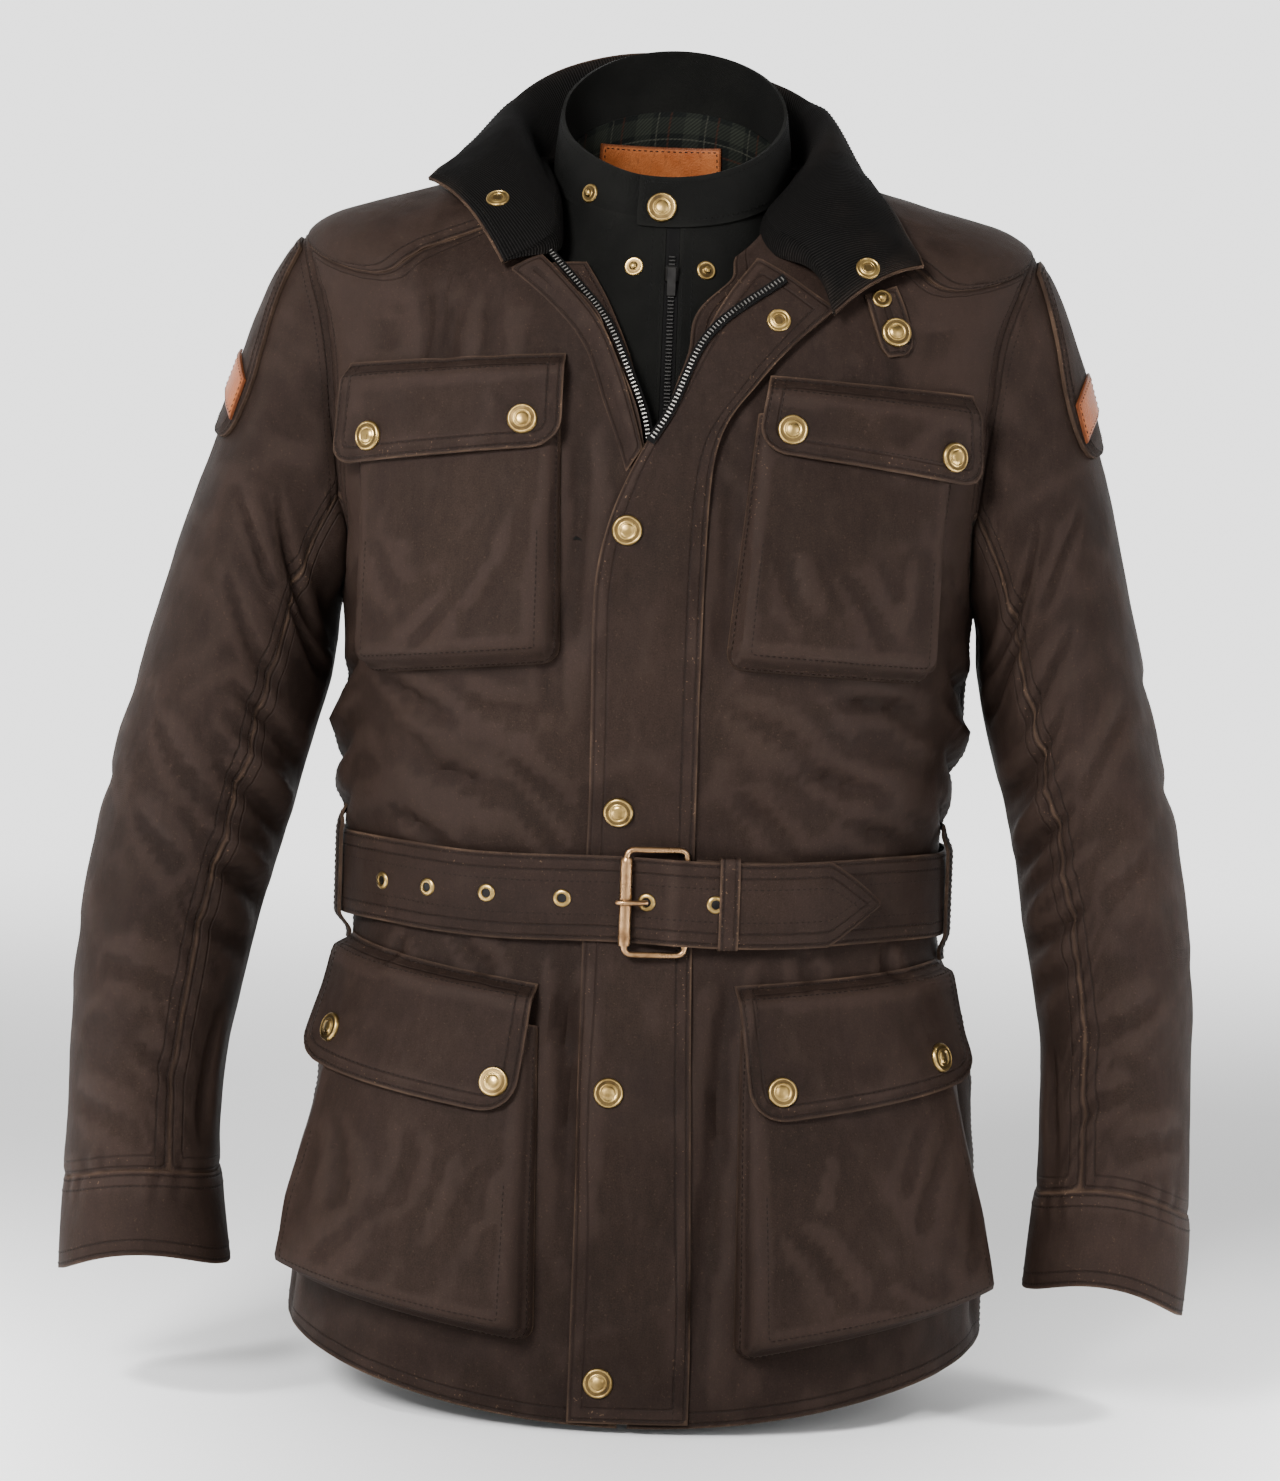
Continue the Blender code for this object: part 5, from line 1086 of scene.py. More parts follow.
@dataclass
class Workshop:
    """Makes the pieces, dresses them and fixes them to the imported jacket."""

    rub_gain: float = 2200
    sharp_edge: float = 55
    least_flat: float = 0.0101
    least_cover: float = 0.31
    wardrobe: Wardrobe = field(default_factory=Wardrobe)
    pieces: dict[str, bpy.types.Object] = field(default_factory=dict)

    def fix(self, thing: bpy.types.Object, nodes: Sequence[str] = (),
            body: str = "jacket") -> None:
        """Puts a piece in the scene, on its body and in place of its solids.

        Args:
            thing: The piece.
            nodes: The solids that it stands for.
            body: The body that it moves with.
        """
        bpy.context.scene.collection.objects.link(thing)
        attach(thing, body)
        if nodes:
            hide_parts(*nodes)
        self.pieces[thing.name] = thing
        LOG.info("%s: %d faces", thing.name, len(thing.data.polygons))

    def cloth(self, name: str, outer: Points, inner: Points, finish: Any, nodes: Sequence[str],
              held: Held = Held.STRETCHED, lining: Any = None, around: bool = False,
              tone: float = 0.0, rub: float = 1.0, sewn: float = 1.0) -> bpy.types.Object:
        """Makes a panel of cloth between an outer and an inner grid.

        Args:
            name: The piece's name.
            outer: Points of the side that shows.
            inner: Points of the other side.
            finish: The outer finish.
            nodes: The solids that it stands for.
            held: How it hangs; not used.
            lining: The inner finish, where it differs.
            around: Whether the grid closes into a tube.
            tone: How much lighter or darker than the rest.
            rub: How strongly its ridges are worn.
            sewn: 1 where rows of stitches are pressed in beside its edges.

        Returns:
            The piece.
        """
        rows, columns = outer.shape[:2]
        count = rows * columns
        skin = grid_faces(rows, columns, around)
        if around:
            number = np.arange(count).reshape(rows, columns)
            lines = [number[0], number[-1][::-1]]
        else:
            lines = [rim_line(rows, columns)]
        ahead = [np.roll(line, -1) for line in lines]
        rims = [np.stack([after, line, line + count, after + count], -1) for after, line in zip(ahead, lines)]
        faces = np.concatenate([skin, skin[:, ::-1] + count, *rims])
        centre = outer[0, 0] - inner[0, 0]
        first = outer[0, 1] - outer[0, 0]
        if np.dot(np.cross(first, outer[1, 0] - outer[0, 0]), centre) < 0:
            faces = faces[:, ::-1]
        points = np.concatenate([outer.reshape(-1, 3), inner.reshape(-1, 3)])
        thing = mesh_thing(name, points, faces.tolist(), self.wardrobe.of(finish))
        data = thing.data
        if lining is not None:
            data.materials.append(self.wardrobe.of(lining))
            under = np.zeros(len(faces), int)
            under[len(skin):2 * len(skin)] = 1
            data.polygons.foreach_set("material_index", under)
        normal = unit(outer - inner)
        lift = raised(outer, normal, 2, around) * self.rub_gain * rub
        edge = edge_distance(outer, around)
        written = {"rub": np.clip(lift, 0, 1), "edge": edge, "tone": lift * 0 + tone, "sewn": lift * 0 + sewn}
        for key, values in written.items():
            layer = data.attributes.new(key, "FLOAT", "POINT")
            layer.data.foreach_set("value", np.tile(values.reshape(-1), 2).astype(np.float32))
        corner = np.empty(len(data.loops), int)
        data.loops.foreach_get("vertex_index", corner)
        lengths = np.tile(lengths_over(outer).reshape(-1, 2), (2, 1))
        data.uv_layers.new(name="metres").data.foreach_set("uv", lengths[corner].reshape(-1))
        data.set_sharp_from_angle(angle=math.radians(self.sharp_edge))
        self.fix(thing, nodes)
        self.declare(outer, around)
        return thing

    def panel(self, solid: str, outer: Points, normal: Points, finish: Any = WAXED, kind: str = "cloth",
              thick: Any = CLOTH, more: Sequence[str] = (), **looks: Any) -> bpy.types.Object:
        """Makes a panel of even cloth that is named after its solid.

        Args:
            solid: The solid that it stands for.
            outer: Points of the side that shows.
            normal: Their normals.
            finish: The outer finish.
            kind: What it is, for its name.
            thick: How thick it is.
            more: Other solids that it stands for.
            looks: The other choices of cloth().

        Returns:
            The piece.
        """
        return self.cloth(f"{solid}_{kind}", outer, outer - normal * thick, finish, [solid, *more], **looks)

    def declare(self, outer: Points, around: bool) -> None:
        """Measures a panel's width, length and covered area from its own lines; nothing is done with them.

        Args:
            outer: Its outer grid.
            around: Whether it closes into a tube.
        """
        ring = np.concatenate([outer, outer[:, :1]], axis=1) if around else outer
        over = np.linalg.norm(np.diff(ring, axis=1), axis=-1)
        down = np.linalg.norm(np.diff(ring, axis=0), axis=-1)
        width, length = (max(float(run.max()), self.least_flat) for run in (over.sum(1), down.sum(0)))
        sides = np.diff(ring, axis=1)[:-1], np.diff(ring, axis=0)[:, :-1]
        area = float(np.linalg.norm(np.cross(*sides), axis=-1).sum())
        area = min(max(area, self.least_cover * width * length), width * length)

    def metal(self, name: str, parts: Sequence[tuple[Points, Any]], finish: Any, nodes: Sequence[str] = (),
              sharp: float = 40.0) -> None:
        """Joins loose parts into one hard piece.

        Args:
            name: The piece's name.
            parts: Points and faces of each part.
            finish: Its finish.
            nodes: The solids that it stands for.
            sharp: Angle in degrees over which an edge stays sharp.
        """
        points, faces, start = [], [], 0
        for part, part_faces in parts:
            points.append(part)
            faces += [[number + start for number in face] for face in part_faces]
            start += len(part)
        thing = mesh_thing(name, np.concatenate(points), faces, self.wardrobe.of(finish))
        thing.data.set_sharp_from_angle(angle=math.radians(sharp))
        self.fix(thing, nodes)

    def seat(self, piece: str, origin: Any, way: Any) -> tuple[Points, Points]:
        """Finds where a line meets a piece.

        Args:
            piece: The piece's name.
            origin: Start of the line.
            way: Its direction.

        Returns:
            The point and the normal there, facing back along the line.
        """
        data = self.pieces[piece].data
        tree = BVHTree.FromPolygons([v.co for v in data.vertices], [p.vertices for p in data.polygons])
        spot, normal, _, _ = tree.ray_cast(Vector(origin), Vector(way))
        if spot is None:
            spot, normal, _, _ = tree.find_nearest(Vector(origin))
        if normal.dot(Vector(way)) > 0:
            normal = -normal
        return np.array(spot), np.array(normal)


def turned(profile: Sequence[tuple[float, float]], steps: int = 32) -> tuple[Points, list]:
    """Turns a profile of (radius, height) round the height's axis.

    Args:
        profile: The profile.
        steps: Steps round the axis.

    Returns:
        Points and faces.
    """
    angle = np.arange(steps) * 2 * math.pi / steps
    rows = [np.stack([np.cos(angle) * max(r, 1e-6), np.sin(angle) * max(r, 1e-6), angle * 0 + h], -1)
            for r, h in profile]
    return np.concatenate(rows), grid_faces(len(profile), steps, True)[:, ::-1].tolist()


def placed(part: tuple[Points, list], spot: Points, normal: Points, size: float = 1.0) -> tuple[Points, list]:
    """Moves a part that stands on the ground to a spot, to stand along a normal."""
    turn = np.array(Vector(normal).to_track_quat("Z", "Y").to_matrix())
    return part[0] * size @ turn.T + spot, part[1]


def tube(line: Points, radius: Any, steps: int = 12, closed: bool = False) -> tuple[Points, list]:
    """Makes a round rod along a line.

    Args:
        line: Its centre line.
        radius: Its radius, or one for each point.
        steps: Steps round it.
        closed: Whether it closes on itself.

    Returns:
        Points and faces.
    """
    radius = np.broadcast_to(np.asarray(radius, float), (len(line),))
    ahead = np.roll(line, -1, axis=0) - np.roll(line, 1, axis=0) if closed else np.gradient(line, axis=0)
    ahead = unit(ahead)
    side = unit(np.cross(ahead, [0.13, 0.31, 0.94]))
    up = np.cross(side, ahead)
    angle = np.arange(steps) * 2 * math.pi / steps
    round_it = side[:, None] * np.cos(angle)[None, :, None] + up[:, None] * np.sin(angle)[None, :, None]
    points = (line[:, None] + round_it * radius[:, None, None]).reshape(-1, 3)
    faces = grid_faces(len(line), steps, True).tolist()
    if closed:
        last, first = np.arange(steps) + (len(line) - 1) * steps, np.arange(steps)
        faces += np.stack([last, np.roll(last, -1), np.roll(first, -1), first], -1).tolist()
    else:
        faces += [list(range(steps))[::-1], list(range((len(line) - 1) * steps, len(line) * steps))]
    return points, faces


def rounded_line(corners: Points, radius: float, steps: int = 5) -> Points:
    """Rounds the corners of a closed line."""
    points = []
    for before, here, after in zip(np.roll(corners, 1, axis=0), corners, np.roll(corners, -1, axis=0)):
        start, end = here + unit(before - here) * radius, here + unit(after - here) * radius
        for share in np.linspace(0, 1, steps):
            points.append(start * (1 - share)**2 + 2 * here * share * (1 - share) + end * share**2)
    return np.array(points)


def blocks(spots: Points, along: Points, out: Points,
           size: tuple[float, float, float]) -> tuple[Points, list]:
    """Makes small blocks with sloping sides, such as zip teeth.

    Args:
        spots: Middle of each foot.
        along: The way that each is measured along first.
        out: The way that each stands.
        size: Length along, width across and height out.

    Returns:
        Points and faces.
    """
    across = np.cross(out, along)
    corners = np.array([
        (-1, -1, 0), (1, -1, 0), (1, 1, 0), (-1, 1, 0),
        (-0.62, -0.86, 1), (0.62, -0.86, 1), (0.62, 0.86, 1), (-0.62, 0.86, 1),
    ]) * (size[0] / 2, size[1] / 2, size[2])
    points = spots[:, None] + corners[None, :, :1] * along[:, None]
    points = points + corners[None, :, 1:2] * across[:, None] + corners[None, :, 2:] * out[:, None]
    shape = np.array([(3, 2, 1, 0), (4, 5, 6, 7), (0, 1, 5, 4), (1, 2, 6, 5), (2, 3, 7, 6), (3, 0, 4, 7)])
    faces = shape[None] + 8 * np.arange(len(spots))[:, None, None]
    return points.reshape(-1, 3), faces.reshape(-1, 4).tolist()


def rail(grid: Points, side: str, inset: float, trim: float = 0.0) -> Points:
    """Follows one edge of a grid at a distance inside it.

    Args:
        grid: The points.
        side: Which edge: left, right, first or last.
        inset: The distance inside it.
        trim: How much is left off at both ends.

    Returns:
        The line.
    """
    lines = grid if side in ("left", "right") else grid.swapaxes(0, 1)
    if side in ("right", "last"):
        lines = lines[:, ::-1]
    line = np.array([read_at(inset, lengths_along(row), row) for row in lines])
    run = lengths_along(line)
    return read_at(np.linspace(trim, run[-1] - trim, max(int(run[-1] / 0.0035), 2)), run, line)


def rail_ways(grid: Points, normal: Points, side: str, inset: float, trim: float) -> Points:
    """Gives the normals along a rail of a grid, one for each of its points.

    Args:
        grid: The grid.
        normal: Its normals.
        side: The side that the rail follows.
        inset: How far from the edge it runs.
        trim: How much is left off at each end.

    Returns:
        One normal for each point of the rail.
    """
    high = rail(grid + normal * 0.01, side, inset, trim)
    low = rail(grid, side, inset, trim)
    return unit(read_at(np.linspace(0, 1, len(low)), np.linspace(0, 1, len(high)), high) - low)


@dataclass
class Needle:
    """Sews rows of stitches and makes them into one piece."""

    name: str
    finish: Any = THREAD
    pitch: float = 0.0036
    length: float = 0.0027
    width: float = 0.00038
    height: float = 0.00036
    rows: list = field(default_factory=list)

    def sew(self, line: Points, outward: Any) -> None:
        """Sews one row.

        Args:
            line: Where it runs.
            outward: The way out of the cloth, one for all or for each point of the line.
        """
        run = lengths_along(line)
        if run[-1] < 2 * self.pitch:
            return
        spots = np.arange(self.pitch / 2, run[-1], self.pitch)
        outward = np.broadcast_to(np.asarray(outward, float), line.shape)
        half = self.length / 2
        before, middle, after = (read_at(spots + shift, run, line) for shift in (-half, 0, half))
        way, out = unit(after - before), read_at(spots, run, outward)
        out = unit(out - way * (out * way).sum(-1, keepdims=True))
        side = np.cross(out, way)
        rings = [before - out * 0.0002]
        for centre in (middle * 0.55 + before * 0.45, middle * 0.55 + after * 0.45):
            rings += [centre - side * self.width, centre + out * self.height, centre + side * self.width]
        rings.append(after - out * 0.0002)
        self.rows.append(np.stack(rings, 1))

    def edge(self, grid: Points, normal: Points, side: str, inset: float, trim: float = 0.001) -> None:
        """Sews a row beside one edge of a grid."""
        self.sew(rail(grid, side, inset, trim), rail_ways(grid, normal, side, inset, trim))

    def make(self, shop: Workshop) -> None:
        """Makes the stitches into a piece."""
        stitches = np.concatenate(self.rows)
        shape = np.array([(0, 2, 1, 1), (0, 3, 2, 2), (1, 2, 5, 4), (2, 3, 6, 5), (4, 5, 7, 7), (5, 6, 7, 7)])
        faces = (shape[None] + 8 * np.arange(len(stitches))[:, None, None]).reshape(-1, 4)
        kept = [[*dict.fromkeys(face)] for face in faces.tolist()]
        thing = mesh_thing(self.name, stitches.reshape(-1, 3), kept, shop.wardrobe.of(self.finish))
        thing.data.attributes.new("edge", "FLOAT", "POINT")
        shop.fix(thing)


# Sub-assemblies


def side_distance(grid: Points, side: str) -> Points:
    """Measures each point's distance from one edge of a grid, along the grid's lines."""
    axis = int(side in ("left", "right"))
    if side in ("right", "last"):
        return np.flip(lengths_along(np.flip(grid, axis), axis), axis)
    return lengths_along(grid, axis)


def rolled(outer: Points, normal: Points, sides: str, depth: float = 0.0011, reach: float = 0.004) -> Points:
    """Rolls the sewn edges of a panel inward.

    Args:
        outer: The panel's outer grid.
        normal: Its normals.
        sides: Names of the sewn edges.
        depth: How far an edge turns in.
        reach: How far from the edge the roll starts.

    Returns:
        The rolled grid.
    """
    move = sum(np.exp(-(side_distance(outer, side) / reach)**2) for side in sides.split())
    return outer - normal * (depth * np.clip(move, 0, 1))[..., None]


def puckers(outer: Points, normal: Points, side: str, pitch: float, height: float, reach: float,
            seed: int) -> Points:
    """Gathers a panel in uneven small puckers along a sewn edge.

    Args:
        outer: The panel's outer grid.
        normal: Its normals.
        side: The edge.
        pitch: Length of a pucker.
        height: Their height.
        reach: How far they run into the panel.
        seed: Which set of uneven lengths.

    Returns:
        The gathered grid.
    """
    other = "first" if side in ("left", "right") else "left"
    run, into = side_distance(outer, other), side_distance(outer, side)
    phase = np.random.default_rng(seed).uniform(0, 2 * math.pi, 3)
    turn = 2 * math.pi * run / pitch
    wave = np.sin(turn + phase[0] + 1.3 * np.sin(turn * 0.31 + phase[1]))
    wave = wave * (0.55 + 0.45 * np.sin(turn * 0.23 + phase[2]))
    return outer + normal * (height * wave * np.exp(-(into / reach)**2))[..., None]


@dataclass
class Shell:
    """The fronts, back and yokes."""

    shop: Workshop
    fine: int = 6
    front_columns: int = 10
    back_columns: int = 16
    yoke_columns: int = 6
    body_rows: int = 14
    middle: float = math.radians(0.8)
    left_edge: tuple = (
        (-0.007, -0.169), (-0.011, -0.151), (-0.021, -0.127), (-0.033, -0.102),
        (-0.049, -0.082), (-0.072, -0.058),
    )
    right_edge: tuple = (
        (-0.001, -0.169), (0.005, -0.15), (0.0115, -0.13), (0.017, -0.11),
        (0.0255, -0.085), (0.04, -0.064), (0.055, -0.05),
    )
    yoke_front: tuple = (
        (0.205, -0.091), (0.171, -0.074), (0.144, -0.06), (0.105, -0.044), (0.072, -0.03),
    )
    yoke_back: tuple = ((113, 13.2), (118, 14.4), (125, NECK))
    yoke_step: int = 2
    needle: Needle = field(default_factory=lambda: Needle("stitching_body"))
    grids: dict = field(default_factory=dict)

    def steps(self, first: int, last: int) -> Points:
        """Gives fine armhole angles between two whole steps."""
        return np.linspace(first, last, (last - first) * self.fine + 1) * 2 * math.pi / ARM_STEPS

    def rings(self) -> Points:
        """Gives the rings of the rows from the hem to the armpit."""
        heights = np.linspace(RINGS.rows[HEM, 1], RINGS.rows[ARMPIT, 1], self.body_rows * self.fine + 1)
        return np.interp(heights, RINGS.rows[:, 1], np.arange(len(RINGS.rows)))

    def front_seam(self, side: int) -> Points:
        """Gives places along the yoke's front seam, armhole to neck."""
        places = np.stack(BODY.at_front(*np.array(self.yoke_front).T), -1)
        places[0] = np.stack(BODY.armhole(2 * math.pi * self.yoke_step / ARM_STEPS))
        places[-1, 1] = NECK
        return Table(places).spaced(self.yoke_columns * self.fine + 1) * (side, 1)

    def back_seam(self, side: int) -> Points:
        """Gives places along the yoke's back seam, armhole to neck."""
        start = np.stack(BODY.armhole(-2 * math.pi * self.yoke_step / ARM_STEPS))
        places = [start] + [(math.radians(turn), ring) for turn, ring in self.yoke_back]
        return Table(places).spaced(self.yoke_columns * self.fine + 1) * (side, 1)

    def panel(self, name: str, places: Points, sides: str, tone: float, lift: float = 0.0) -> None:
        """Makes one panel of the shell.

        Args:
            name: Its name.
            places: Its grid of turn and ring.
            sides: Its sewn edges.
            tone: How much lighter it is.
            lift: How far it stands out.
        """
        outer, normal = BODY.cloth(places[..., 0], places[..., 1], lift)
        outer = rolled(outer, normal, sides)
        for number, side in enumerate(sides.split()):
            outer = puckers(outer, normal, side, 0.021, 0.0004, 0.012, 11 * number + len(name))
        self.grids[name] = (outer, normal)
        self.shop.panel(name, outer, normal, lining=LINER, tone=tone)

    def front(self, name: str, side: int, v_edge: tuple, tone: float) -> None:
        """Makes one front, from the middle to the side seam.

        Args:
            name: Its name.
            side: -1 for the left one as seen, +1 for the right one.
            v_edge: The edge of its open V, as seen from the front.
            tone: How much lighter it is.
        """
        lower = self.rings()
        columns = self.front_columns * self.fine + 1
        angles = self.steps(self.yoke_step, ARM_STEPS // 2)[::-1]
        arm_turn, arm_ring = BODY.armhole(angles)
        right = np.stack([arm_turn * side, arm_ring], -1)
        yoke = self.front_seam(side)[::-1]
        edge = np.stack(BODY.at_front(*np.array(v_edge).T), -1)
        middle = self.middle * side
        left = Table([(middle, ARMPIT), (middle, 10.2), *edge]).spaced(len(angles))
        left[-1] = edge[-1]
        neck = np.linspace(edge[-1], yoke[0], columns - len(yoke) + 1)[:-1]
        turns = np.linspace(middle, math.pi / 2 * side, columns)
        first = np.stack([turns, np.full(columns, float(ARMPIT))], -1)
        upper = patch_between(left, right, first, np.concatenate([neck, yoke]))
        below = np.stack(np.broadcast_arrays(turns[None], lower[:-1, None]), -1)
        self.panel(name, np.concatenate([below, upper]), "right last", tone)

    def back(self) -> None:
        """Makes the back, side seam to side seam."""
        lower = self.rings()
        columns = self.back_columns * self.fine + 1
        angles = -self.steps(self.yoke_step, ARM_STEPS // 2)[::-1]
        arm_turn, arm_ring = BODY.armhole(angles)
        left = np.stack([arm_turn, arm_ring], -1)
        right = np.stack([2 * math.pi - arm_turn, arm_ring], -1)
        seam = self.back_seam(1)
        far = np.stack([2 * math.pi - seam[:, 0], seam[:, 1]], -1)[::-1]
        neck = np.linspace(seam[-1], far[0], columns - 2 * len(seam) + 2)[1:-1]
        turns = np.linspace(math.pi / 2, 3 * math.pi / 2, columns)
        first = np.stack([turns, np.full(columns, float(ARMPIT))], -1)
        upper = patch_between(left, right, first, np.concatenate([seam, neck, far]))
        below = np.stack(np.broadcast_arrays(turns[None], lower[:-1, None]), -1)
        places = np.concatenate([below, upper])
        places[..., 0] = (places[..., 0] + math.pi) % (2 * math.pi) - math.pi
        self.panel("back", places, "left right last", 0.0)

    def yoke(self, name: str, side: int) -> None:
        """Makes the shoulder piece between the front and back yoke seams."""
        angles = self.steps(-self.yoke_step, self.yoke_step)[::-1]
        arm_turn, arm_ring = BODY.armhole(angles)
        left = np.stack([arm_turn * side, arm_ring], -1)
        first, last = self.front_seam(side), self.back_seam(side)
        right = np.linspace(first[-1], last[-1], len(angles))
        self.panel(name, patch_between(left, right, first, last), "left first last", 0.02, 0.0005)

    def seams(self) -> None:
        """Sews the seams, the hem and the edges."""
        for name, (grid, normal) in self.grids.items():
            sides = ("first", "last") if name.startswith("yoke") else ("first", "right")
            for side in (*sides, "left") if name == "back" else sides:
                for inset in (NEAR_ROW, FAR_ROW):
                    self.needle.edge(grid, normal, side, inset)
        self.needle.make(self.shop)

    def build(self) -> None:
        """Makes the shell."""
        self.front("front_left", -1, self.left_edge, 0.0)
        self.front("front_right", 1, self.right_edge, 0.01)
        self.back()
        for name, side in (("yoke_left", -1), ("yoke_right", 1)):
            self.yoke(name, side)
        self.seams()


@dataclass
class Sleeve:
    """One sleeve: its upper and under panels, cuff, shoulder patch and leather tab."""

    shop: Workshop
    label: str
    side: int
    fine: int = 5
    under_half: int = 4
    row_step: float = 0.09
    cuff_rows: tuple = (11, 12)
    cuff_proud: float = 0.0008
    tucked: float = 1.07
    patch: tuple = (
        (29, 0.18), (36, 0.8), (42, 1.4), (45, 1.9), (44, 2.35), (41, 2.7), (33, 2.95), (20, 3.05),
    )
    patch_lift: float = 0.0015
    tab_angles: tuple = (8, 41)
    tab_rows: tuple = (2.02, 2.58)

    @property
    def form(self) -> ArmForm:
        """Gives the sleeve's surface."""
        return ArmForm(self.side)

    def stretch(self, name: str, steps: Points, rows: Points, lift: Any, sides: str, around: bool) -> None:
        """Makes a stretch of the sleeve and sews its edges.

        Args:
            name: Its name.
            steps: Steps round the sleeve.
            rows: Rows along it.
            lift: How far it stands out.
            sides: Its sewn edges.
            around: Whether it closes into a tube.
        """
        angle, row = np.meshgrid(steps * 2 * math.pi / ARM_STEPS, rows)
        outer, normal = self.form.cloth(angle, row, lift)
        outer = rolled(outer, normal, sides)
        for number, side in enumerate(sides.split()):
            outer = puckers(outer, normal, side, 0.017, 0.0006, 0.013, 7 * number + len(name) + self.side)
        self.sewn[name] = (outer, normal)
        if rows[0] == 0:
            edge, way = self.seam_edge(angle[0])
            outer, normal = np.concatenate([edge[None], outer]), np.concatenate([way[None], normal])
        self.shop.panel(f"{name}_{self.label}", outer, normal, lining=LINER, around=around)

    def seam_edge(self, angle: Points) -> tuple[Points, Points]:
        """Gives the edge of the seam allowance, which lies under the body's cloth, and its normals."""
        turn, ring = BODY.armhole(angle)
        middle = (ARMPIT + POINT) / 2
        turn = (math.pi / 2 + (turn - math.pi / 2) * self.tucked) * self.side
        return BODY.cloth(turn, middle + (ring - middle) * self.tucked, -2 * CLOTH)

    def build(self) -> None:
        """Makes the sleeve."""
        self.sewn: dict[str, tuple[Points, Points]] = {}
        last = ARM_STEPS // 2 - self.under_half
        start = self.cuff_rows[0]
        rows = np.linspace(0, start, round(start / self.row_step) + 1)
        upper = np.linspace(-last, last, 2 * last * self.fine + 1)
        under = np.linspace(last, ARM_STEPS - last, 2 * self.under_half * self.fine + 1)
        self.stretch("upper_sleeve", upper, rows, 0.0, "left right last", False)
        self.stretch("under_sleeve", under, rows, 0.0, "left right last", False)
        rows = np.linspace(*self.cuff_rows, 13)
        swell = self.cuff_proud + 0.0006 * np.sin(np.linspace(0, math.pi, 13))[:, None]
        self.stretch("cuff", np.arange(ARM_STEPS * self.fine) / self.fine, rows, swell, "first", True)
        needle = Needle(f"stitching_sleeve_{self.label}")
        seams = [("upper_sleeve", side) for side in ("left", "right", "first")]
        for name, side in (*seams, ("cuff", "first"), ("cuff", "last")):
            for inset in (NEAR_ROW, FAR_ROW):
                needle.edge(*self.sewn[name], side, inset)
        self.shoulder(needle)
        needle.make(self.shop)

    def shoulder(self, needle: Needle) -> None:
        """Makes the patch over the shoulder and its tab."""
        table = Table(self.patch).at(np.linspace(0, len(self.patch) - 1, 46))
        share = np.linspace(-1, 1, 41)
        angle = np.radians(table[:, :1] * share[None])
        row = table[:, 1:] + 0 * share[None]
        outer, normal = self.form.cloth(angle, row, self.patch_lift + CLOTH)
        outer = pressed_edge(outer, normal, (0.001, 0.0, 0.0025), (0.0007, 0.0055, 0.0016))
        self.shop.panel(f"shoulder_patch_{self.label}", outer, normal, tone=0.03)
        for side in ("left", "right", "last"):
            for inset in (NEAR_ROW, FAR_ROW):
                needle.edge(outer, normal, side, inset)
        angle = np.radians(np.linspace(*self.tab_angles, 25))[None]
        row = np.linspace(*self.tab_rows, 19)[:, None]
        low = self.patch_lift + CLOTH + LAYER
        outer, normal = self.form.cloth(angle, row, low + THIN_CLOTH)
        outer = pressed_edge(outer, normal, (0.0006, 0.0, 0.0012))
        self.shop.panel(f"sleeve_tab_{self.label}", outer, normal, LEATHER, "hide", THIN_CLOTH)
        tan = Needle(f"stitching_tab_{self.label}", THREAD)
        for side in ("left", "right", "first", "last"):
            tan.edge(outer, normal, side, 0.0022, 0.0022)
        tan.make(self.shop)


@dataclass(frozen=True)
class PocketPlan:
    """Sizes of one bellows pocket. Corners run clockwise from the top left."""

    name: str
    bag: tuple
    mouth: float
    foot: float
    flap: tuple
    radius: float
    snaps: tuple
    side_fold: float
    foot_fold: float
    creases: tuple


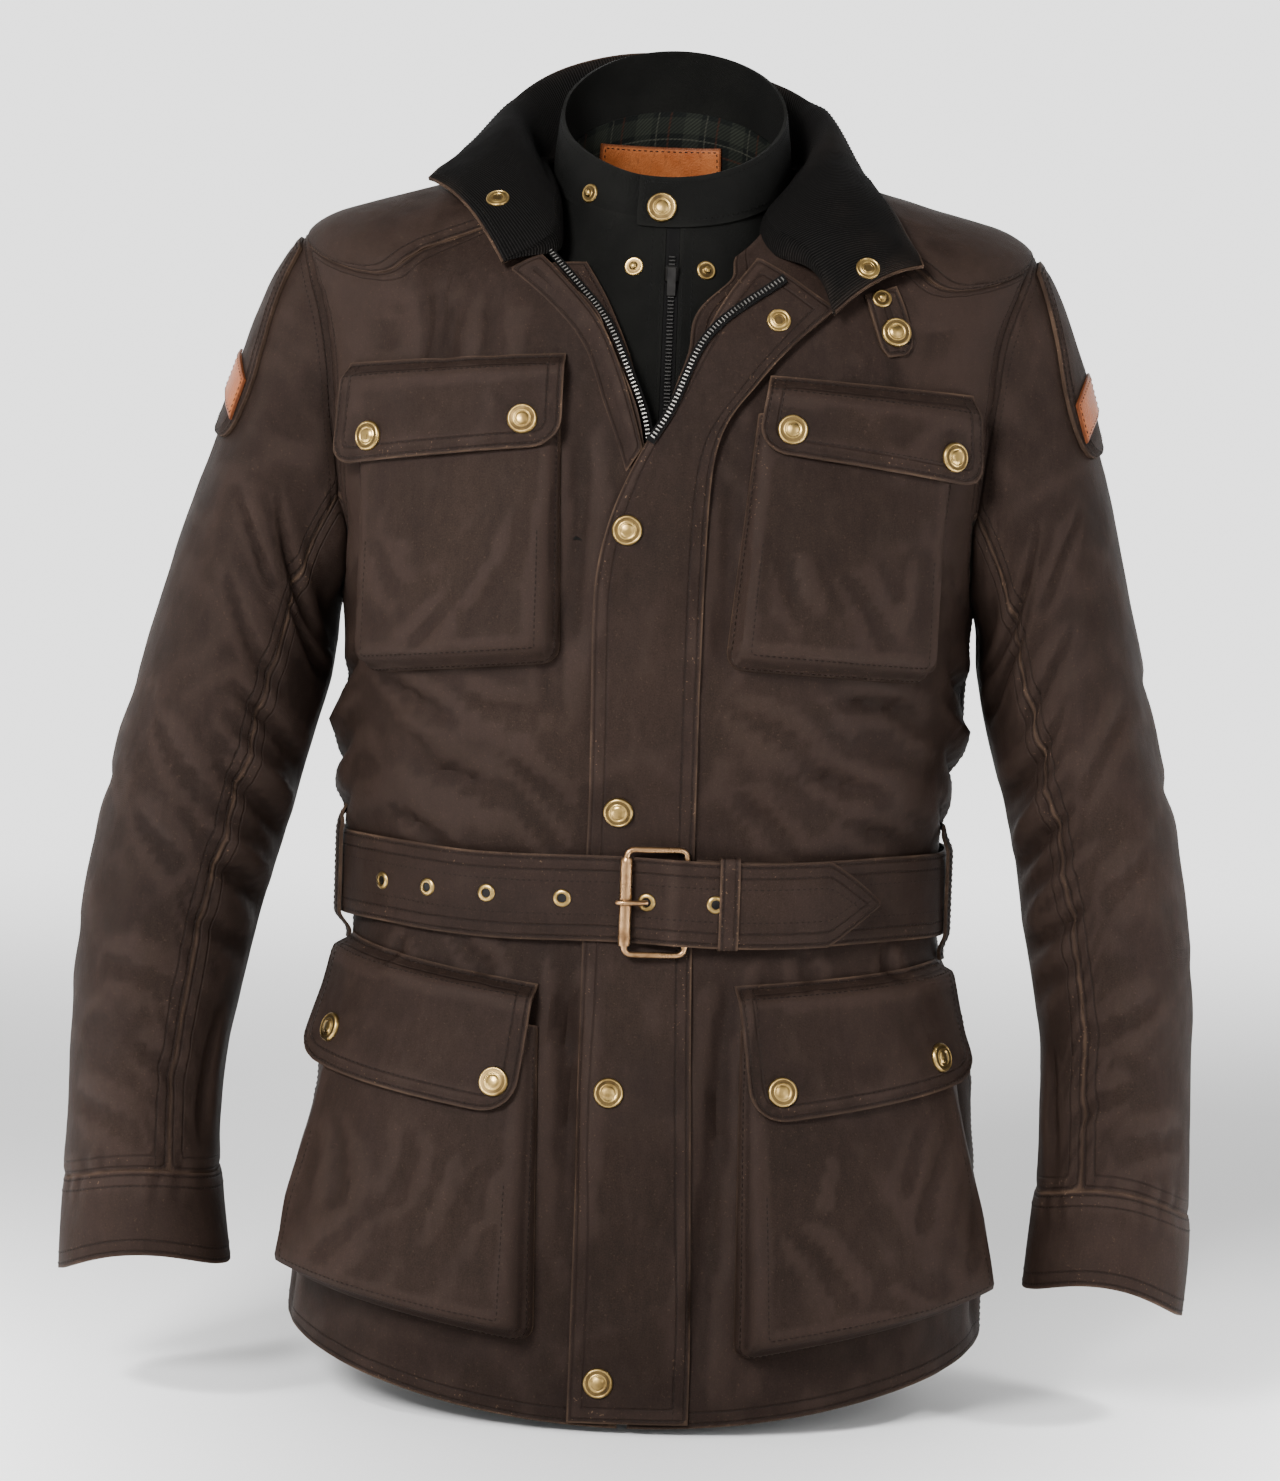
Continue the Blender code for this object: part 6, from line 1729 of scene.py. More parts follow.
POCKETS = (
    PocketPlan(
        "chest_pocket_left", ((-0.181, -0.152), (-0.056, -0.142), (-0.051, -0.296), (-0.177, -0.308)),
        0.004, 0.015, ((-0.189, -0.128), (-0.054, -0.119), (-0.054, -0.173), (-0.195, -0.187)),
        0.016, ((-0.167, -0.17), (-0.076, -0.159)), 0.0075, 0.0145,
        creases((
            (-113, -262, -137, -292, 6, -2.6, 0.08), (-90, -236, -104, -268, 6, 1.8, 0.1),
            (-160, -228, -142, -262, 7, -1.8, -0.1), (-72, -200, -78, -250, 6.5, -2, 0.05),
        ), 0.001),
    ),
    PocketPlan(
        "chest_pocket_right", ((0.058, -0.15), (0.178, -0.158), (0.168, -0.303), (0.044, -0.296)),
        0.004, 0.015, ((0.064, -0.128), (0.189, -0.135), (0.195, -0.188), (0.057, -0.172)),
        0.016, ((0.077, -0.16), (0.172, -0.171)), 0.0075, 0.0145,
        creases((
            (108, -240, 132, -282, 6.5, -2.4, 0.08), (74, -226, 84, -268, 6, -2, -0.08),
            (148, -226, 140, -268, 6.5, 1.8, 0.08),
        ), 0.001),
    ),
    PocketPlan(
        "low_pocket_left", ((-0.196, -0.492), (-0.057, -0.508), (-0.053, -0.69), (-0.222, -0.668)),
        0.007, 0.024, ((-0.204, -0.467), (-0.058, -0.484), (-0.067, -0.56), (-0.221, -0.541)),
        0.02, ((-0.19, -0.523), (-0.078, -0.541)), 0.0095, 0.013,
        creases((
            (-125, -566, -131, -618, 6.5, -3.2, 0.08), (-80, -585, -86, -622, 5.5, -2.6, -0.06),
            (-96, -575, -112, -640, 7, 2.6, 0.06), (-176, -570, -166, -625, 8, -3, 0.08),
            (-150, -625, -180, -655, 7, -2.4, 0.06), (-202, -580, -206, -640, 7, 2.4),
        ), 0.001),
    ),
    PocketPlan(
        "low_pocket_right", ((0.06, -0.506), (0.197, -0.496), (0.228, -0.668), (0.063, -0.696)),
        0.007, 0.024, ((0.056, -0.481), (0.203, -0.47), (0.219, -0.539), (0.067, -0.56)),
        0.02, ((0.083, -0.541), (0.183, -0.526)), 0.0095, 0.013,
        creases((
            (88, -616, 122, -664, 6.5, -3.4, 0.08), (166, -556, 155, -604, 6, -3, 0.06),
            (187, -570, 163, -624, 6, -3, -0.06), (112, -570, 106, -612, 7, 2.4, 0.05),
            (206, -590, 198, -650, 7, -2.6, 0.06), (140, -650, 178, -672, 6.5, 2.2),
        ), 0.001),
    ),
)


class Outline:
    """The four-cornered outline of a flap or bag with rounded lower corners."""

    def __init__(self, corners: tuple, radius: float) -> None:
        """Measures the outline.

        Args:
            corners: Its corners in arc and height, clockwise from the top left.
            radius: Radius of the lower corners.
        """
        self.corners = [np.array(corner) for corner in corners]
        self.radius = radius
        self.width = float(np.linalg.norm(self.corners[1] - self.corners[0]))
        self.height = float(np.linalg.norm(self.corners[3] - self.corners[0]))

    def places(self, over: Points, down: Points) -> Points:
        """Turns distances from the left and top into arc and height."""
        share, fall = (over / self.width)[..., None], (down / self.height)[..., None]
        top_left, top_right, bottom_right, bottom_left = self.corners
        top = top_left * (1 - share) + top_right * share
        foot = bottom_left * (1 - share) + bottom_right * share
        return top * (1 - fall) + foot * fall

    def grid(self, step: float, close: float) -> tuple[Points, Points]:
        """Lays a grid with close lines near its edges.

        Args:
            step: Distance between lines.
            close: Distance between the lines nearest an edge.

        Returns:
            Distances from the left and from the top.
        """
        near = np.array([0, 1, 2, 3.2, 4.6]) * close

        def lines(length: float) -> Points:
            """Spaces lines along a length."""
            inside = max(round((length - 2 * near[-1]) / step), 2)
            middle = np.linspace(near[-1], length - near[-1], inside + 1)[1:-1]
            return np.concatenate([near, middle, length - near[::-1]])

        over, down = np.meshgrid(lines(self.width), lines(self.height))
        for sign, side in ((1, over), (-1, self.width - over)):
            to_side, to_foot = self.radius - side, self.radius - (self.height - down)
            inside = (to_side > 0) & (to_foot > 0)
            scale = np.maximum(to_side, to_foot) / np.maximum(np.hypot(to_side, to_foot), 1e-9)
            scale = np.where(inside, scale, 1)
            over = np.where(inside, over + sign * to_side * (1 - scale), over)
            down = np.where(inside, down - to_foot * (1 - scale), down)
        return over, down

    def line(self, inset: float, top: float) -> Points:
        """Follows the sides and foot at a distance inside them.

        Args:
            inset: The distance.
            top: How far from the top it starts and ends.

        Returns:
            Distances from the left and top, one row each.
        """
        turn = np.linspace(0, math.pi / 2, 9)
        bend = max(self.radius - inset, 0.0005)
        low, right = self.height - inset, self.width - inset
        line = [(inset, top)]
        line += [(inset + bend - bend * math.cos(a), low - bend + bend * math.sin(a)) for a in turn]
        line += [(right - bend + bend * math.sin(a), low - bend + bend * math.cos(a)) for a in turn]
        line.append((right, top))
        line = np.array(line)
        run = lengths_along(line)
        return read_at(np.linspace(0, run[-1], int(run[-1] / 0.003)), run, line)


@dataclass
class Pocket:
    """One bellows pocket: its bag, flap and stitching."""

    shop: Workshop
    plan: PocketPlan
    needle: Needle
    rise: float = 0.012
    bag_radius: float = 0.01

    def depth(self, fall: Points) -> Points:
        """Gives how far the bag stands off the panel at shares of its height."""
        return LIFT + self.plan.mouth + (self.plan.foot - self.plan.mouth) * smoothstep(fall)

    def bag_lift(self, outline: Outline, over: Points, down: Points, places: Points) -> Points:
        """Gives the bag's outer lift: a folded gusset at its edges, creases on its face.

        Args:
            outline: The bag's outline.
            over: Distances from its left.
            down: Distances from its top.
            places: The same as arc and height.

        Returns:
            The lifts.
        """
        plan = self.plan
        side = np.minimum(over, outline.width - over) / plan.side_fold
        foot = (outline.height - down) / plan.foot_fold
        corner = np.clip(1 - side, 0, 1)**2 + np.clip(1 - foot, 0, 1)**2
        inward = 1 - np.sqrt(np.clip(corner, 0, 1))
        wall = 1 - (1 - inward)**2.6
        notch = 0.2 * np.exp(-((inward - 0.42) / 0.13)**2) - 0.05 * np.exp(-((inward - 0.85) / 0.15)**2)
        full = self.depth(down / outline.height)
        face = np.clip(inward, 0, 1)**2
        open_top = smoothstep(down / outline.height, 0.3, 0.55)
        creased = pressed(plan.creases, places[..., 0], places[..., 1], BODY_SCALE) * face * open_top
        slump = 0.0016 * smoothstep(down / outline.height, 0.5, 1.0) * face
        return CLOTH * 0.6 + (full - LIFT) * (wall - notch) + creased + slump + CLOTH * 0.4 * wall + LIFT

    def bag(self) -> None:
        """Makes the bag."""
        outline = Outline(self.plan.bag, self.bag_radius)
        over, down = outline.grid(0.0036, 0.0013)
        outer, normal, lift = self.lifted(outline, over, down, self.bag_lift)
        thick = np.minimum(CLOTH, lift - LIFT * 0.6)[..., None]
        self.shop.panel(f"{self.plan.name}_bag", outer, normal, thick=thick, tone=0.015, rub=1.2, sewn=0.0)
        for inset, top in ((0.0018, self.rise), (self.plan.side_fold + 0.0035, 0.5 * outline.height)):
            self.stitch(*outline.line(inset, top).T, outline, self.bag_lift)

    def flap_lift(self, outline: Outline, over: Points, down: Points, places: Points) -> Points:
        """Gives the flap's outer lift.

        Args:
            outline: The flap's outline.
            over: Distances from its left.
            down: Distances from its top.
            places: The same as arc and height.

        Returns:
            The lifts.
        """
        plan = self.plan
        bag_top = (plan.bag[0][1] + plan.bag[1][1]) / 2
        bag_foot = (plan.bag[2][1] + plan.bag[3][1]) / 2
        fall = np.clip((bag_top - places[..., 1]) / (bag_top - bag_foot), 0, 1)
        rise = smoothstep(down / self.rise)
        low = LIFT * (1 - rise) + (self.depth(fall) + CLOTH + 2 * LAYER) * rise
        for arc, height in plan.snaps:
            away = np.hypot(places[..., 0] - arc, places[..., 1] - height)
            low = low - 0.001 * np.exp(-(away / 0.013)**2)
        middle = (over / outline.width - 0.5) * 2
        low = low + 0.0016 * (1 - middle**2) * smoothstep(down / outline.height, 0.3, 1.0)
        corner = np.clip((np.abs(middle) - 0.8) / 0.2, 0, 1) * smoothstep(down / outline.height, 0.6, 1)
        low = low + 0.0022 * corner
        edge = np.minimum(np.minimum(over, outline.width - over), outline.height - down)
        low = low - 0.0007 * np.exp(-(edge / 0.0022)**2) - 0.0004 * np.exp(-((edge - 0.0048) / 0.0014)**2)
        return low + CLOTH

    def flap(self) -> None:
        """Makes the flap."""
        outline = Outline(self.plan.flap, self.plan.radius)
        over, down = outline.grid(0.0036, 0.0014)
        outer, normal, _ = self.lifted(outline, over, down, self.flap_lift)
        self.shop.panel(f"{self.plan.name}_flap", outer, normal, tone=0.03, rub=1.2)
        for inset in (NEAR_ROW, FAR_ROW):
            self.stitch(*outline.line(inset, 0.002).T, outline, self.flap_lift)
        over = np.linspace(0.003, outline.width - 0.003, 50)
        for top in (NEAR_ROW, FAR_ROW):
            self.stitch(over, over * 0 + top, outline, self.flap_lift)

    def lifted(self, outline: Outline, over: Points, down: Points, lift: Callable,
               more: float = 0.0) -> tuple[Points, Points, Points]:
        """Turns distances from the left and top into points, normals and lifts.

        Args:
            outline: The outline that the distances are measured in.
            over: Distances from its left edge.
            down: Distances from its top edge.
            lift: Gives the height over the body's cloth at each of them.
            more: What is added to that height.

        Returns:
            Points, their normals and the heights alone.
        """
        places = outline.places(over, down)
        high = lift(outline, over, down, places)
        return *BODY.cloth(*BODY.at_arc(places[..., 0], places[..., 1]), high + more), high

    def stitch(self, over: Points, down: Points, outline: Outline, lift: Callable) -> None:
        """Sews a row through distances from the left and top, just over the cloth."""
        self.needle.sew(*self.lifted(outline, over, down, lift, 0.0001)[:2])

    def build(self) -> None:
        """Makes the pocket."""
        self.bag()
        self.flap()


@dataclass
class Fastening:
    """The storm flap, the strips turned out beside the open V, and the two tapes of the zip."""

    shop: Workshop
    # rows from the hem to the collar: arc and height at the left, then at the right
    storm: tuple = (
        (-0.032, -0.7345, 0.038, -0.7335), (-0.032, -0.7, 0.038, -0.698), (-0.032, -0.66, 0.037, -0.658),
        (-0.032, -0.606, 0.035, -0.603), (-0.033, -0.55, 0.033, -0.547), (-0.033, -0.492, 0.031, -0.489),
        (-0.033, -0.434, 0.03, -0.434), (-0.032, -0.375, 0.03, -0.375), (-0.032, -0.317, 0.03, -0.315),
        (-0.0325, -0.262, 0.0305, -0.262), (-0.03, -0.234, 0.031, -0.228), (-0.0245, -0.212, 0.032, -0.198),
        (-0.016, -0.19, 0.035, -0.172), (-0.006, -0.17, 0.043, -0.152), (0.005, -0.15, 0.0545, -0.137),
        (0.014, -0.131, 0.0665, -0.122), (0.023, -0.112, 0.079, -0.109), (0.033, -0.092, 0.088, -0.101),
        (0.044, -0.075, 0.095, -0.095), (0.056, -0.062, 0.101, -0.09),
    )
    left: tuple = (
        (-0.017, -0.186, -0.0075, -0.172), (-0.024, -0.166, -0.013, -0.153),
        (-0.033, -0.143, -0.0205, -0.131), (-0.042, -0.119, -0.0305, -0.108),
        (-0.056, -0.099, -0.043, -0.09), (-0.076, -0.081, -0.061, -0.072),
        (-0.092, -0.07, -0.074, -0.062),
    )
    facing: tuple = (
        (-0.011, -0.174, -0.004, -0.17), (-0.017, -0.15, -0.009, -0.15), (-0.027, -0.126, -0.015, -0.124),
        (-0.039, -0.102, -0.024, -0.1), (-0.055, -0.084, -0.034, -0.079), (-0.074, -0.064, -0.046, -0.06),
    )
    facing_depth: float = 0.0035
    left_zip: tuple = Shell.left_edge
    right_zip: tuple = (
        (-0.005, -0.168), (0.006, -0.15), (0.015, -0.128), (0.027, -0.106), (0.048, -0.088),
        (0.069, -0.074),
    )
    tape_half: float = 0.004
    tape_columns: int = 7
    tooth: tuple = (0.0012, 0.003, 0.0016)
    tooth_step: float = 0.0024
    tooth_sunk: float = 0.0004
    right_tape: tuple = (0.002 - 0.0026, 0.002 + 0.0026)
    right_lift: float = 0.0057
    strap: tuple = (
        (0.118, -0.08, 0.137, -0.074), (0.122, -0.092, 0.142, -0.086), (0.126, -0.104, 0.146, -0.099),
        (0.129, -0.111, 0.147, -0.108), (0.133, -0.115, 0.143, -0.1135),
    )
    needle: Needle = field(default_factory=lambda: Needle("stitching_fastening"))

    def strip(self, rows: tuple, count: int, columns: int) -> Points:
        """Spaces a grid of places between the two ends of rows."""
        table = Table(rows).at(np.linspace(0, len(rows) - 1, count))
        share = np.linspace(0, 1, columns)[None, :, None]
        return table[:, None, :2] * (1 - share) + table[:, None, 2:] * share

    def lying(self, names: Sequence[str], places: Points, high: Any, stitched: dict[str, Sequence[float]],
              seen: bool = False, tone: float = 0.0) -> None:
        """Makes a strip that lies on the body, and sews it.

        Args:
            names: The solids that it stands for.
            places: Its grid of arc and height, or of x and height.
            high: Its outer lift.
            stitched: Insets of its rows of stitches, by edge.
            seen: Whether the places are as seen from the front.
            tone: How much lighter it is.
        """
        find = BODY.at_front if seen else BODY.at_arc
        outer, normal = BODY.cloth(*find(places[..., 0], places[..., 1]), high)
        outer = pressed_edge(outer, normal, (0.0006, 0.0, 0.0022))
        self.shop.panel(names[0], outer, normal, more=names[1:], tone=tone, held=Held.FOLDED)
        for side, insets in stitched.items():
            for inset in insets:
                self.needle.edge(outer, normal, side, inset, 0.002)

    def tape(self, name: str, edge: tuple, start: float, end: float, lift: Any, teeth: float) -> None:
        """Makes a tape and its teeth beside an edge of the V.

        Args:
            name: The solid that it stands for.
            edge: The edge.
            start: Where the tape starts, to the right of the edge.
            end: Where it ends.
            lift: Its lifts, from its start to its end.
            teeth: Where the teeth stand, as a share of its width.
        """
        line = Table(edge).spaced(60)
        run = np.gradient(line, axis=0)
        away = unit(np.stack([run[:, 1], -run[:, 0]], -1))
        share = np.linspace(0, 1, self.tape_columns)
        places = line[:, None] + away[:, None] * (start + (end - start) * share)[None, :, None]
        turn, ring = BODY.at_front(places[..., 0], places[..., 1])
        high = np.asarray(lift)[None]
        outer, normal = BODY.cloth(turn, ring, high + THIN_CLOTH / 2)
        self.shop.panel(name, outer, normal, TAPE, "band", THIN_CLOTH)
        column = round(teeth * (self.tape_columns - 1))
        path = outer[:, column]
        length = lengths_along(path)
        spots = np.arange(0.003, length[-1] - 0.002, self.tooth_step)
        at, along, out = (read_at(spots, length, lines)
                          for lines in (path, np.gradient(path, axis=0), normal[:, column]))
        part = blocks(at - unit(out) * self.tooth_sunk, unit(along), unit(out), self.tooth)
        self.shop.metal(f"{name}_teeth", [part], STEEL, sharp=25)

    def build(self) -> None:
        """Makes the fastening."""
        high = LIFT + CLOTH
        share = np.linspace(0, 1, 23)[None]
        up = np.linspace(0, len(self.storm) - 1, 200)[:, None]
        turned_out = smoothstep(up, 9.5, 13.0)
        bowl = high + turned_out * (CLOTH + LAYER + 0.003 * (1 - share)**2 * share**0.3 + 0.0006)
        ripple = 0.0007 * np.sin(up * 2.3 + 1.2) * (1 - share) * (1 - turned_out)
        ripple = ripple + 0.0004 * np.sin(up * 5.1 + share * 2) * (1 - turned_out)
        self.lying(("storm_flap", "lapel_right"), self.strip(self.storm, 200, 23), bowl + ripple,
                   {"right": (NEAR_ROW, FAR_ROW), "first": (NEAR_ROW,)}, tone=0.03)
        share = np.linspace(0, 1, 10)[None]
        roll = 0.0004 + (high - 0.0004) * smoothstep(share, 0.0, 0.85) + 0.0008 * np.sin(math.pi * share)
        self.lying(("lapel_left",), self.strip(self.left, 44, 10), roll, {})
        under = -CLOTH - LAYER - self.facing_depth * np.linspace(0, 1, 12)[None]**1.5
        self.lying(("facing_left",), self.strip(self.facing, 44, 12), under, {"right": (0.003,)}, True, 0.03)
        lift = -CLOTH * np.linspace(0.2, 1.3, self.tape_columns)
        self.tape("zip_tape_left", self.left_zip, 0.0013, 2 * self.tape_half - 0.002, lift, 0.34)
        lift = np.full(self.tape_columns, high + self.right_lift)
        self.tape("zip_tape_right", self.right_zip, *self.right_tape, lift, 0.5)
        rows = {side: (NEAR_ROW,) for side in ("left", "right", "last")}
        self.lying(("collar_strap",), self.strip(self.strap, 20, 10), high, rows, tone=0.04)
        self.needle.make(self.shop)


@dataclass
class Collar:
    """The collar laid open: brown cloth under, corduroy on its face."""

    shop: Workshop
    # turn in degrees, ring, lift of the neck seam; free edge x y z; bulge
    leaves: tuple = (
        (-28.1, 13.76, 0.0055, -0.144, -0.029, -0.017, 0.009),
        (-32.2, 15.08, 0.004, -0.1385, -0.016, -0.01, 0.011),
        (-42.0, 15.75, 0.002, -0.132, -0.004, -0.004, 0.013),
        (-62.0, 16.00, 0.001, -0.124, 0.012, 0.004, 0.015),
        (-90.0, 16.00, 0.0008, -0.112, 0.034, 0.019, 0.015),
        (-115.0, 16.00, 0.0008, -0.098, 0.055, 0.038, 0.01),
        (-145.0, 16.00, 0.0008, -0.068, 0.077, 0.061, 0.004),
        (180.0, 16.00, 0.0008, -0.005, 0.088, 0.0715, 0.002),
        (145.0, 16.00, 0.0008, 0.05, 0.08, 0.057, 0.004),
        (115.0, 16.00, 0.0008, 0.082, 0.058, 0.04, 0.01),
        (90.0, 16.00, 0.0008, 0.1, 0.028, 0.018, 0.015),
        (62.0, 16.00, 0.001, 0.112, -0.004, -0.004, 0.015),
        (44.0, 15.95, 0.004, 0.127, -0.042, -0.024, 0.013),
        (36.0, 15.4, 0.0085, 0.139, -0.066, -0.043, 0.01),
        (30.0, 14.3, 0.0095, 0.146, -0.08, -0.054, 0.008),
        (25.3, 12.45, 0.0095, 0.15, -0.089, -0.062, 0.006),
    )
    unrest: Crumple = Crumple(0.06, 0.0013, 33)
    fade: int = 22

    def leaf(self, place: Points, share: Points, table: Table) -> Points:
        """Gives points of the collar's lower side, between its neck seam and its free edge."""
        row = table.at(place)
        share = share[..., None]
        points = row[..., :3] * (1 - share) + row[..., 3:6] * share
        points[..., 2:] += row[..., 6:] * 4 * share * (1 - share)
        return points

    def grid(self, ends: float, edge: float, lift: float) -> tuple[Points, Points]:
        """Spaces a grid over the collar.

        Args:
            ends: How far it stops short of both ends, in leaves.
            edge: How far across it reaches, as a share.
            lift: How far it stands off the lower side.

        Returns:
            Points and normals, rows from the seam to the edge.
        """
        rows = np.array(self.leaves)
        normal = facing(BODY.smooth, np.radians(rows[:, 0]), rows[:, 1])
        seam = BODY.smooth(np.radians(rows[:, 0]), rows[:, 1]) + normal * rows[:, 2:3]
        table = Table(np.concatenate([seam, rows[:, 3:]], axis=1))
        place, share = np.meshgrid(np.linspace(ends, len(rows) - 1 - ends, 171), np.linspace(0, edge, 26))
        points = self.leaf(place, share, table)
        way = facing(lambda a, b: self.leaf(a, b, table), place, share)
        crumple = self.unrest.at(points) * smoothstep(share, 0.0, 0.5)
        return points + way * (lift + crumple)[..., None], way

    def build(self) -> None:
        """Makes the collar."""
        outer, way = self.grid(0.0, 1.0, 0.0)
        self.shop.panel("collar_under", outer, -way, tone=0.04, held=Held.FOLDED)
        face, way = self.grid(0.045, 0.972, CLOTH + 0.0003 + THIN_CLOTH)
        face, way = self.reach_in(face, way)
        face = pressed_edge(face, way, (0.001, 0.0, 0.002))
        piece = self.shop.panel("collar_face", face, way, CORDUROY, thick=THIN_CLOTH, held=Held.FOLDED)
        self.level_ribs(piece, face)
        needle = Needle("stitching_collar", DARK_THREAD)
        for side, inset in (("last", 0.0045), ("left", 0.0045), ("right", 0.0045)):
            needle.edge(face, way, side, inset, 0.004)
        needle.make(self.shop)

    def reach_in(self, face: Points, way: Points) -> tuple[Points, Points]:
        """Carries the face from its neck seam down and in, to the standing collar of the liner.

        Args:
            face: The face's grid, its first row at the seam.
            way: Its normals.

        Returns:
            The longer grid and its normals.
        """
        seam = face[0]
        inward = unit((np.array([0.0, -0.012, 0.0]) - seam) * (1, 1, 0))
        share = np.linspace(1, 0, 7)[:-1, None, None]
        number = np.arange(len(seam))
        ends = np.clip(number / self.fade, 0, 1) * np.clip((len(seam) - 1 - number) / self.fade, 0, 1)
        ahead = smoothstep(-seam[:, 1], -0.035, 0.01)
        far = ((0.0012 + 0.0068 * smoothstep(ends)) * (0.15 + 0.85 * ahead))[None, :, None]
        drop = ((0.15 + 0.85 * smoothstep(ends)) * (0.08 + 0.92 * ahead))[None, :, None]
        rows = seam + inward * far * (1 - (1 - share)**1.6) - UP * 0.013 * drop * share**1.8
        out = unit(way[0] * (1 - share * 0.8) + inward * share * 0.8)
        return np.concatenate([rows, face]), np.concatenate([out, way])

    def level_ribs(self, piece: bpy.types.Object, face: Points) -> None:
        """Gives every row the lengths of the middle row, so that the ribs run straight across."""
        rows = len(face)
        run = lengths_along(face[rows // 2])
        down = lengths_over(face)[..., 1]
        lengths = np.tile(np.stack([np.tile(run, (rows, 1)), down], -1).reshape(-1, 2), (2, 1))
        corner = np.empty(len(piece.data.loops), int)
        piece.data.loops.foreach_get("vertex_index", corner)
        piece.data.uv_layers["metres"].data.foreach_set("uv", lengths[corner].reshape(-1))


@dataclass
class Liner:
    """The black liner that shows in the neck: standing collar, fronts, zip, back lining, label."""

    shop: Workshop
    # half width, front, back, heights at front, side and back
    foot: tuple = (0.0715, 0.084, 0.0575, -0.043, -0.008, 0.031)
    top: tuple = (0.0675, 0.0765, 0.055, -0.0135, 0.029, 0.071)
    start: float = math.radians(-14)
    end: float = math.radians(370)
    lap: float = math.radians(40)
    zip_x: float = 0.005
    zip_half: float = 0.0045
    bib_foot: float = -0.225
    bib_half: float = 0.078
    bib_depth: float = 0.0029
    bib_rows: tuple = (("near", 0.0022), ("near", 0.008), ("far", 0.004))
    ahead: ClassVar[Points] = np.array([0.0, -1.0, 0.0])
    zip_gap: float = 0.0003
    tooth: tuple = (0.0012, 0.0042, 0.0012)
    tooth_share: float = 0.0115
    teeth: tuple = (0.03, 0.885)
    # angles of its ends, heights of its top and foot
    label: tuple = (-0.74, 0.42, 0.013, -0.019)
    needle: Needle = field(default_factory=lambda: Needle("stitching_liner", DARK_THREAD))
    unrest: Crumple = Crumple(0.032, 0.0007, 52)

    def stand(self, angle: Any, share: Any, lift: Any = 0.0) -> Points:
        """Gives points of the standing collar: angle 0 in front, share 0 at its foot."""
        angle, share = np.broadcast_arrays(np.asarray(angle, float), np.asarray(share, float))
        sizes = [low + (high - low) * share for low, high in zip(self.foot, self.top)]
        half_width, front, back, front_z, side_z, back_z = sizes
        across, ahead = np.sin(angle), np.cos(angle)
        y = np.where(ahead >= 0, -(front + lift) * ahead, -(back + lift) * ahead)
        z = side_z + (front_z - back_z) / 2 * ahead + ((front_z + back_z) / 2 - side_z) * ahead**2
        return np.stack([(half_width + lift) * across, y, z], -1)

    def collar(self) -> None:
        """Makes the standing collar, its ends lapped at the front."""
        angle, share = np.meshgrid(np.linspace(self.start, self.end, 181), np.linspace(0, 1, 15))
        tuck = -0.0035 * smoothstep((angle - self.end + 2 * self.lap) / self.lap)
        swell = 0.0009 * np.sin(math.pi * share)
        outer = self.stand(angle, share, tuck + swell)
        outer = outer + facing(self.stand, angle, share) * (self.unrest.at(outer) * 0.7)[..., None]
        inner = outer + (self.stand(angle, share, tuck - CLOTH) - self.stand(angle, share, tuck))
        self.shop.cloth("liner_collar_cloth", outer, inner, LINER, ["liner_collar"], held=Held.FOLDED)
        way = unit(outer - inner)
        for side, inset in (("last", 0.0035), ("first", 0.004), ("left", 0.0035)):
            self.needle.edge(outer, way, side, inset, 0.003)

    def bib_point(self, x: Any, share: Any, lift: Any = 0.0) -> Points:
        """Gives points of the liner's front: share 0 behind the fronts, 1 at the collar's seam."""
        x, share = np.broadcast_arrays(np.asarray(x, float), np.asarray(share, float))
        turn, ring = BODY.at_front(x, np.full(x.shape, self.bib_foot))
        normal = facing(BODY.smooth, turn, ring)
        foot = BODY.smooth(turn, ring) - normal * self.bib_depth
        top = self.stand(np.arcsin(x / (self.foot[0] + 0.01)), np.zeros(x.shape), -0.0032)
        top = top + UP * 0.005
        share = share[..., None]
        return foot * (1 - share) + top * share + self.ahead * np.asarray(lift)[..., None]

    def bib(self) -> None:
        """Makes the two liner fronts and the zip between them."""
        share = np.linspace(0, 1, 46)[:, None]
        left_edge, right_edge = self.zip_x - self.zip_half, self.zip_x + self.zip_half
        spans = {
            "liner_front_left": (-self.bib_half, left_edge - self.zip_gap, 26, LINER),
            "liner_front_right": (right_edge + self.zip_gap, self.bib_half, 26, LINER),
            "liner_zip": (left_edge, right_edge, 9, TAPE),
        }
        for name, (left, right, columns, finish) in spans.items():
            x = np.linspace(left, right, columns)[None]
            flat = self.bib_point(x, share)
            wave = 0.0 if finish is TAPE else self.unrest.at(flat) * smoothstep(1 - share, 0.0, 0.2)
            roll = 0.0 if finish is TAPE else 0.0008 * np.exp(-(np.abs(x - self.zip_x) - 0.008)**2 / 9e-6)
            outer = self.bib_point(x, share, wave * 1.2 + roll)
            inner = self.bib_point(x, share, wave * 1.2 + roll - THIN_CLOTH)
            self.shop.cloth(f"{name}_cloth", outer, inner, finish, [name], held=Held.HUNG)
            if finish is LINER:
                near, far = ("right", "left") if name.endswith("left") else ("left", "right")
                for side, inset in self.bib_rows:
                    self.needle.sew(rail(outer, near if side == "near" else far, inset, 0.002), self.ahead)
        share = np.arange(*self.teeth, self.tooth_share)
        spots = self.bib_point(np.full(share.shape, self.zip_x), share, 0.0001)
        along = unit(np.gradient(spots, axis=0))
        part = blocks(spots, along, np.tile(self.ahead, (len(spots), 1)), self.tooth)
        self.shop.metal("liner_zip_teeth", [part], BLACK_METAL, sharp=25)

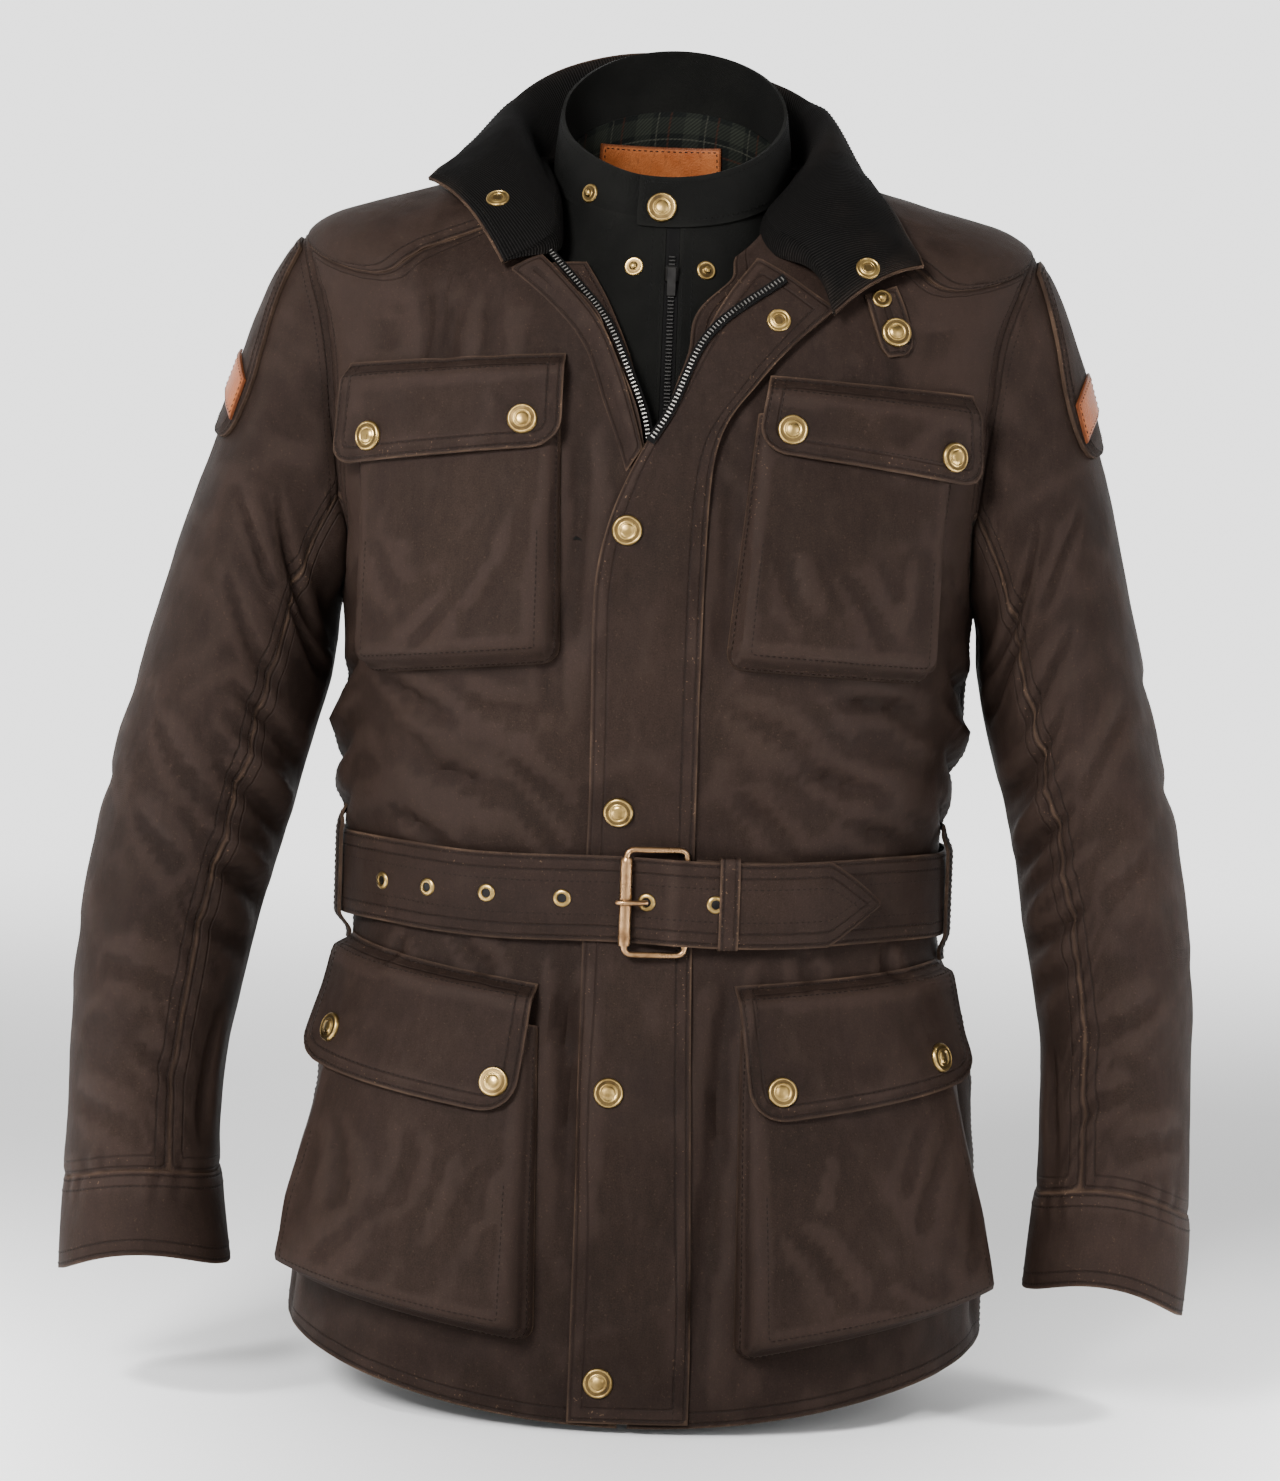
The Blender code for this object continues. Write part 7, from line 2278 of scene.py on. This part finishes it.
    def lining(self, angle: Any, share: Any) -> Points:
        """Gives points of the back lining: share 0 at the standing collar's foot."""
        angle, share = np.broadcast_arrays(np.asarray(angle, float), np.asarray(share, float))
        top = self.stand(math.pi - angle, np.zeros(angle.shape), -0.0034) + UP * 0.003
        foot = np.stack([0.098 * np.sin(angle * 0.75), 0.088 * np.cos(angle * 0.75), angle * 0 - 0.05], -1)
        middle = np.stack([0.0715 * np.sin(angle), 0.056 * np.cos(angle), 0.004 - 0.022 * angle**2], -1)
        share = share[..., None]
        return top * (1 - share)**2 + 2 * middle * share * (1 - share) + foot * share**2

    def back(self) -> None:
        """Makes the checked back lining and the leather label."""
        angle, share = np.meshgrid(np.linspace(-1.25, 1.25, 61), np.linspace(0, 1, 31))
        outer = self.lining(angle, share)
        away = -facing(self.lining, angle, share)
        self.shop.cloth("back_lining_cloth", outer + away * THIN_CLOTH, outer, CHECK, ["back_lining"],
                        held=Held.HUNG)
        start, end, top, foot = self.label
        angle = np.linspace(start, end, 31)
        height = np.linspace(top, foot, 15)
        fine = np.linspace(0, 1, 81)
        share = np.stack([
            np.interp(-height, -self.lining(np.full(81, a), fine)[:, 2], fine) for a in angle
        ], 1)
        angle = np.broadcast_to(angle, share.shape)
        away = -facing(self.lining, angle, share)
        face = self.lining(angle, share) + away * (2 * THIN_CLOTH + LAYER)
        face = pressed_edge(face, away, (0.0006, 0.0, 0.0012))
        self.shop.panel("neck_label", face, away, LEATHER, "hide", THIN_CLOTH)
        needle = Needle("stitching_label")
        for side in ("left", "right", "first", "last"):
            needle.edge(face, away, side, 0.0024, 0.0024)
        needle.make(self.shop)

    def build(self) -> None:
        """Makes the liner."""
        self.collar()
        self.bib()
        self.back()
        self.needle.make(self.shop)


@dataclass
class Belt:
    """The belt with its loops, keeper, eyelets and roller buckle."""

    shop: Workshop
    width: float = 0.05
    start: float = 0.031
    tip: float = 0.138
    taper: float = 0.032
    tip_top: float = 0.99
    tip_foot: float = 0.88
    lift: float = 0.0048
    front_lift: float = 0.0066
    over: float = 0.011
    roller_arc: float = -0.0085
    bar_arc: float = 0.0255
    keeper: tuple = (0.044, 0.055)
    frame_half: float = 0.0305
    wire: float = 0.0018
    roller_radius: float = 0.0036
    roller_half: float = 0.0255
    bar_lift: float = 0.0098
    corner: float = 0.005
    loop_arc: float = 0.213
    loop_half: float = 0.006
    loop_reach: float = 0.041
    eyelets: tuple = (-0.155, -0.1264, -0.0904, -0.0457, 0.0035, 0.0435)
    rows: tuple = (NEAR_ROW, FAR_ROW, 0.0155)
    row_end: float = 0.006
    keeper_wall: float = 0.0012
    keeper_half: float = 0.0265
    keeper_foot: float = 0.0052
    keeper_square: float = 5.0
    prong_radius: float = 0.0016
    wire_step: float = 0.0015
    unrest: Crumple = Crumple(0.085, 0.001, 61)
    needle: Needle = field(default_factory=lambda: Needle("stitching_belt"))

    @property
    def roll_lift(self) -> float:
        """Gives how far the roller's middle stands off the waist."""
        return self.front_lift + CLOTH + self.roller_radius + 0.0018

    @property
    def waist(self) -> float:
        """Measures the belt line all round."""
        return 2 * float(BODY.arc(np.array([math.pi]), np.array([float(BELT_RING)]))[0])

    def place(self, arc: Points, across: Any) -> tuple[Points, Points]:
        """Gives turn and ring of points of the belt, for arcs that may pass once round the waist."""
        turns = np.linspace(-math.pi, math.pi, 721)
        arcs = BODY.arc(turns, np.full(turns.shape, float(BELT_RING)))
        wrapped = (np.asarray(arc) - arcs[0]) % (arcs[-1] - arcs[0]) + arcs[0]
        turn = np.interp(wrapped, arcs, turns)
        height = BODY.smooth(turn, BELT_RING)[..., 2] + across
        ring = np.full(np.shape(height), float(BELT_RING))
        for _ in range(6):
            here = BODY.smooth(turn, ring)[..., 2]
            slope = (BODY.smooth(turn, ring + 1e-3)[..., 2] - here) / 1e-3
            ring = ring - (here - height) / slope
        return turn, ring

    def point(self, arc: Any, across: Any, lift: Any) -> Points:
        """Gives points over the belt line.

        Args:
            arc: Length along the belt.
            across: Distance up it.
            lift: How far out of the waist's ring.

        Returns:
            The points.
        """
        arc, across, lift = np.broadcast_arrays(*(np.asarray(v, float) for v in (arc, across, lift)))
        turn, _ = self.place(arc, 0.0)
        ring = np.full(np.shape(turn), float(BELT_RING))
        base = BODY.smooth(turn, ring)
        out = facing(BODY.smooth, turn, ring) * (1, 1, 0)
        fold = BODY.folds(BODY.arc(turn, ring), base[..., 2])
        return base + unit(out) * (lift + fold)[..., None] + across[..., None] * UP

    def strap(self) -> None:
        """Makes the strap, from the buckle's bar round the back to its tip."""
        end = self.waist + self.tip
        arc = np.concatenate([
            np.linspace(self.start, end - self.taper, 330)[:-1], np.linspace(end - self.taper, end, 24),
        ])
        rises = np.array([
            (0.0, self.front_lift), (0.06, self.front_lift), (0.14, self.lift),
            (self.waist - 0.14, self.lift), (self.waist - 0.045, self.front_lift),
            (self.waist - 0.009, self.front_lift + 0.001), (self.waist + 0.018, self.over + 0.0015),
            (end, self.over),
        ])
        lift = np.interp(arc, *rises.T)[None, :]
        half = self.width / 2
        taper = np.clip((arc - end + self.taper) / self.taper, 0, 1)
        top, foot = half * (1 - self.tip_top * taper**1.15), half * (self.tip_foot * taper**1.1 - 1)
        share = np.array([0, 0.02, 0.05, *np.linspace(0.1, 0.9, 13), 0.95, 0.98, 1])[:, None]
        across = foot + (top - foot) * share
        middle = np.sin(math.pi * share)
        flat = self.point(arc, across, lift)
        sway = self.unrest.at(flat) * (0.25 + 0.75 * middle)
        dent = 0.0012 * np.sin(arc[None] * 62 + 2.2 * np.sin(arc[None] * 23)) * (share - 0.5)
        high = lift + CLOTH + (sway + dent) * 0.8 + 0.0005 * middle
        over_top = 0.0009 * np.sin(arc[None] * 41 + 1.7)
        outer = self.point(arc, across + over_top, high)
        inner = self.point(arc, across + over_top, high - CLOTH)
        outer = pressed_edge(outer, unit(outer - inner), (0.0005, 0.0, 0.0016))
        self.shop.cloth("belt_strap", outer, inner, WAXED, ["belt"], Held.FOLDED, tone=0.05, rub=1.3)
        ways = unit(outer - inner)
        for side in ("first", "last"):
            for inset in self.rows:
                self.needle.edge(outer, ways, side, inset, self.row_end)
        self.needle.edge(outer, ways, "right", 0.0035, 0.003)

    def loop(self, name: str, side: int) -> None:
        """Makes a loop at the side, standing proud of the belt."""
        across = np.linspace(self.loop_reach, -self.loop_reach, 55)[:, None]
        arc = side * self.loop_arc + np.linspace(-self.loop_half, self.loop_half, 11)[None]
        arc, across = np.broadcast_arrays(arc, across)
        turn, ring = self.place(arc, across)
        swell = 0.0008 * np.sin(np.linspace(0, math.pi, 11))[None]
        foot, _ = BODY.cloth(turn, ring, CLOTH + 0.0012 + swell)
        over = self.point(arc, across, self.lift + 2 * CLOTH + 0.0016 + swell)
        share = smoothstep(np.abs(across), self.width / 2 - 0.001, self.loop_reach - 0.003)[..., None]
        outer = over * (1 - share) + foot * share
        normal = unit(facing(BODY.smooth, turn, ring) * (1, 1, 0.3))
        self.shop.panel(name, outer, normal, held=Held.FOLDED)
        for edge in ("left", "right"):
            self.needle.edge(outer, normal, edge, 0.0026, 0.002)

    def hold(self) -> None:
        """Makes the keeper that holds the strap's end down."""
        arc = np.linspace(*self.keeper, 9)[:, None]
        low, high = self.keeper_foot, self.over + CLOTH + 0.0016
        turn = np.linspace(0, 2 * math.pi, 65)[:-1][None]
        power = self.keeper_square
        reach = (np.abs(np.cos(turn))**power + np.abs(np.sin(turn))**power)**(-1 / power)
        layers = []
        for wide in (self.keeper_wall, 0.0):
            across = (self.keeper_half + wide * 0.4) * np.sin(turn) * reach
            lift = (low + high) / 2 + ((high - low) / 2 + wide) * np.cos(turn) * reach
            layers.append(self.point(arc, across, lift))
        self.shop.cloth("belt_keeper_cloth", *layers, WAXED, ["belt_keeper"], Held.FOLDED, around=True,
                        tone=0.06)
        outer = layers[0]
        ways = unit(outer - layers[1])
        front = np.r_[52:64, 0:13]
        for side in ("first", "last"):
            line, out = outer[:, front], ways[:, front]
            self.needle.edge(line, out, side, 0.002, 0.002)

    def outline(self) -> Points:
        """Gives the buckle's wire as a closed line along the belt, up it and out of it."""
        left, right, tall = self.roller_arc, self.bar_arc, self.frame_half
        corners = np.array([
            (left, -tall, self.roll_lift), (left, tall, self.roll_lift),
            (right, tall, self.bar_lift), (right, -tall, self.bar_lift),
        ])
        flat = rounded_line(corners, self.corner, 9)
        fine = []
        for here, after in zip(flat, np.roll(flat, -1, axis=0)):
            count = max(round(float(np.linalg.norm(after - here)) / self.wire_step), 1)
            fine += [here + (after - here) * step / count for step in range(count)]
        return self.point(*np.array(fine).T)

    def buckle(self) -> None:
        """Makes the buckle: its wire, the roller and the prong."""
        shop = self.shop
        shop.metal("buckle_wire", [tube(self.outline(), self.wire, 20, True)], COPPER, ["buckle_frame"])
        rise = np.linspace(-self.roller_half, self.roller_half, 41)
        middle = self.point(np.full(41, self.roller_arc), rise, self.roll_lift)
        bare = np.abs(np.linspace(-1, 1, 41))
        radius = self.roller_radius * (1 - 0.14 * np.clip((bare - 0.93) / 0.07, 0, 1)**2)
        skin = tube(middle, radius, 32)
        grooves = [tube(middle[at:at + 3], radius[at:at + 3] * 1.045, 32) for at in (3, 35)]
        shop.metal("buckle_roller_tube", [skin, *grooves], COPPER, ["buckle_roller"])
        rows = np.array([
            (-0.0042, 0.0, -0.0006, 0.9), (-0.0035, 0.0, 0.0018, 1.0), (-0.0005, 0.0, 0.0026, 1.0),
            (0.0025, 0.0, 0.0024, 1.0), (0.006, 0.0, 0.0012, 1.0), (0.0095, 0.0, -0.001, 0.95),
            (0.0125, 0.0, -0.0024, 0.85),
        ])
        curve = Table(rows).spaced(28)
        line = self.point(self.roller_arc + curve[:, 0], curve[:, 1],
                          self.roll_lift + self.roller_radius + curve[:, 2] - 0.0002)
        prong = tube(line, self.prong_radius * curve[:, 3], 16)
        shop.metal("buckle_tongue", [prong], COPPER, ["buckle_prong"])

    def rings(self) -> None:
        """Sets the eyelets into the strap, each with a black disc in its middle as the painted shade of its
        hole.
        """
        profile = [(0.0026, -0.0004), (0.0026, 0.0007), (0.0029, 0.0011), (0.0037, 0.0012),
                   (0.0048, 0.0008), (0.0053, 0.0002), (0.0053, -0.0006)]
        disc = [(0.0, 0.00005), (0.0027, 0.00005)]
        parts, hole_shades = [], []
        for x in self.eyelets:
            arc = float(np.interp(x, *self.front_arcs()))
            height = float(self.point(arc, 0.0, 0.0)[2])
            spot, normal = self.shop.seat("belt_strap", (x, -0.3, height), (0, 1, 0))
            parts.append(placed(turned(profile, 36), spot, normal))
            # painted shade: a black disc stands in for the dark hole of the eyelet
            hole_shades.append(placed(turned(disc, 24), spot + normal * 0.0002, normal))
        self.shop.metal("belt_eyelets", parts, BRASS)
        self.shop.metal("belt_eyelet_holes", hole_shades, BLACK_METAL)

    def front_arcs(self) -> tuple[Points, Points]:
        """Gives pairs of x and arc along the front of the belt line."""
        arcs = np.linspace(-0.2, 0.2, 161)
        return self.point(arcs, 0.0, self.over)[:, 0], arcs

    def build(self) -> None:
        """Makes the belt."""
        self.strap()
        self.loop("belt_loop_left", -1)
        self.loop("belt_loop_right", 1)
        self.hold()
        self.buckle()
        self.rings()
        self.needle.make(self.shop)


class Cap(Enum):
    """What stands on the cloth where the jacket snaps shut, as profiles of (radius, height)."""

    CAP = (
        (0.0, 0.0031), (0.0026, 0.00295), (0.0036, 0.0026), (0.004, 0.0022), (0.0043, 0.0022),
        (0.0047, 0.0026), (0.0051, 0.0026), (0.0055, 0.0022), (0.007, 0.002), (0.0073, 0.0024),
        (0.0079, 0.0024), (0.0085, 0.0017), (0.00885, 0.0008), (0.0088, 0.0), (0.0084, -0.0008),
    )
    SOCKET = (
        (0.0, 0.0002), (0.0018, 0.0002), (0.0019, 0.0009), (0.0024, 0.0012), (0.0027, 0.0009),
        (0.0034, 0.0008), (0.0037, 0.0013), (0.0041, 0.0013), (0.0045, 0.0009), (0.006, 0.0008),
        (0.0063, 0.0012), (0.0067, 0.0011), (0.007, 0.0004), (0.007, -0.0006),
    )
    STUD = (
        (0.0, 0.0034), (0.0016, 0.0033), (0.0022, 0.0027), (0.002, 0.0018), (0.0023, 0.0011),
        (0.0038, 0.0009), (0.0046, 0.0012), (0.0052, 0.0012), (0.0057, 0.0005), (0.0057, -0.0006),
    )


@dataclass
class Snaps:
    """The snap caps, sockets and studs, each pressed into the cloth that carries it."""

    shop: Workshop
    skins: list = field(default_factory=list)
    # the darker ring in the hollow of each kind: its inner and outer radius, and its height
    hollows: ClassVar[dict] = {
        Cap.CAP: (0.0052, 0.0074, 0.0023),
        Cap.SOCKET: (0.0, 0.0029, 0.0012),
        Cap.STUD: (0.0026, 0.0042, 0.0012),
    }
    storm_arc: float = -0.0145
    storm_heights: tuple = (-0.219, -0.381, -0.544, -0.711)
    strap_at: tuple = (0.1365, -0.101)
    watcher: tuple = (0.0825, -2.5921, -0.1671)
    # piece, x, height, kind: fastenings of the open collar, wings and liner, as they are seen
    loose: tuple = (
        ("collar_face_cloth", -0.0959, -0.0316, Cap.SOCKET),
        ("collar_face_cloth", 0.1175, -0.0646, Cap.SOCKET),
        ("storm_flap_cloth", 0.0677, -0.0959, Cap.SOCKET),
        ("facing_left_cloth", -0.0412, -0.0692, Cap.SOCKET),
        ("liner_collar_cloth", -0.0431, -0.027, Cap.STUD),
        ("liner_collar_cloth", -0.0016, -0.0337, Cap.CAP),
        ("liner_front_left_cloth", -0.0165, -0.0678, Cap.STUD),
        ("liner_front_right_cloth", 0.0249, -0.0688, Cap.STUD),
        ("collar_strap_cloth", 0.1262, -0.0815, Cap.STUD),
    )

    def stand(self, name: str, piece: str, spot: Points, way: Points, kind: Cap,
              nodes: Sequence[str]) -> None:
        """Presses one fastening into a piece.

        Args:
            name: Its name.
            piece: The cloth that carries it.
            spot: Where to look for the cloth from.
            way: Which way to look.
            kind: What it is.
            nodes: The solid that it stands for.
        """
        seat, normal = self.shop.seat(piece, spot, way)
        self.shop.metal(name, [placed(turned(kind.value, 48), seat, normal)], BRASS, nodes, sharp=60)
        near, far, height = self.hollows[kind]
        hollow = turned([(near, height), ((near + far) / 2, height - 0.0001), (far, height)], 40)
        self.skins.append(placed(hollow, seat, normal))

    def on_body(self, name: str, piece: str, arc: float, height: float) -> None:
        """Presses a cap into a piece at an arc and a height of the body."""
        place, normal = BODY.cloth(*BODY.at_arc(np.array([arc]), np.array([height])), 0.05)
        self.stand(f"{name}_cap", piece, place[0], -normal[0], Cap.CAP, [name])

    def build(self) -> None:
        """Makes them all."""
        for number, height in enumerate(self.storm_heights):
            self.on_body(f"snap_storm_{number + 1}", "storm_flap_cloth", self.storm_arc, height)
        for plan in POCKETS:
            for number, place in enumerate(plan.snaps):
                self.on_body(f"snap_{plan.name}_{number + 1}", f"{plan.name}_flap_cloth", *place)
        self.on_body("snap_strap", "collar_strap_cloth", *self.strap_at)
        ahead = np.array(self.watcher)
        for number, (piece, x, height, kind) in enumerate(self.loose):
            way = unit(np.array([x, -0.12, height]) - ahead)
            self.stand(f"{kind.name.lower()}_{number + 1}", piece, ahead, way, kind, [])
        self.shop.metal("snap_hollows", self.skins, BRASS_SKIN)


@dataclass
class LinerSlider:
    """The slider of the liner's zip and its pull tab, which keep their solids' shapes."""

    shop: Workshop

    def build(self) -> None:
        """Dresses the two solids."""
        for name in ("zip_slider", "zip_pull"):
            solid = bpy.data.objects[name]
            solid.data.materials.clear()
            solid.data.materials.append(self.shop.wardrobe.of(BLACK_METAL))


@dataclass
class Studio:
    """A plain pale floor, soft light and the camera."""

    floor_gap: float = 0.004
    floor_reach: float = 3.2
    wall_run: float = 5.0
    wall_bend: float = 1.8
    glow: float = 2.4
    glow_from: tuple = (1.0, 3.4)
    distance: float = 2.6
    around: float = math.radians(2.0)
    above: float = math.radians(4.0)
    roll: float = math.radians(1.95)
    target: tuple = (-0.008, 0.0, -0.3485)
    lens: float = 104.28

    def floor(self, lowest: float) -> None:
        """Lays a round floor under the hem that curves up into a faintly glowing wall all round."""
        runs = np.linspace(0.001, self.floor_reach + self.wall_run, 40)
        turn, run = np.meshgrid(np.linspace(0, 2 * math.pi, 49), runs)
        bend = np.clip((run - self.floor_reach) / self.wall_bend, 0, 1) * math.pi / 2
        radius = np.minimum(run, self.floor_reach) + self.wall_bend * np.sin(bend)
        z = lowest - self.floor_gap + self.wall_bend * (1 - np.cos(bend))
        z = z + np.clip(run - self.floor_reach - self.wall_bend, 0, None)
        points = np.stack([radius * np.sin(turn), radius * np.cos(turn), z], -1).reshape(-1, 3)
        bright = smoothstep(run, *self.glow_from)
        glow = bright * (0.35 + 0.65 * smoothstep(radius * np.cos(turn), -1.5, 2.5))
        paper = Shader("studio_paper", roughness=1.0, specular_ior_level=0.0, emission_strength=self.glow)
        for name, socket in (("glow", "Emission Color"), ("tone", "Base Color")):
            paper.tree.links.new(paper.written(name).out, paper.surface.inputs[socket])
        floor = mesh_thing("studio_floor", points, grid_faces(*run.shape).tolist(), paper.wear())
        for name, values in (("glow", glow), ("tone", 0.88 * (1 - bright))):
            floor.data.attributes.new(name, "FLOAT", "POINT").data.foreach_set("value", values.reshape(-1))
        bpy.context.scene.collection.objects.link(floor)
        floor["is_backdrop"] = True

    def lamp(self, name: str, place: tuple, aim: tuple, size: tuple, power: float,
             spread: float = 180) -> None:
        """Hangs a soft rectangular lamp.

        Args:
            name: Its name.
            place: Where it hangs.
            aim: What it shines at.
            size: Width and height.
            power: Its power in watts.
            spread: How wide its light opens, in degrees.
        """
        light = bpy.data.lights.new(name, "AREA")
        light.shape, light.energy = "RECTANGLE", power
        light.size, light.size_y = size
        light.spread = math.radians(spread)
        lamp = bpy.data.objects.new(name, light)
        lamp.location = place
        lamp.rotation_euler = (Vector(place) - Vector(aim)).to_track_quat("Z", "Y").to_euler()
        lamp.visible_camera = False
        bpy.context.scene.collection.objects.link(lamp)

    def light(self) -> None:
        """Lights the studio."""
        world = bpy.data.worlds.new("studio_air")
        world.use_nodes = True
        air = world.node_tree.nodes["Background"].inputs
        air[0].default_value, air[1].default_value = (1.0, 1.0, 1.0, 1), 0.1
        bpy.context.scene.world = world
        self.lamp("key_lamp", (-1.0, -2.1, 0.85), (-0.05, 0.0, -0.16), (0.8, 0.8), 22, 70)
        self.lamp("fill_lamp", (1.5, -2.0, 0.3), (0.0, 0.0, -0.2), (1.0, 1.2), 9, 120)
        self.lamp("top_lamp", (0.1, -0.2, 1.8), (0.0, 0.0, -0.35), (1.4, 1.0), 5)
        for side in (-1, 1):
            place, aim = (1.4 * side, -0.7, 0.9), (1.3 * side, -0.5, -0.8)
            self.lamp(f"floor_lamp_{side + 2}", place, aim, (0.5, 0.5), 60, 70)

    def camera(self) -> None:
        """Sets the camera up at the photograph's angle."""
        turn, rise = self.around, self.above
        back = Vector((math.sin(turn) * math.cos(rise), -math.cos(turn) * math.cos(rise), math.sin(rise)))
        right = Vector((math.cos(turn), math.sin(turn), 0))
        up = back.cross(right)
        across = right * math.cos(self.roll) + up * math.sin(self.roll)
        high = up * math.cos(self.roll) - right * math.sin(self.roll)
        view = bpy.data.cameras.new("photo_camera")
        view.lens, view.sensor_width = self.lens, 36
        view.clip_start, view.clip_end = 0.05, 60
        camera = bpy.data.objects.new("photo_camera", view)
        turned_to = Matrix((across, high, back)).transposed().to_4x4()
        camera.matrix_world = Matrix.Translation(Vector(self.target) + back * self.distance) @ turned_to
        bpy.context.scene.collection.objects.link(camera)
        bpy.context.scene.camera = camera


def main() -> None:
    """Builds the jacket piece by piece."""
    logging.basicConfig(level=logging.INFO, format="%(name)s %(message)s")
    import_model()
    solid_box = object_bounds()
    shop = Workshop()
    studio = Studio()
    studio.camera()
    Shell(shop).build()
    for label, side in (("left", -1), ("right", 1)):
        Sleeve(shop, label, side).build()
    pocket_needle = Needle("stitching_pockets")
    for plan in POCKETS:
        Pocket(shop, plan, pocket_needle).build()
    pocket_needle.make(shop)
    Fastening(shop).build()
    Collar(shop).build()
    Liner(shop).build()
    Belt(shop).build()
    Snaps(shop).build()
    LinerSlider(shop).build()
    studio.floor(float(solid_box[0][2]))
    studio.light()


if __name__ == "__main__":
    main()
